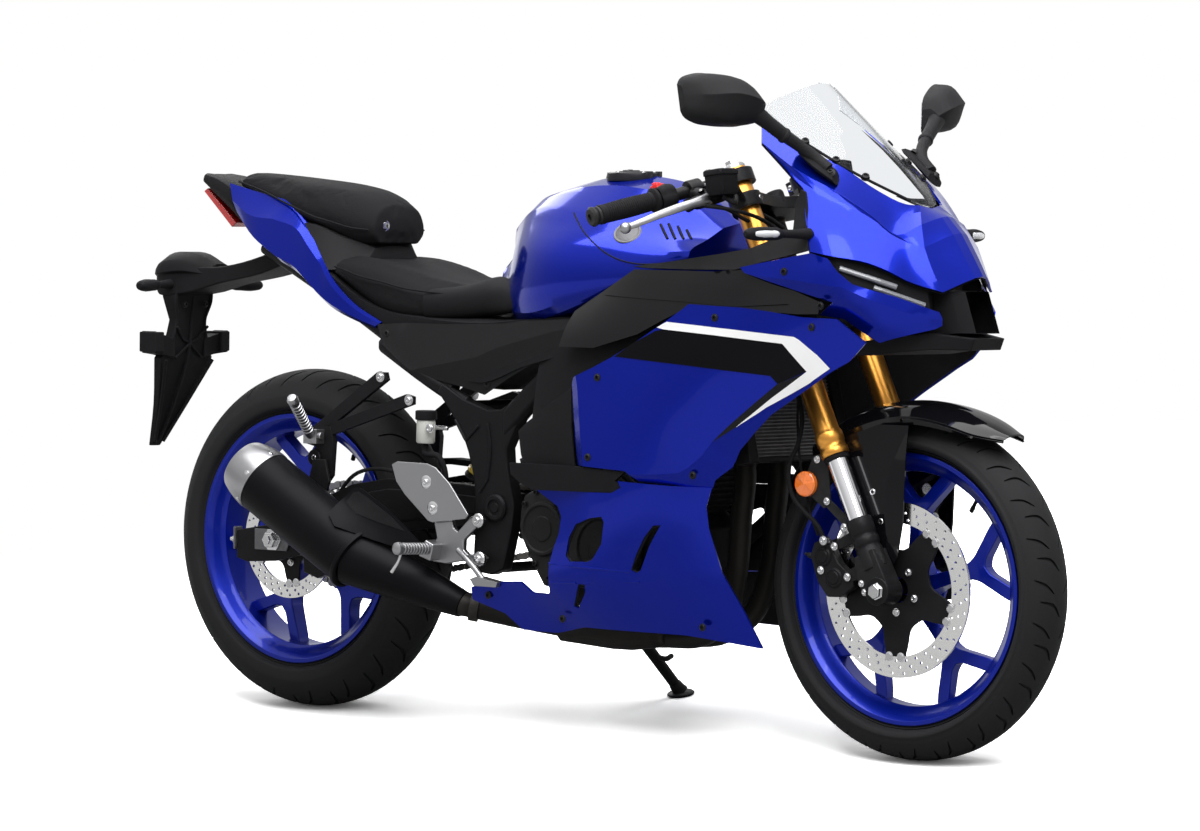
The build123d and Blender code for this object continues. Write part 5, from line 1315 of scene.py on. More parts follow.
def engine():
    """Crankcase, cylinders, head and cam cover, with their side covers, ribs, bolts, filter and sump."""
    case = slab([(-78, 430), (90, 452), (236, 372), (222, 250), (140, 222), (-14, 236), (-84, 330)],
        -116, 116)
    piece("crankcase", case, "engine_grey", replaces=("engine",), bevel=6.0, segments=3)
    tilt = Matrix.Translation((140, 0, 440)) @ Matrix.Rotation(radians(36), 4, "Y")
    top = Form()
    top.join(block((-72, -100, -20), (72, 100, 92)), tilt)
    top.join(block((-76, -104, 96), (76, 104, 140)), tilt)
    top.join(block((-66, -98, 144), (66, 98, 182)), tilt)
    piece("cylinder_head", top, "engine_grey", bevel=5.0, segments=3)
    ribs = Form()
    for z in range(4, 92, 13):
        ribs.join(block((-76, -104, z), (76, 104, z + 4)), tilt)
    for y in (-60, -20, 20, 60):
        ribs.join(block((-79, y - 2.5, 96), (79, y + 2.5, 138)), tilt)
    piece("cylinder_ribs", ribs, "engine_grey", bevel=1.2)
    covers = slab(CLUTCH_COVER, -140, -114)
    covers.join(slab([(-70, 410), (-20, 430), (60, 424), (150, 410), (186, 360), (176, 290), (110, 262),
        (20, 268), (-50, 300), (-84, 356)], 114, 136))
    piece("engine_side_covers", covers, "engine_grey", bevel=6.0, segments=3)
    rounds = Form()
    for x, z, r, y, out in ((-22, 366, 50, -139, -1), (112, 338, 62, -139, -1), (112, 338, 58, 135, 1),
            (-24, 352, 46, 135, 1)):
        rounds.join(turned([(0, 9), (r * 0.42, 9), (r * 0.46, 7), (r * 0.78, 7), (r * 0.84, 10),
            (r * 0.93, 9), (r, 0), (0, 0)], (x, y, z), (x, y + out, z), 56))
    piece("engine_round_covers", rounds, "engine_grey", bevel=0.8)
    heads = Form()
    for y, out, spots in ((-140, -1, ((-66, 408), (-40, 430), (6, 414), (-72, 352), (-40, 304), (-8, 280),
            (46, 276), (100, 268), (148, 282), (172, 320), (176, 360), (150, 398), (100, 406), (50, 398))),
            (136, 1, ((-62, 398), (-14, 420), (60, 414), (142, 398), (174, 352), (164, 296), (104, 272),
            (26, 278), (-44, 308), (-74, 352)))):
        bolts([(x, y, z) for x, z in spots], (0, out, 0), 5.0, 5.0, heads)
    piece("engine_bolts", heads, "caliper_black")
    filter_form = turned([(0, 0), (26, 0), (32, 3), (32, 62), (30, 66), (0, 68)], (222, -30, 300),
        (296, -30, 270), 40)
    piece("oil_filter", filter_form, "engine_grey", bevel=1.0)
    sump = loft([across((-20, -60, 240), (0, -40, 214)), across((150, -66, 240), (130, -44, 212))],
        corners=SQUARE)
    piece("engine_sump", sump, "engine_grey", bevel=4.0)
    lug = [(-84, 60, 268), (-72, 96, 246), (-72, 104, 236)]
    piece("stand_lug", tube(lug, 9).join(stand_bolt()), "stand_black", bevel=0.8)
    hoses = tube([(250, -88, 560), (330, -96, 590), (384, -112, 604)], 13, sides=16)
    hoses.join(tube([(220, 92, 330), (300, 108, 400), (392, 116, 520)], 13, sides=16))
    hoses.join(tube([(120, -110, 410), (210, -124, 470), (240, -96, 540)], 9))
    piece("coolant_hoses", hoses, "grip_rubber")
    clips = Form()
    for a, b in (((362, -106, 600), (370, -108, 602)), ((382, 114, 506), (385, 115, 514)),
            ((262, -89, 566), (270, -90, 570))):
        clips.join(turned([(13, 0), (15.2, 0.6), (15.2, 7.4), (13, 8)], a, b, 24))
    piece("hose_clips", clips, "steel")


STAND_PIVOT = Vector((-72.0, 112.0, 228.0))
STAND_FOOT = (-18.0, 255.0)


def upright_point(x, y, z):
    """Where a point of the leaned bike lies in the upright drawing."""
    z -= TYRE_LIFT
    return Vector((x, y * cos(LEAN) - z * sin(LEAN), y * sin(LEAN) + z * cos(LEAN)))


STAND_TOE = upright_point(*STAND_FOOT, 7.0)
STAND_REACH = STAND_TOE - STAND_PIVOT
STAND_AXIS = STAND_REACH.cross(Vector((-1.0, 0.03, 0.02))).normalized()


def stand_bolt():
    """The bolt that the stand turns on, with its lug's two cheeks."""
    p, a = STAND_PIVOT, STAND_AXIS
    form = turned([(0, 0), (8, 0), (8, 4), (5, 4), (5, 40), (7.5, 40), (7.5, 45), (0, 46)], p - a * 22,
        p + a * 22, 6)
    form.join(turned(round_profile(15, 8.5), p - a * 20, p - a * 11, 32))
    form.join(turned(round_profile(12, 8.5), p + a * 11.5, p + a * 21, 32))
    return form.join(tube([p - a * 17, (-40, 84, 246), (-6, 60, 264)], 8))


def side_stand():
    """The stand's leg with its eye, its bent tang and the foot plate."""
    p, toe, axis = STAND_PIVOT, STAND_TOE, STAND_AXIS
    reach = STAND_REACH
    form = tube([p + reach * 0.07, p + reach * 0.5, toe - reach.normalized() * 6], [12.5, 10.5, 10], sides=20)
    form.join(turned([(5.3, 0), (16.5, 0), (17, 0.8), (17, 19.2), (16.5, 20), (5.3, 20)], p - axis * 10,
        p + axis * 10, 40))
    piece("stand_leg", form, "stand_black", "side_stand", replaces=("side_stand",), bevel=0.6)
    low = upright_point(*STAND_FOOT, 0.0)
    foot = turned([(0, 0), (22, 0), (25, 2.5), (25, 5), (22, 7), (0, 7)], low, toe, 40)
    foot.join(turned([(0, 0), (15, 0), (13, 7), (11, 20), (0, 22)], toe, toe - reach, 28))
    piece("stand_foot", foot, "stand_black", "side_stand", bevel=0.8)
    side = reach.normalized().cross(axis)
    tang = tube([p + reach * 0.62, p + reach * 0.66 + side * 26, p + reach * 0.64 + side * 44], 5, sides=12)
    piece("stand_tang", tang, "stand_black", "side_stand")


def exhaust():
    """Header pipes, collector, link pipe, the silencer with its bands, shield and end cap."""
    pipes = Form()
    for y in (-48, 48):
        pipes.join(tube([(300, y, 560), (340, y, 532), (352, y, 490), (346, y, 400), (336, y * 0.98, 300),
            (308, y * 0.8, 226), (256, y * 0.6, 190), (150, y * 0.42, 178)], 19, sides=24, steps=6))
    piece("header_pipes", pipes, "pipe_black", replaces=("exhaust_headers",))
    flanges = Form()
    for y in (-48, 48):
        flanges.join(turned([(19, 0), (31, 0), (31, 9), (19, 9)], (308, y, 556), (318, y, 550), 32))
        for side in (-1, 1):
            flanges.join(bar((304, y + side * 34, 560), (326, y + side * 34, 546), 5))
    piece("header_flanges", flanges, "pipe_black", bevel=1.0)
    collector = beam((-62, (-58, 58), (160, 204)), (-20, (-62, 62), (158, 206)),
        (150, (-58, 58), (160, 204)), (172, (-46, 46), (166, 198)))
    piece("exhaust_collector", collector, "pipe_black", bevel=4.0)
    link = tube([(-50, -36, 188), (-120, -90, 204), along(MUFFLER_FRONT, MUFFLER_NECK, 0.03)], 22, sides=24)
    link.join(turned([(22, 0), (26.5, 1), (26.5, 17), (22, 18)], (-180, -126, 217), (-205, -142, 222), 36))
    piece("link_pipe", link, "pipe_black")
    cone_length = (Vector(MUFFLER_NECK) - Vector(MUFFLER_FRONT)).length
    cone = turned([(20, 0), (24, 1), (30, 40), (42, 130), (52, cone_length - 16), (54, cone_length)],
        MUFFLER_FRONT, MUFFLER_NECK, 56)
    piece("silencer_cone", cone, "muffler_black", replaces=("muffler",))
    length = (Vector(MUFFLER_BACK) - Vector(MUFFLER_NECK)).length
    seam = length * 0.80
    r = MUFFLER_RADIUS
    can = turned([(50, -6), (r - 1, -4), (r, 2), (r + 1.5, seam * 0.5), (r + 1, seam), (r - 6, seam + 2)],
        MUFFLER_NECK, MUFFLER_BACK, 72)
    piece("silencer_can", can, "muffler_black")
    band = turned([(r - 2, -9), (r + 4, -8), (r + 4.6, -4), (r + 4, 0), (r - 1, 1)], MUFFLER_NECK,
        MUFFLER_BACK, 72)
    piece("silencer_band", band, "muffler_black", bevel=0.6)
    cap = turned([(r - 3, seam), (r + 2, seam + 1), (r + 2.4, seam + 8), (r + 1, seam + 22),
        (r - 3, seam + 40), (r - 8, length - 4), (r - 11, length), (r - 16, length + 1),
        (r - 20, length - 3), (32, length - 8), (30, length - 12), (30, length - 60), (0, length - 60)],
        MUFFLER_NECK, MUFFLER_BACK, 72)
    piece("silencer_end_cap", cap, "peg_aluminium")
    rivets = Form()
    axis = (Vector(MUFFLER_BACK) - Vector(MUFFLER_NECK)).normalized()
    out = (Vector((0, -1, 0)) + axis * axis.y).normalized()
    up = axis.cross(out)
    for k in range(6):
        a = radians(60 * k + 20)
        way = out * cos(a) + up * sin(a)
        at = Vector(MUFFLER_NECK) + axis * (seam + 9) + way * (r + 1.6)
        rivets.join(bolt(at, way, 3.4, 1.8, socket=False))
    piece("silencer_rivets", rivets, "steel")

    def skin(extra):
        neck, back, front = (np.array(p) for p in (MUFFLER_NECK, MUFFLER_BACK, MUFFLER_FRONT))

        def depth(x, z):
            x, z = np.asarray(x, float), np.asarray(z, float)
            best = None
            for a, b, ra, rb in ((front, neck, 26, 54), (neck, back, r, r + 1)):
                d = (b - a)[[0, 2]]
                t = ((x - a[0]) * d[0] + (z - a[2]) * d[1]) / (d @ d)
                away = np.abs((x - a[0]) * d[1] - (z - a[2]) * d[0]) / np.linalg.norm(d)
                reach = ra + (rb - ra) * np.clip(t, -0.4, 1.2) + extra
                y = -(a[1] + (b[1] - a[1]) * t) + np.sqrt(np.clip(reach**2 - away**2, 36.0, None))
                best = y if best is None else np.where(x < neck[0], y, best)
            return best

        return depth

    shield = [(-443, 378), (-441, 392), (-434, 404), (-417, 423), (-402, 425), (-389, 419), (-341, 385),
        (-311, 358), (-282, 330), (-264, 313), (-281, 308), (-364, 333), (-425, 357)]
    patch = [(-426, 398), (-414, 416), (-402, 418), (-388, 411), (-339, 376), (-311, 350), (-361, 364),
        (-399, 379)]
    rough = skin(9)
    cover = surface(*[(x, depth_at(rough, x, z), z) for x, z in shield[::2] + patch[::2]], ease=900.0)
    piece("silencer_shield", panel(shield, cover, 4.0, spacing=8.0, right_only=True), "muffler_black",
        replaces=("muffler_shield",), bevel=1.4)
    piece("silencer_shield_grip", panel(patch, cover, 2.0, spacing=8.0, lift=0.9, right_only=True),
        "shield_black", bevel=0.6)
    y = -depth_at(cover, -292.0, 322.0)
    screws = bolt((-292, y, 322), (0, -1, 0), 6, 3).join(bolt((-424, y - 20, 372), (0, -1, 0), 4, 2))
    piece("silencer_shield_screws", screws, "steel")
    hanger = slab([(-548, 470), (-520, 470), (-508, 430), (-520, 404), (-548, 404), (-560, 430)], -168, -162)
    piece("silencer_hanger", hanger, "frame_grey", bevel=1.5)


def radiator():
    """The radiator's finned core between its side tanks, with its cap, fan shroud and guard."""
    place = Matrix.Translation((405, 0, 583)) @ Matrix.Rotation(radians(-12.5), 4, "Y")
    frame_form = Form()
    for z0, z1 in ((-86, -78), (78, 86)):
        frame_form.join(block((-13, -122, z0), (13, 122, z1)), place)
    for low, high in ((120, 146), (-146, -120)):
        frame_form.join(block((-16, low, -88), (16, high, 88)), place)
    frame_form.join(turned([(14, 0), (17, 0), (17, 8), (14, 12), (0, 12)], (0, 133, 88), (0, 133, 90), 32),
        place)
    piece("radiator_tanks", frame_form, "radiator_black", replaces=("radiator",), bevel=2.0)
    core = Form()
    tubes, tube_pitch, fins, fin_pitch = 26, 6.1, 120, 2.0
    for k in range(tubes):
        z = -77 + k * tube_pitch
        core.join(block((-8, -120, z), (8, 120, z + 1.8)), place)
    for k in range(fins):
        y = -119 + k * fin_pitch
        core.join(block((-6, y, -78), (6, y + 0.5, 78)), place)
    piece("radiator_fins", core, "cast_grey")
    shroud = Form()
    shroud.join(Form().join(lathe([(58, 0), (72, 0), (70, -22), (62, -24), (58, -22), (58, 0)], 40),
        Matrix.Rotation(pi / 2, 4, "Y")), place @ Matrix.Translation((-34, 0, 0)))
    shroud.join(block((-24, -76, -74), (-17, 76, 74)), place)
    piece("radiator_fan_shroud", shroud, "plastic_black", bevel=1.5)


def swingarm():
    """Two tapered arms with pressed sides, the cross box, the chain adjusters and the axle's plates."""
    outline = [(-100, 424), (-230, 436), (-416, 438), (-500, 424), (-560, 400), (-640, 352), (-700, 342),
        (-784, 328), (-785, 276), (-760, 270), (-690, 274), (-630, 288), (-540, 322), (-330, 350),
        (-104, 372)]
    pocket = [(-180, 414), (-300, 420), (-410, 420), (-490, 406), (-545, 384), (-500, 356), (-380, 362),
        (-200, 384)]
    arms = slab(outline, 97, 117)
    arms.join(slab(pocket, 114, 119))
    piece("swingarm_arms", arms.both(), "frame_grey", replaces=("swingarm",), bevel=5.0, segments=3)
    middle = block((-328, -100, 342), (-238, 100, 402))
    middle.join(bar((PIVOT[0], -117, PIVOT[1]), (PIVOT[0], 117, PIVOT[1]), 17))
    piece("swingarm_cross_box", middle, "frame_grey", bevel=6.0, segments=3)
    x, z = REAR["x"], REAR["radius"]
    plates = slab([(x - 46, z - 20), (x + 34, z - 20), (x + 42, z), (x + 34, z + 19), (x - 46, z + 19)],
        117, 121)
    plates.join(block((x - 100, 100, z - 22), (x - 95, 121, z + 20)))
    piece("axle_plates", plates.both(), "cast_grey", bevel=1.5)
    axle = Form()
    for side in (1, -1):
        y = side * 121
        nut = [(x, y, z), (x, y + side, z)]
        axle.join(turned([(0, 0), (22, 0), (22, 2.5), (15, 3), (16, 4), (16, 12), (14, 14), (9, 14),
            (8, 18), (0, 18)], *nut, 6 if side < 0 else 24))
    for side in (1, -1):
        axle.join(bar((x - 88, side * 109, z - 4), (x - 116, side * 109, z - 4), 4.2))
        axle.join(turned(round_profile(8, 8), (x - 100, side * 109, z - 4), (x - 109, side * 109, z - 4), 6))
    piece("rear_axle_nuts", axle, "steel", replaces=("rear_axle",), bevel=0.8)
    piece("rear_axle_bar", bar((x, -120, z), (x, 120, z), AXLE_RADIUS), "steel")
    spools = turned([(4, 0), (9, 0), (9, 4), (4, 4)], (-640, 116, 318), (-640, 117, 318), 24)
    piece("stand_bobbin_bosses", spools.both(), "frame_grey", bevel=0.6)
    guard = slab([(-130, 448), (-240, 460), (-420, 470), (-560, 462), (-560, 452), (-420, 458), (-240, 448),
        (-130, 436)], 66, 100)
    piece("chain_guard", guard, "plastic_black", bevel=3.0)


def chain():
    """Every link of the drive chain round both sprockets."""
    back = (REAR["x"], REAR["radius"], 97.0)
    front = (-38.0, 384.0, 45.5)
    gap = sqrt((front[0] - back[0])**2 + (front[1] - back[1])**2)
    tilt = atan2(front[1] - back[1], front[0] - back[0])
    lean = acos((back[2] - front[2]) / gap)
    run = sqrt(gap**2 - (back[2] - front[2])**2)
    arc_front, arc_back = front[2] * 2 * lean, back[2] * 2 * (pi - lean)
    total = 2 * run + arc_front + arc_back
    count = 2 * round(total / CHAIN_PITCH / 2)

    def on(sprocket, angle):
        x, z, radius = sprocket
        return Vector((x + radius * cos(angle), z + radius * sin(angle)))

    def at(s):
        s %= total
        if s < run:
            return on(back, tilt + lean).lerp(on(front, tilt + lean), s / run)
        s -= run
        if s < arc_front:
            return on(front, tilt + lean - s / front[2])
        s -= arc_front
        if s < run:
            return on(front, tilt - lean).lerp(on(back, tilt - lean), s / run)
        s -= run
        return on(back, tilt - lean - s / back[2])

    plates, rollers = Form(), Form()
    for k in range(count):
        a, b = at(total * k / count), at(total * (k + 1) / count)
        d = (b - a).normalized()
        n = Vector((-d.y, d.x))
        outline = [tuple(a + (b - a) * t + n * w) for t, w in LINK]
        outline += [tuple(a + (b - a) * t - n * w) for t, w in LINK[-2:0:-1]]
        near = 5.0 if k % 2 else 7.2
        for side in (1, -1):
            y0 = SPROCKET_Y + side * near
            plates.join(slab(outline, y0 - 0.9, y0 + 0.9))
        rollers.join(bar((a.x, SPROCKET_Y - 8.6, a.y), (a.x, SPROCKET_Y + 8.6, a.y), 2.6, 0.3, 10))
        rollers.join(bar((a.x, SPROCKET_Y - 4, a.y), (a.x, SPROCKET_Y + 4, a.y), 5.0, 0.3, 12))
    piece("chain_plates", plates, "chain_steel", replaces=("drive_chain",))
    piece("chain_rollers", rollers, "chain_steel")
    teeth = []
    for k in range(FRONT_TEETH):
        teeth += [polar((k + t) * 360 / FRONT_TEETH, r) for t, r in ((0.0, 36), (0.25, 37.5), (0.42, 43),
            (0.58, 43), (0.75, 37.5))]
    small = plate(teeth, SPROCKET_Y - 3, SPROCKET_Y + 3)
    piece("front_sprocket", Form().join(small, Matrix.Translation((front[0], 0, front[1]))), "chain_steel",
        bevel=0.5)


def shock():
    """The damper with its coil spring, collars and lower eye."""
    foot, head = Vector((-296.0, 0.0, 422.0)), Vector((-226.0, 0.0, 552.0))
    axis = (head - foot).normalized()
    length = (head - foot).length
    place = aim(foot, head)
    turns, wire = 6.5, 5.2
    coil = [(27 * cos(2 * pi * t / 16), 27 * sin(2 * pi * t / 16),
        length * (0.17 + 0.70 * t / (16 * turns))) for t in range(int(16 * turns) + 1)]
    piece("shock_spring", Form().join(tube(coil, wire, sides=10, steps=1), place), "spring_yellow",
        replaces=("rear_shock",))
    body = turned([(0, -4), (14, -4), (14, 10), (11, 14), (11, length * 0.6), (18, length * 0.62),
        (18, length), (0, length)], foot, head, 32)
    body.join(turned([(10, 0), (32, 0), (33, 2), (32, 6), (10, 8)], foot + axis * length * 0.11, head, 40))
    body.join(turned([(10, 0), (32, 2), (33, 6), (32, 9), (10, 9)], foot + axis * length * 0.88, head, 40))
    body.join(bar((-298, -18, 416), (-298, 18, 416), 13))
    piece("shock_damper", body, "caliper_black", bevel=0.8)
    reservoir = turned([(0, 0), (15, 0), (17, 3), (17, 38), (16, 42), (0, 42)], (-284, -160, 508),
        (-283, -160, 550), 32)
    piece("brake_fluid_cup", reservoir, "reservoir_white", bevel=0.6)
    cap = turned([(0, 0), (19, 0), (19.5, 2), (19.5, 15), (18, 17), (0, 17)], (-283, -160, 550),
        (-283, -160, 567), 16)
    piece("brake_fluid_cap", cap, "plastic_black", bevel=0.8)
    clamp = bar((-283, -150, 536), (-240, -150, 536), 4).join(bolt((-262, -172, 536), (0, -1, 0), 7, 6))
    piece("brake_fluid_bracket", clamp, "steel")
    hose = tube([(-284, -160, 508), (-284, -162, 492), (-256, -158, 486), (-244, -150, 448),
        (-262, -146, 410), (-300, -130, 380)], 5.5, sides=12)
    piece("brake_fluid_hose", hose, "grip_rubber")


HEEL_PLATE = [(-347, 468), (-334, 474), (-263, 473), (-242, 466), (-209, 439), (-165, 386), (-172, 378),
    (-249, 368), (-260, 371), (-315, 415), (-336, 438)]
REARSET = [(-254, 368), (-247, 340), (-259, 329), (-264, 312), (-256, 297), (-226, 295), (-185, 302),
    (-162, 296), (-141, 298), (-130, 309), (-144, 319), (-173, 314), (-184, 322), (-183, 340), (-151, 366),
    (-138, 377), (-151, 388), (-168, 382), (-198, 354), (-208, 360), (-212, 374)]


def foot_controls():
    """Rearsets with pegs and heel plates, the pedals, and the passenger's hangers and pegs."""
    plates = slab(HEEL_PLATE, 176, 180)
    piece("heel_plates", plates.both(), "peg_aluminium", replaces=("rider_pegs",), bevel=1.6, segments=3)
    bracket = slab(REARSET, 158, 170)
    bracket.join(slab([(-268, 308), (-240, 300), (-232, 330), (-252, 338)], 166, 196))
    piece("rearset_brackets", bracket.both(), "peg_aluminium", bevel=3.0, segments=3)
    screws = Form()
    for x, z in ((-264, 440), (-248, 394)):
        screws.join(turned([(0, 0), (12, 0), (12, 1), (9, 2.4), (0, 2.4)], (x, 179.5, z), (x, 180.5, z), 28))
        screws.join(bolt((x, 181.5, z), (0, 1, 0), 5.4, 3.4))
    for x, z in ((-148, 376), (-144, 308)):
        screws.join(turned([(0, 0), (13, 0), (13, 5), (11, 7), (0, 7)], (x, 168, z), (x, 169, z), 28))
        screws.join(bolt((x, 174, z), (0, 1, 0), 6, 5))
    piece("rearset_screws", screws.both(), "steel")
    peg = turned([(0, -14), (9, -14), (10, -4), (9, 0), (9.5, 6)] + [p for k in range(9)
        for p in ((10.6, 8 + 7 * k), (10.6, 11.5 + 7 * k), (9.2, 12.5 + 7 * k), (9.2, 14.5 + 7 * k))]
        + [(10.5, 72), (12, 76), (11, 82), (6, 85), (0, 85)], (-246, 190, 322), (-252, 268, 325), 28)
    piece("rider_foot_pegs", peg.both(), "peg_aluminium")
    feeler = tube([(-250, 262, 316), (-254, 263, 304), (-268, 266, 282)], [2.2, 2.6, 3.6], sides=10)
    piece("peg_feelers", feeler.both(), "steel")
    pedal = tube([(-190, -176, 322), (-150, -188, 300), (-118, -190, 272)], 5.5)
    pedal.join(slab([(-141, 274), (-132, 262), (-80, 262), (-77, 271), (-127, 279)], -202, -178))
    pedal.join(tube([(-190, 176, 322), (-150, 186, 306), (-96, 188, 296)], 5))
    pedal.join(bar((-96, 182, 296), (-96, 212, 296), 7))
    piece("foot_levers", pedal, "peg_aluminium", bevel=1.0)
    rod_form = bar((-190, 168, 334), (-60, 150, 360), 3.5)
    piece("shift_rod", rod_form, "steel")

    hanger = slab([(-408, 632), (-388, 632), (-384, 618), (-520, 530), (-556, 508), (-572, 522)], 143, 153)
    hanger.join(slab([(-338, 594), (-322, 590), (-322, 576), (-524, 512), (-540, 520), (-524, 534)],
        143, 153))
    hanger.join(slab([(-572, 524), (-520, 530), (-512, 505), (-517, 440), (-533, 422), (-548, 428),
        (-556, 456), (-570, 476), (-556, 492), (-584, 498)], 142, 154))
    hanger.join(bar((-556, 140, 472), (-556, 158, 472), 15))
    piece("passenger_peg_hangers", hanger.both(), "frame_grey", replaces=("passenger_pegs",), bevel=2.4,
        segments=3)
    fixings = Form()
    for x, z in ((-399, 624), (-330, 584), (-556, 472)):
        fixings.join(washer((x, 153, z), (0, 1, 0), 10, 1.4, 24))
        fixings.join(bolt((x, 154.4, z), (0, 1, 0), 5.6, 4.2))
    piece("hanger_bolts", fixings.both(), "steel")
    joint = block((-566, 152, 498), (-534, 176, 524))
    joint.join(bar((-562, 164, 512), (-530, 164, 512), 7))
    piece("passenger_peg_joints", joint.both(), "peg_aluminium", bevel=3.0)
    start, end = (-550, 172, 512), (-520, 262, 590)
    peg = turned([(0, 0), (7, 0), (9.5, 8), (9.5, 14)] + [p for k in range(10) for p in ((10.2, 16 + 8 * k),
        (10.2, 20 + 8 * k), (8.8, 21 + 8 * k), (8.8, 23 + 8 * k))] + [(10, 98), (11, 108), (8, 114),
        (0, 115)], start, end, 24)
    piece("passenger_foot_pegs", peg.both(), "peg_aluminium")


def rear_brake():
    """The rear caliper's two halves and their bridge, with its bolts and line."""
    y = -74.0
    body_form = slab([(-634, 256), (-600, 246), (-568, 258), (-560, 300), (-570, 330), (-612, 334),
        (-636, 310)], y - 24, y - 7)
    body_form.join(slab([(-630, 262), (-600, 254), (-572, 264), (-566, 300), (-576, 326), (-612, 328),
        (-630, 306)], y + 7, y + 20))
    body_form.join(slab([(-572, 262), (-558, 266), (-554, 302), (-566, 326)], y - 24, y + 20))
    piece("rear_caliper_body", body_form, "caliper_black", replaces=("rear_caliper",), bevel=3.0, segments=3)
    piece("rear_caliper_bolts", bolts(((-586, y - 24, 270), (-620, y - 24, 318)), (0, -1, 0), 6, 5), "steel")
    line = tube([(-584, -96, 326), (-560, -104, 372), (-480, -122, 446), (-360, -124, 442),
        (-300, -132, 384)], 3.6, sides=10)
    piece("rear_brake_line", line, "grip_rubber")


def running_gear():
    """The frame and all that it carries below the bodywork."""
    main_frame()
    engine()
    side_stand()
    exhaust()
    radiator()
    swingarm()
    chain()
    shock()
    foot_controls()
    rear_brake()


running_gear()


# ---------------------------------------------------------------- fork, bars and controls
FORK_LEG = (0, 100, 0), (0, 100, 1)  # the left fork tube's axis
BAR_ROOT, BAR_END = Vector((4.0, 100.0, 762.0)), Vector((-122.0, 369.0, 744.0))


def bar_point(share, ahead=0.0, drop=0.0):
    """A point on the left handlebar, or ahead of it and below it."""
    return tuple(BAR_ROOT.lerp(BAR_END, share) + Vector((ahead, 0, -drop)))


def right(form):
    """The same form on the right side alone."""
    return Form().join(form, MIRROR)


def steered(name, form, material, **more):
    """A piece that turns with the fork."""
    return piece(name, form, material, "steering", FORK, **more)


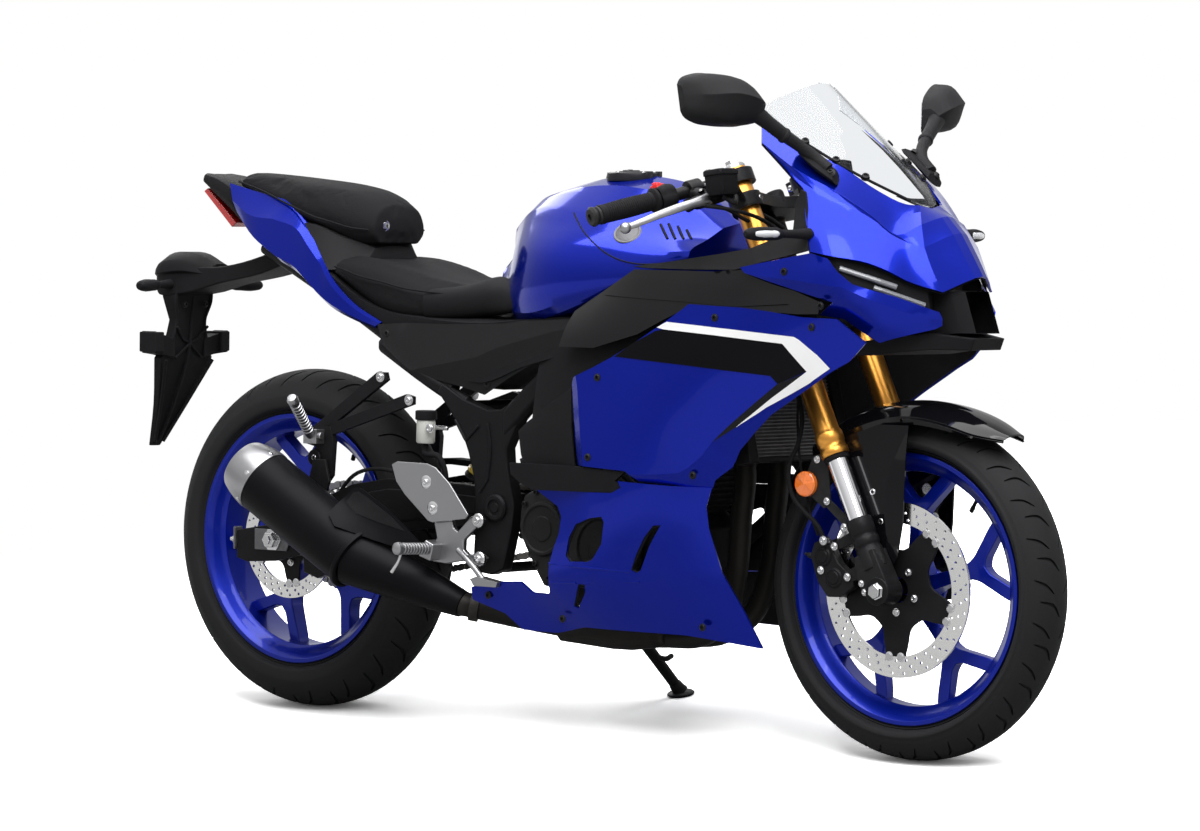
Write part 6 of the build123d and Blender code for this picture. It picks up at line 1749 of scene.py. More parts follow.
def fork():
    """Gold outer tubes with their collars, seals, bright sliders, axle castings, caps and clamps."""
    outer = turned([(18.6, 246), (23.4, 246), (24.6, 248), (24.6, 258), (23.2, 260), (23.2, 268),
        (24.6, 270), (24.6, 284), (23.4, 288), (21.5, 292), (21.5, 778), (20.5, 780), (0, 780)], *FORK_LEG,
        48)
    steered("fork_gold_tubes", outer.both(), "fork_gold", replaces=("fork_outer_tubes",), bevel=0.6)
    seal = turned([(18.2, 238), (21, 238), (22, 240), (22, 244), (20.5, 247), (18.2, 247)], *FORK_LEG, 40)
    steered("fork_dust_seals", seal.both(), "grip_rubber")
    slider = turned([(0, 124), (18, 124), (18, 256), (0, 256)], *FORK_LEG, 40)
    steered("fork_sliders", slider.both(), "chrome", replaces=("fork_inner_tubes",))
    caps = turned([(0, 779), (20.5, 779), (20.5, 784), (18, 787), (0, 787)], *FORK_LEG, 40)
    caps.join(turned([(0, 787), (12, 787), (12, 796), (10.5, 797), (0, 797)], *FORK_LEG, 6))
    steered("fork_caps", caps.both(), "steel", bevel=0.5)
    low = turned([(18.3, 131), (22, 130), (23, 127), (23, 104), (21.6, 102), (21.6, 97), (23, 95), (23, 84),
        (21.6, 82), (21.6, 77), (23, 75), (23, 40), (0, 40)], *FORK_LEG, 44)
    low.join(slab([(-22, 70), (20, 70), (23, 24), (24, 2), (18, -16), (2, -24), (-16, -18), (-24, -2),
        (-30, 14), (-30, 34)], 80, 120))
    low.join(turned([(9, 0), (24, 0), (24, 44), (9, 44)], (0, 78, 0), (0, 122, 0), 44))
    steered("fork_axle_castings", low.both(), "caliper_black", replaces=("fork_bottoms",), bevel=2.0)
    lugs = Form()
    for w0, w1 in ((38, 66), (98, 122)):
        lugs.join(slab([(-10, w0), (-60, w0 + 3), (-78, w0 + 8), (-78, w1 - 8), (-60, w1 - 3), (-10, w1)],
            -88, -80))
    steered("caliper_lugs", lugs, "caliper_black", bevel=2.0)
    screws = bolts(((-24, 120, 24), (-24, 120, 8)), (0, 1, 0), 4.4, 4)
    for x, w in ((33, 166), (28, 114)):
        screws.join(washer((x, 76, w), (0, 1, 0), 9.5, 1.6, 28))
        screws.join(bolt((x, 77.4, w), (0, 1, 0), 5.6, 4.4))
    steered("fork_screws", screws.both(), "steel")
    axle = bar((0, -122, 0), (0, 122, 0), 8.5)
    axle.join(turned([(0, 0), (14, 0), (14, 1.5), (12, 2), (12, 8), (7.5, 8), (7, 3), (0, 3)], (0, 121, 0),
        (0, 122, 0), 36))
    axle.join(turned([(0, 0), (15, 0), (15, 2), (12.5, 2.4), (12.5, 9), (11, 10), (0, 10)], (0, -121, 0),
        (0, -122, 0), 6))
    steered("front_axle_bar", axle, "steel", replaces=("front_axle",), bevel=0.6)

    plan = [(-64, -30), (-50, -66), (-30, -108), (-8, -128), (18, -124), (29, -104), (22, -78), (12, -40),
        (8, 0)]
    plan = plan + [(x, -y) for x, y in reversed(plan[:-1])]
    clamps = Form()
    for low_w, high_w in ((478, 504), (706, 728)):
        clamps.join(loft([[(x, y, w) for x, y in plan] for w in (low_w, high_w)], along=1, around=3))
    clamps.join(bar((-STEM_OFFSET, 0, 478), (-STEM_OFFSET, 0, 736), 15))
    for y in (-100, 100):
        for w in (478, 704):
            clamps.join(turned([(21.6, 0), (29, 0), (29, 26), (21.6, 26)], (0, y, w), (0, y, w + 1), 44))
    steered("fork_clamps", clamps, "caliper_black", replaces=("triple_clamps",), bevel=2.0)
    nut = turned([(0, 0), (20, 0), (20, 9), (17, 11), (8, 11), (7, 8), (0, 8)], (-STEM_OFFSET, 0, 730),
        (-STEM_OFFSET, 0, 731), 6)
    for y in (-100, 100):
        for w in (486, 496, 716):
            nut.join(bolt((26, y * 0.93, w), (1, 0, 0), 4, 3.4))
    steered("fork_clamp_nuts", nut, "steel")
    key = turned([(0, 0), (17, 0), (17, 20), (15, 24), (9, 24), (8, 20), (0, 20)], (-8, 0, 718),
        (-8, 0, 719), 32)
    key.join(block((-34, -46, 726), (-6, -20, 730)))
    steered("ignition_lock", key, "plastic_black", bevel=0.8)


def fender():
    """The gloss front fender: a crested arch with a pressed fold, a blunt tip and a leg each side."""
    x, z = FRONT["x"], FRONT["radius"]
    half = []
    for angle, section in ((129, ((0, 313), (26, 311), (50, 303), (69, 279), (70, 262))),
            (113, ((0, 316), (28, 314), (52, 306), (71.5, 282), (71, 262))),
            (98, ((0, 318), (30, 316), (54, 308), (73.5, 288), (71, 270))),
            (84, ((0, 321), (30, 318), (55, 311), (75, 296), (70, 283))),
            (71, ((0, 325), (28, 322), (51, 314), (70, 300), (64, 290))),
            (61, ((0, 330), (24, 327), (42, 319), (57, 306), (52, 300))),
            (53.4, ((0, 334), (12, 333), (22, 330), (30, 322), (27, 318)))):
        way = cos(radians(angle)), sin(radians(angle))
        half.append([(x + r * way[0], y, z + r * way[1]) for y, r in section])
    rows = [[(px, -py, pz) for px, py, pz in reversed(row[1:])] + row for row in half]
    arch = shell(rows, 3.0, (x, 0, z + 60), along=5, col_folds=(1, 4, 7))
    piece("front_fender_arch", arch, "gloss_black", "steering", replaces=("front_fender",), bevel=0.8,
        sharp=20)

    def depth(px, pz):
        fold = np.interp(np.asarray(pz, float), [333, 377, 419, 445, 479, 510, 570],
            [678, 680, 674, 675, 679, 691, 722])
        return 80.0 - 0.18 * np.clip(np.asarray(px, float) - fold, 0, None)

    leg = [(590, 548), (602, 492), (618, 452), (634, 415), (650, 368), (664, 330), (686, 324), (700, 349),
        (708, 404), (710, 463), (714, 518), (722, 572), (660, 572)]
    fold = [(678, 333), (680, 377), (674, 419), (675, 445), (679, 479), (691, 510), (718, 562)]
    form = panel(leg, depth, 3.2, folds=[fold], spacing=11.0)
    piece("front_fender_legs", form, "gloss_black", "steering", bevel=0.9, sharp=9)


def front_brake():
    """The front caliper with its bolts, line and guide, and the round orange reflector."""
    shape = [(-128, 116), (-112, 133), (-88, 131), (-80, 110), (-78, 82), (-60, 48), (-64, 33), (-98, 27),
        (-124, 38), (-132, 70)]
    body_form = slab(shape, -88, -69).join(slab(shape, -51, -36))
    body_form.join(slab([(-132, 66), (-124, 38), (-98, 27), (-96, 38), (-116, 48), (-122, 72), (-120, 104),
        (-130, 112)], -74, -46))
    steered("front_caliper_body", body_form, "caliper_black", replaces=("front_caliper",), bevel=3.0,
        segments=3)
    bosses = Form()
    for at in ((-103, -88, 104), (-96, -88, 62)):
        bosses.join(turned([(0, 5), (10, 5), (12, 3), (14, 3.6), (16, 2.4), (17.5, 0), (0, 0)],
            at, (at[0], at[1] - 1, at[2]), 36))
    bosses.join(turned([(0, 0), (5, 0), (5, 12), (3, 14), (3, 20), (0, 20)], (-126, -80, 112),
        (-138, -80, 122), 16))
    steered("front_caliper_bosses", bosses, "caliper_black", bevel=0.5)
    screws = bolts(((-68, -90, 52), (-72, -90, 110), (-116, -89, 84), (-30, -104, 128)), (0, -1, 0), 5.6, 4.4)
    steered("front_caliper_screws", screws, "steel")
    banjo = washer((-84, -90, 126), (0, -1, 0), 8, 9, 24)
    banjo.join(bolt((-84, -99, 126), (0, -1, 0), 5, 4))
    steered("brake_banjo", banjo, "steel")
    line = tube([(-34, -60, 486), (-40, -84, 410), (-44, -96, 330), (-66, -100, 296), (-94, -104, 270),
        (-106, -106, 240), (-108, -105, 214), (-98, -102, 184), (-86, -98, 156), (-84, -95, 132)],
        4.0, sides=12)
    line.join(tube([(-30, -70, 420), (-58, -92, 330), (-84, -92, 250), (-92, -90, 206), (-100, -86, 178),
        (-104, -80, 142)], 2.2, sides=8))
    steered("front_brake_line", line, "grip_rubber")
    stay = slab([(-20, 262), (-46, 266), (-84, 232), (-84, 216), (-62, 176), (-46, 174), (-40, 190),
        (-20, 244)], -98, -95)
    stay.join(slab([(-46, 190), (-56, 176), (-34, 130), (-20, 124), (-20, 140), (-34, 168)], -98, -95))
    steered("reflector_stay", stay, "stand_black", bevel=0.8)
    steered("reflector_stay_bolts", bolts(((-40, -98, 257), (-50, -98, 184)), (0, -1, 0), 5.2, 4), "steel")
    rim_form = turned([(20, 0), (21.5, 1), (21.5, 8), (19.5, 9.5), (19.5, 7), (0, 7), (0, 0)],
        (-76, -98, 227), (-76, -99, 227), 48)
    points, reach = [(-76, -110.5, 227)], 19.6
    for k in range(24):
        rise = 1.8 if k // 4 % 2 else 0.2
        points.append((-76 + reach * cos(pi * k / 12), -106.0 - rise, 227 + reach * sin(pi * k / 12)))
    facets = Form().add(points, [(0, 1 + k, 1 + (k + 1) % 24) for k in range(24)])
    facets.add([(-76, -105, 227)] + [(p[0], -105, p[2]) for p in points[1:]],
        [(0, 1 + (k + 1) % 24, 1 + k) for k in range(24)])
    steered("reflector_ring", rim_form, "reflector_orange")
    steered("reflector_facets", facets, "reflector_orange", sharp=10)


def blade(points, halves):
    """A flat oval lever through points, with (thickness, height) halves at each."""
    sides = 14
    line = spline(points, 6)
    spots = np.linspace(0, len(points) - 1, len(line))
    thick, high = (np.interp(spots, range(len(points)), part) for part in zip(*halves))
    rings = []
    for i, p in enumerate(line):
        way = Vector(line[min(i + 1, len(line) - 1)] - line[max(i - 1, 0)]).normalized()
        out = way.cross(Vector((0, 0, 1))).normalized()
        up = out.cross(way)
        rings += [Vector(p) + out * (thick[i] * cos(2 * pi * k / sides))
            + up * (high[i] * sin(2 * pi * k / sides)) for k in range(sides)]
    faces = grid_faces(len(line), sides, loop=True)
    faces += [tuple(range(sides))[::-1], tuple(len(rings) - sides + k for k in range(sides))]
    return Form().add(rings, faces)


def controls():
    """Clip-on bars, grips, levers, switch pods and the brake fluid cup."""
    bars_form = turned([(21.7, 0), (30, 0), (30, 24), (21.7, 24)], (0, 100, 750), (0, 100, 751), 44)
    bars_form.join(slab([(-40, 750), (-24, 750), (-24, 774), (-40, 774)], 90, 108))
    bars_form.join(bar(bar_point(0.07), bar_point(0.57), 11))
    steered("clip_on_bars", bars_form.both(), "caliper_black", replaces=("handlebars",), bevel=1.2)
    clamp_bolts = bolt((-32, 90, 762), (0, -1, 0), 4.6, 4)
    steered("clip_on_bolts", clamp_bolts.both(), "steel")

    start, end = bar_point(0.565), bar_point(0.95)
    length = (Vector(end) - Vector(start)).length
    ribs = [(11, 0), (20, 0), (22, 1.5), (22, 6), (19, 8.5), (16.2, 10)]
    count = 22
    for k in range(count):
        a = 14 + (length - 26) * k / count
        b = (length - 26) / count
        swell = 1.1 * sin(pi * k / count)
        ribs += [(16.2 + swell, a), (16.2 + swell, a + b * 0.6), (15.5 + swell, a + b * 0.68),
            (15.5 + swell, a + b * 0.92)]
    ribs += [(16.4, length - 10), (17, length - 6), (17, length - 1), (16, length), (11, length)]
    grip = turned(ribs, start, end, 36)
    steered("handle_grips", grip.both(), "grip_rubber", replaces=("grips",))
    weight = turned([(0, 0), (14, 0), (15.5, 1), (15.5, 5), (13.5, 7), (13.5, 9), (17, 11), (17.5, 14),
        (14, 18), (6, 19), (5, 16), (0, 16)], bar_point(0.948), bar_point(1.0), 32)
    steered("bar_end_weights", weight.both(), "stand_black")

    shape = [bar_point(0.27, 14, 24), bar_point(0.37, 40, 31), bar_point(0.48, 47, 33),
        bar_point(0.60, 49, 35), bar_point(0.72, 45, 37), bar_point(0.83, 40, 40), bar_point(0.92, 37, 42)]
    lever = blade(shape, [(5, 12), (5.5, 11), (4.5, 8), (4.2, 8), (4, 7), (3.6, 6.2), (3.4, 5.4)])
    tip = Vector(bar_point(0.93, 37, 42))
    ball = turned([(10 * sin(pi * k / 12), 10 - 10 * cos(pi * k / 12)) for k in range(13)],
        tip - Vector((0, 10, 0)), tip, 24)
    steered("brake_and_clutch_levers", lever.join(ball).both(), "peg_aluminium", replaces=("levers",),
        bevel=0.3)
    adjust = turned(round_profile(9, 12), bar_point(0.49, 30, 34), bar_point(0.49, 50, 34), 20)
    steered("lever_adjusters", adjust.both(), "stand_black", bevel=0.5)
    perch = turned([(11.2, 0), (18, 0), (19, 1), (19, 24), (18, 25), (11.2, 25)], bar_point(0.27),
        bar_point(0.37), 28)
    perch.join(blade([bar_point(0.33, 6, 6), bar_point(0.33, 20, 18), bar_point(0.36, 34, 28)],
        [(15, 12), (14, 12), (12, 10)]))
    perch.join(blade([bar_point(0.14, 34, 26), bar_point(0.26, 33, 28), bar_point(0.42, 31, 30),
        bar_point(0.46, 32, 30)], [(9, 9), (12, 12), (12, 12), (9, 9)]))
    steered("lever_perches", perch.both(), "caliper_black", bevel=0.8)
    pivots = bolts((bar_point(0.38, 36, 14), bar_point(0.30, 26, 4)), (0, 0, 1))
    steered("lever_pivot_bolts", pivots.both(), "steel")

    def pod(share_from, share_to, halves, lift=0.0):
        spot, tip_at = bar_point(share_from), bar_point(share_to)
        place = aim(spot, tip_at)
        reach = (Vector(tip_at) - Vector(spot)).length
        rings = []
        for t, k in ((0, 0.86), (0.12, 1.0), (0.88, 1.0), (1.0, 0.90)):
            a, b = halves[0] * k, halves[1] * k
            rings.append([(a * cos(q) * (1 + 0.16 * abs(sin(2 * q))),
                b * sin(q) * (1 + 0.16 * abs(sin(2 * q))) + lift, t * reach) for q in (2 * pi * m / 16
                for m in range(16))])
        return Form().join(loft(rings, along=2, around=2), place)

    throttle = pod(0.45, 0.555, (20, 19)).join(pod(0.50, 0.51, (21.2, 20.2)))
    steered("throttle_housing", right(throttle), "plastic_black", bevel=1.0)
    cluster = pod(0.41, 0.555, (19.5, 21)).join(pod(0.47, 0.475, (20.5, 22)))
    steered("switch_cluster", cluster, "plastic_black", bevel=1.0)

    def key_block(share, ahead, drop, half):
        at = Vector(bar_point(share, ahead, drop))
        return block(at - Vector(half), at + Vector(half))

    steered("kill_switch", right(key_block(0.485, -14, -25, (8, 11, 4)).join(key_block(0.485, -14, -30,
        (3, 10, 3)))), "switch_red", bevel=1.6, segments=3)
    buttons = right(key_block(0.50, -24, 2, (4, 9, 6)))
    buttons.join(key_block(0.46, -23, -2, (4, 8, 7))).join(key_block(0.50, -22, 14, (4, 10, 4)))
    buttons.join(key_block(0.45, -14, -24, (6, 9, 3)))
    steered("switch_buttons", buttons, "grip_rubber", bevel=1.4)

    place = Matrix.Translation((28, -188, 742)) @ Matrix.Rotation(radians(17), 4, "Y")

    def cup(z, grow=0.0):
        a, b = 20 + grow, 25 + grow
        return [(-a + 5, -b, z), (a - 5, -b, z), (a, -b + 5, z), (a, b - 5, z), (a - 5, b, z),
            (-a + 5, b, z), (-a, b - 5, z), (-a, -b + 5, z)]

    flat = tuple(range(8))
    fluid = loft([cup(-22, -3), cup(-14, -0.5), cup(12, 0)], along=1, around=1, corners=flat)
    fluid.join(loft([cup(12, 1.4), cup(19, 1.4), cup(22, 0)], along=1, around=1, corners=flat))
    steered("brake_cup", Form().join(fluid, place), "plastic_black", replaces=("brake_reservoir",), bevel=1.0)
    screws = bolts(((-12, -18, 22), (12, 18, 22)), (0, 0, 1), 3, 1.6)
    steered("brake_cup_screws", Form().join(screws, place), "steel")
    arm = tube([(20, -170, 716), (8, -160, 728), (bar_point(0.24, 6)[0], -164, 738)], 5.5, sides=10)
    arm.join(tube([(18, -182, 722), (26, -170, 706), (22, -156, 716), (bar_point(0.17, 32)[0], -146, 731)],
        5, sides=12))
    steered("brake_cup_stay", arm, "stand_black")

    hoses = Form()
    x, y, z = bar_point(0.14, 34, 26)
    hoses.join(tube([(x, -y, z), (12, -112, 704), (18, -66, 676), (26, -48, 650), (26, -40, 632)],
        4.0, sides=12))
    hoses.join(tube([(bar_point(0.45, 10, 20)[0], -221, 734), (24, -190, 694), (32, -130, 676),
        (28, -70, 650), (26, -30, 630)], 3.4, sides=10))
    hoses.join(tube([(bar_point(0.45, 16, 16)[0], -221, 736), (10, -180, 702), (6, -124, 682),
        (16, -62, 658), (32, -20, 636)], 3.4, sides=10))
    hoses.join(tube([(x, y, z), (14, 104, 704), (20, 64, 680), (28, 46, 650), (26, 36, 632)], 3.4, sides=10))
    hoses.join(tube([(bar_point(0.42, -6, 20)[0], 214, 734), (6, 170, 712), (8, 112, 688), (18, 52, 658),
        (26, 20, 634)], 4.2, sides=10))
    steered("bar_hoses", hoses, "grip_rubber")


MIRROR_HEAD = [(250, (504, 1110), (522, 1112), (540, 1100), (530, 1080), (502, 1076)),
               (262, (496, 1128), (528, 1129), (551, 1109), (531, 1079), (494, 1071)),
               (290, (487, 1147), (526, 1146), (554, 1118), (528, 1078), (483, 1069)),
               (322, (476, 1157), (514, 1153), (545, 1124), (523, 1081), (475, 1070)),
               (356, (461, 1156), (490, 1152), (515, 1122), (501, 1086), (468, 1075)),
               (376, (455, 1147), (471, 1145), (484, 1121), (482, 1094), (464, 1085)),
               (382, (455, 1138), (464, 1136), (472, 1120), (471, 1102), (463, 1094))]


def mirrors():
    """The mirrors: faceted heads with glass behind, jointed stalks and bolted pods on the nose."""
    head = loft([[(x, y, z) for x, z in section] for y, *section in MIRROR_HEAD], along=5, corners=(0, 2, 4))
    piece("mirror_heads", head.both(), "cover_grey", replaces=("mirrors",), bevel=1.6, segments=3, sharp=22)
    rows = []
    for y, top, _, _, _, low in MIRROR_HEAD[1:-1]:
        a, b = Vector((top[0], y, top[1])), Vector((low[0], y, low[1]))
        rows.append([tuple(a.lerp(b, t) + Vector((-1.6, 0, 0))) for t in (0.08, 0.5, 0.92)])
    piece("mirror_glass", shell(rows, 2.0, (560, 318, 1110)).both(), "chrome")
    stalk = tube([(598, 148, 1001), (574, 156, 1020), (560, 172, 1036), (545, 206, 1058)], [11, 11, 10, 11],
        sides=18)
    stalk.join(tube([(545, 206, 1058), (536, 236, 1077), (528, 262, 1094)], [12, 12.5, 15], sides=18))
    stalk.join(turned([(0, 0), (12, 0), (13.5, 3), (13.5, 7), (12, 10), (0, 10)], (548, 200, 1054),
        (542, 210, 1061), 24))
    piece("mirror_stalks", stalk.both(), "cover_grey", bevel=0.6)
    pod = loft([[(538, 142, 1040), (552, 176, 1030), (560, 172, 1020), (546, 138, 1032)],
        [(566, 140, 1026), (580, 172, 1008), (584, 166, 998), (570, 134, 1016)],
        [(606, 136, 1000), (614, 158, 982), (616, 150, 974), (606, 128, 990)]], around=3)
    piece("mirror_pods", pod.both(), "plastic_black", bevel=1.4)
    fixings, out = Form(), (0.35, 0.6, 0.72)
    for x, y, z in ((553, 162, 1032), (604, 150, 992)):
        fixings.join(facing([(0, 0), (9, 0), (9, 4), (8, 5), (0, 5)], (x, y, z), out, 20))
        fixings.join(bolt((x + 1.7, y + 3.0, z + 3.6), out, 5, 4))
    piece("mirror_pod_bolts", fixings.both(), "caliper_black")


def indicator(root, tip, high=11.0, wide=13.0):
    """The rounded body of one indicator, for its housing or its lens, from part way along its stalk to the
    tip.
    """
    a, b = Vector(root), Vector(tip)
    start = a.lerp(b, 0.42)
    place = aim(start, tip)
    length = (b - start).length
    rings = []
    for t, k in ((0, 0.5), (0.1, 0.86), (0.35, 1.0), (0.8, 0.96), (0.95, 0.7), (1.0, 0.4)):
        rings.append([(wide * k * cos(q), high * k * sin(q), t * length) for q in (2 * pi * m / 12
            for m in range(12))])
    return Form().join(loft(rings, along=3, around=2), place)


def lighting():
    """Four indicators on stalks, and the meter behind the screen."""
    housings, stalks, lenses, clear = Form(), Form(), Form(), Form()
    for root, tip in (((-1026, 49.5, 780), (-992, 168, 778)), ((599, 201, 892), (571, 340, 891))):
        a, b = Vector(root), Vector(tip)
        housings.join(indicator(root, tip))
        stalks.join(tube([a, a.lerp(b, 0.25), a.lerp(b, 0.46)], [10, 7.5, 7]))
        ahead = 1 if root[0] > 0 else -1
        shift = Vector((ahead * 3.4, 0, 0))
        start, end = a.lerp(b, 0.50) + shift, a.lerp(b, 0.95) + shift
        lens = indicator(start - (end - start) * 0.72, end, 8.2, 11.0)
        (clear if ahead > 0 else lenses).join(lens)
    piece("indicator_housings", housings.both(), "plastic_black", replaces=("indicators",), bevel=0.6)
    piece("indicator_stalks", stalks.both(), "grip_rubber")
    piece("rear_indicator_lenses", lenses.both(), "lens_smoked")
    piece("front_indicator_lenses", clear.both(), "lens_white")
    meter = loft([across((480, 76, 960), (464, 76, 1020)), across((500, 66, 955), (488, 66, 1018)),
        across((508, 48, 958), (496, 48, 1010))], along=3, around=1, corners=SQUARE, folds=(1,))
    piece("meter_case", meter, "plastic_black", replaces=("instrument_panel",), bevel=4.0, segments=3)
    glass = loft([across((479.5, 68, 964), (464.8, 68, 1015)), across((477.5, 68, 963), (462.8, 68, 1014))],
        along=1, around=1, corners=SQUARE)
    piece("meter_display", glass, "gloss_black", bevel=0.6)
    stay = Form()
    for y in (-30, 30):
        stay.join(tube([(500, y, 974), (560, y, 900), (640, y * 0.7, 800), (699, y * 0.5, 772)], 6, sides=12))
    stay.join(bar((560, -40, 900), (560, 40, 900), 6))
    piece("nose_stay", stay, "stand_black")


def tail_end():
    """The dark tail tray, its hood above the lamp, and the long licence plate bracket with its ribs."""
    table = [(-948, (30, 972), (44, 976), (40, 988), (14, 990)), (-912, (38, 948), (52, 956), (50, 982),
        (18, 984)), (-856, (54, 916), (66, 926), (66, 962), (20, 966)), (-790, (58, 868), (72, 880),
        (72, 904), (20, 908)), (-700, (60, 844), (84, 852), (84, 872), (24, 876)),
        (-560, (60, 780), (90, 790), (90, 812), (24, 816))]
    form = loft([ring(x, *half) for x, *half in table], around=3, corners=(0, 7))
    piece("tail_tray_shell", form, "plastic_black", replaces=("tail_tray",), bevel=1.4, sharp=30)
    arm = loft([across((-720, 50, 862), (-720, 52, 826)), across((-800, 45, 836), (-800, 48, 802)),
        across((-900, 40, 816), (-900, 46, 784)), across((-1000, 44, 812), (-1000, 50, 762)),
        across((-1056, 50, 806), (-1056, 50, 760)), across((-1074, 38, 800), (-1074, 38, 770))], around=1,
        corners=SQUARE)
    piece("plate_holder_arm", arm, "plastic_black", replaces=("licence_bracket",), bevel=4.0, segments=3)
    hood = loft([across((-940, 30, 812), (-940, 42, 800)), across((-1000, 44, 826), (-1000, 52, 806)),
        across((-1058, 46, 820), (-1058, 54, 800)), across((-1080, 34, 808), (-1080, 36, 798))], around=3)
    piece("plate_lamp_hood", hood, "plastic_black", bevel=1.2)
    levels = ((-1050, 46, -1006, 46, 790), (-1046, 50, -1012, 50, 756), (-1040, 38, -1018, 38, 712),
        (-1044, 46, -1022, 46, 676), (-1048, 70, -1028, 70, 640), (-1080, 38, -1066, 38, 552),
        (-1116, 12, -1106, 10, 470))
    flap = loft([across((back, wide, z), (front, slim, z)) for back, wide, front, slim, z in levels],
        along=3, around=1, corners=SQUARE, folds=(1, 2, 4))
    piece("plate_holder_flap", flap, "plastic_black", bevel=2.0)
    lugs = loft([[(-1052, 40, 676), (-1020, 40, 676), (-1020, 40, 640), (-1052, 40, 640)],
        [(-1050, 70, 684), (-1018, 70, 684), (-1022, 70, 646), (-1052, 70, 646)],
        [(-1052, 100, 692), (-1014, 100, 692), (-1014, 100, 650), (-1052, 100, 650)]], along=2, around=1,
        corners=SQUARE)
    lugs.join(block((-1056, 78, 652), (-1012, 102, 690)))
    piece("plate_holder_lugs", lugs.both(), "plastic_black", bevel=2.4, segments=3)
    ribs = tube([(-1013, 0, 780), (-1017, 0, 712), (-1021, 0, 668), (-1057, 0, 560), (-1099, 0, 480)],
        3.2, sides=8)
    side_ribs = tube([(-1014, 42, 700), (-1020, 20, 676), (-1022, 0, 668)], 2.6, sides=8, breaks=(1,))
    side_ribs.join(tube([(-1022, 64, 636), (-1060, 36, 556), (-1100, 11, 478)], 3.4, sides=8))
    side_ribs.join(tube([(-1020, 0, 668), (-1024, 36, 640)], 2.6, sides=8))
    side_ribs.join(tube([(-1010, 46, 786), (-1012, 48, 748), (-1018, 38, 712), (-1022, 46, 676)],
        3.0, sides=8))
    piece("plate_holder_ribs", ribs.join(side_ribs.both()), "plastic_black")
    piece("plate_holder_slot", block((-1062, -6, 596), (-1048, 6, 616)), "stand_black", bevel=0.8)
    screws = bolts(((-1008, 28, 742), (-1008, 30, 776)), (1, 0, 0))
    piece("plate_holder_screws", screws.both(), "caliper_black")


def cockpit():
    """The matte grey trims between nose and tank."""
    depth = surface((219, 194, 831), (250, 196, 832), (339, 200, 831), (447, 204, 832), (477, 205, 839),
        (602, 207, 867), (583, 189, 965), (556, 180, 940), (562, 194, 897), (477, 198, 866),
        (406, 196, 855), (318, 194, 843))
    outline = [(556, 944), (572, 966), (583, 962), (604, 864), (477, 836), (447, 829), (339, 828),
        (250, 829), (219, 831), (318, 843), (406, 855), (477, 866), (562, 897)]
    fold = [(558, 900), (602, 866)]
    piece("cockpit_trims", panel(outline, depth, 4.0, folds=[fold], lift=3.0), "cover_grey", bevel=1.2,
        sharp=14)


def riding_gear():
    """Everything the rider holds or looks at, with what turns with the fork and the tail's end."""
    fork()
    fender()
    front_brake()
    controls()
    mirrors()
    lighting()
    tail_end()
    cockpit()


riding_gear()


# ---------------------------------------------------------------- camera, floor and lamps
CAMERA_AT = Vector((5819.6, -7157.8, 910.9))
CAMERA_ANGLES = 39.170, 2.157, 0.673  # round the bike from its right, above it, and tilted
FOCAL_PIXELS, PICTURE_WIDTH, SENSOR = 5187.0, 1200.0, 36.0
ROOM_LIGHT = 0.48
FLOOR_SEEN, FLOOR_BOUNCE = 1.9, 0.30  # how pale the floor looks, and how much it throws back onto the bike
FLOOR_EDGE = 1.3, 2.4  # metres over which the floor turns plain white


def seen_rays(tree):
    """1 for rays from the camera, off metal or through glass, 0 for the light that falls on things."""
    path = node(tree, "LightPath")
    direct = node(tree, "Math", [(0, path.outputs["Is Camera Ray"]),
        (1, path.outputs["Is Transmission Ray"])], operation="MAXIMUM").outputs[0]
    return path, direct, node(tree, "Math", [(0, direct), (1, path.outputs["Is Glossy Ray"])],
        operation="MAXIMUM").outputs[0]


def floor_white():
    """A pale floor that holds the bike's shadow and turns plain white away from it."""
    pale = bpy.data.materials.new("floor_white")
    pale.use_nodes = True
    tree = pale.node_tree
    tree.nodes.remove(tree.nodes["Principled BSDF"])
    lit = node(tree, "BsdfDiffuse")
    _, direct, seen = seen_rays(tree)
    tone = node(tree, "Mix", [(0, direct), (6, (*[FLOOR_BOUNCE] * 3, 1)), (7, (*[FLOOR_SEEN] * 3, 1))],
        data_type="RGBA")
    tree.links.new(tone.outputs[2], lit.inputs["Color"])
    where = node(tree, "TexCoord").outputs["Object"]
    away = node(tree, "VectorMath", [(0, where)], operation="LENGTH")
    far = node(tree, "MapRange", [("Value", away.outputs["Value"]), ("From Min", FLOOR_EDGE[0]),
        ("From Max", FLOOR_EDGE[1])], interpolation_type="SMOOTHSTEP")
    share = node(tree, "Math", [(0, far.outputs[0]), (1, seen)], operation="MULTIPLY")
    white = node(tree, "Emission", [("Color", (1, 1, 1, 1)), ("Strength", 1.0)])
    mixed = node(tree, "MixShader", [(0, share.outputs[0]), (1, lit.outputs[0]), (2, white.outputs[0])])
    tree.links.new(mixed.outputs[0], tree.nodes["Material Output"].inputs["Surface"])
    return pale


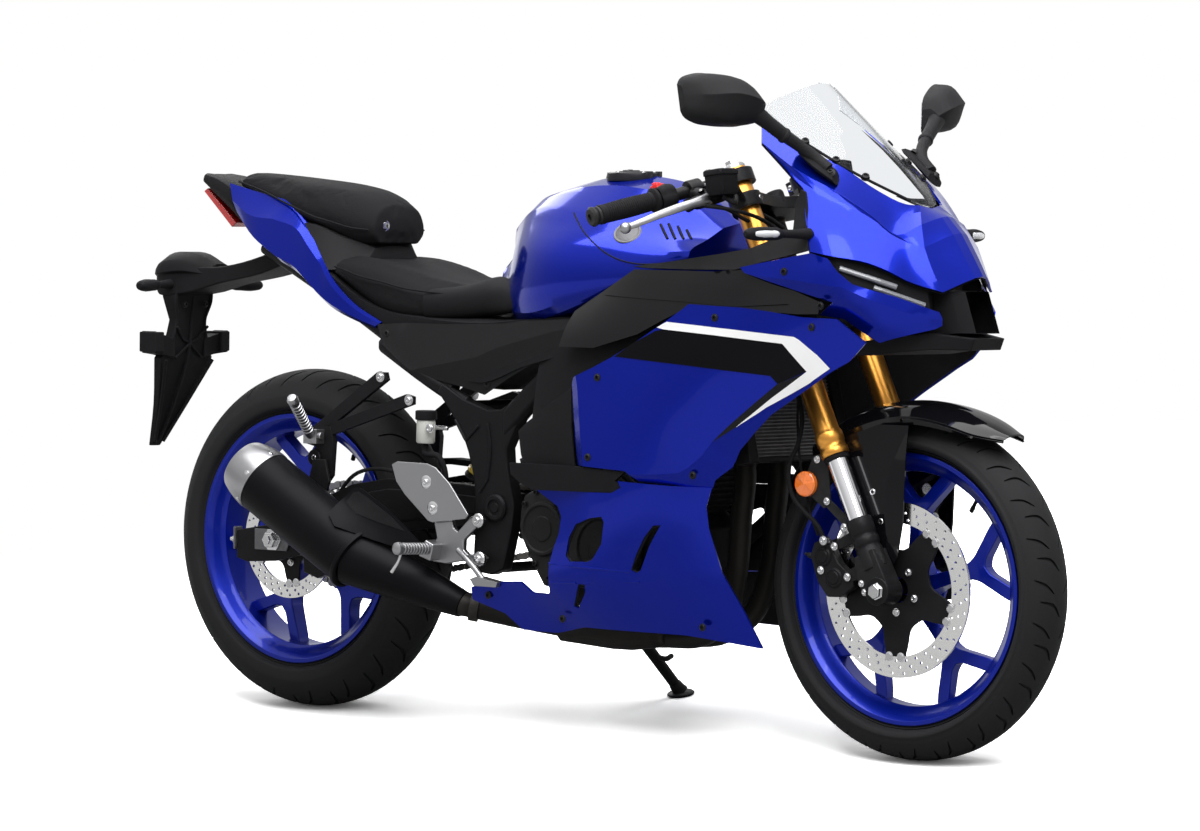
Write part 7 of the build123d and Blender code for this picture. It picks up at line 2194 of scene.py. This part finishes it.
def room():
    """A dim, even room for the light, and the white backdrop where it is seen, softer low down in gloss."""
    world = bpy.data.worlds.new("studio")
    bpy.context.scene.world = world
    world.use_nodes = True
    tree = world.node_tree
    lamp = tree.nodes["Background"]
    lamp.inputs["Color"].default_value = (1, 1, 1, 1)
    lamp.inputs["Strength"].default_value = ROOM_LIGHT
    path, _, seen = seen_rays(tree)
    height = node(tree, "SeparateXYZ", [(0, node(tree, "TexCoord").outputs["Generated"])])
    soft = node(tree, "MapRange", [("Value", height.outputs[2]), ("From Min", 0.0), ("From Max", 0.7),
        ("To Min", 0.5), ("To Max", 1.0)], interpolation_type="SMOOTHSTEP")
    level = node(tree, "Mix", [(0, path.outputs["Is Glossy Ray"]), (2, 1.0), (3, soft.outputs[0])],
        data_type="FLOAT")
    backdrop = node(tree, "Background", [("Color", (1, 1, 1, 1)), ("Strength", level.outputs[0])])
    mixed = node(tree, "MixShader", [(0, seen), (1, lamp.outputs[0]), (2, backdrop.outputs[0])])
    tree.links.new(mixed.outputs[0], tree.nodes["World Output"].inputs["Surface"])


def studio():
    """The camera, carried with the lean, a pale floor and three soft lamps."""
    azimuth, elevation, roll = (radians(a) for a in CAMERA_ANGLES)
    back = Vector((sin(azimuth) * cos(elevation), -cos(azimuth) * cos(elevation), sin(elevation)))
    aside = (-back).cross(Vector((0, 0, 1))).normalized()
    up = aside.cross(-back)
    turned_aside = aside * cos(roll) + up * sin(roll)
    turned_up = up * cos(roll) - aside * sin(roll)
    turn = Matrix((turned_aside, turned_up, back)).transposed().to_4x4()
    data = bpy.data.cameras.new("camera")
    data.sensor_width = SENSOR
    data.lens = FOCAL_PIXELS * SENSOR / PICTURE_WIDTH
    data.clip_end = 100.0
    camera = bpy.data.objects.new("camera", data)
    lean_turn = STOOD.to_3x3().to_4x4()
    camera.matrix_world = Matrix.Translation(TO_FRAME @ CAMERA_AT) @ lean_turn @ turn
    bpy.context.scene.collection.objects.link(camera)
    bpy.context.scene.camera = camera

    floor_mesh = bpy.data.meshes.new("floor")
    floor_mesh.from_pydata([(-40, -40, 0), (40, -40, 0), (40, 40, 0), (-40, 40, 0)], [], [(0, 1, 2, 3)])
    floor = bpy.data.objects.new("floor", floor_mesh)
    bpy.context.scene.collection.objects.link(floor)
    floor_mesh.materials.append(floor_white())
    room()
    for name, place, size, power in (("lamp_top", (0.5, -0.3, 3.4), 3.6, 235.0),
            ("lamp_front", (3.4, -2.0, 4.2), 2.2, 105.0), ("lamp_back", (-3.4, 2.4, 2.8), 2.2, 50.0)):
        light = bpy.data.lights.new(name, "AREA")
        light.size, light.energy = size, power
        obj = bpy.data.objects.new(name, light)
        obj.location = place
        obj.rotation_euler = (Vector(place) - Vector((0, 0, 0.5))).to_track_quat("Z", "Y").to_euler()
        bpy.context.scene.collection.objects.link(obj)
    bpy.context.scene.view_settings.view_transform = "Standard"


studio()
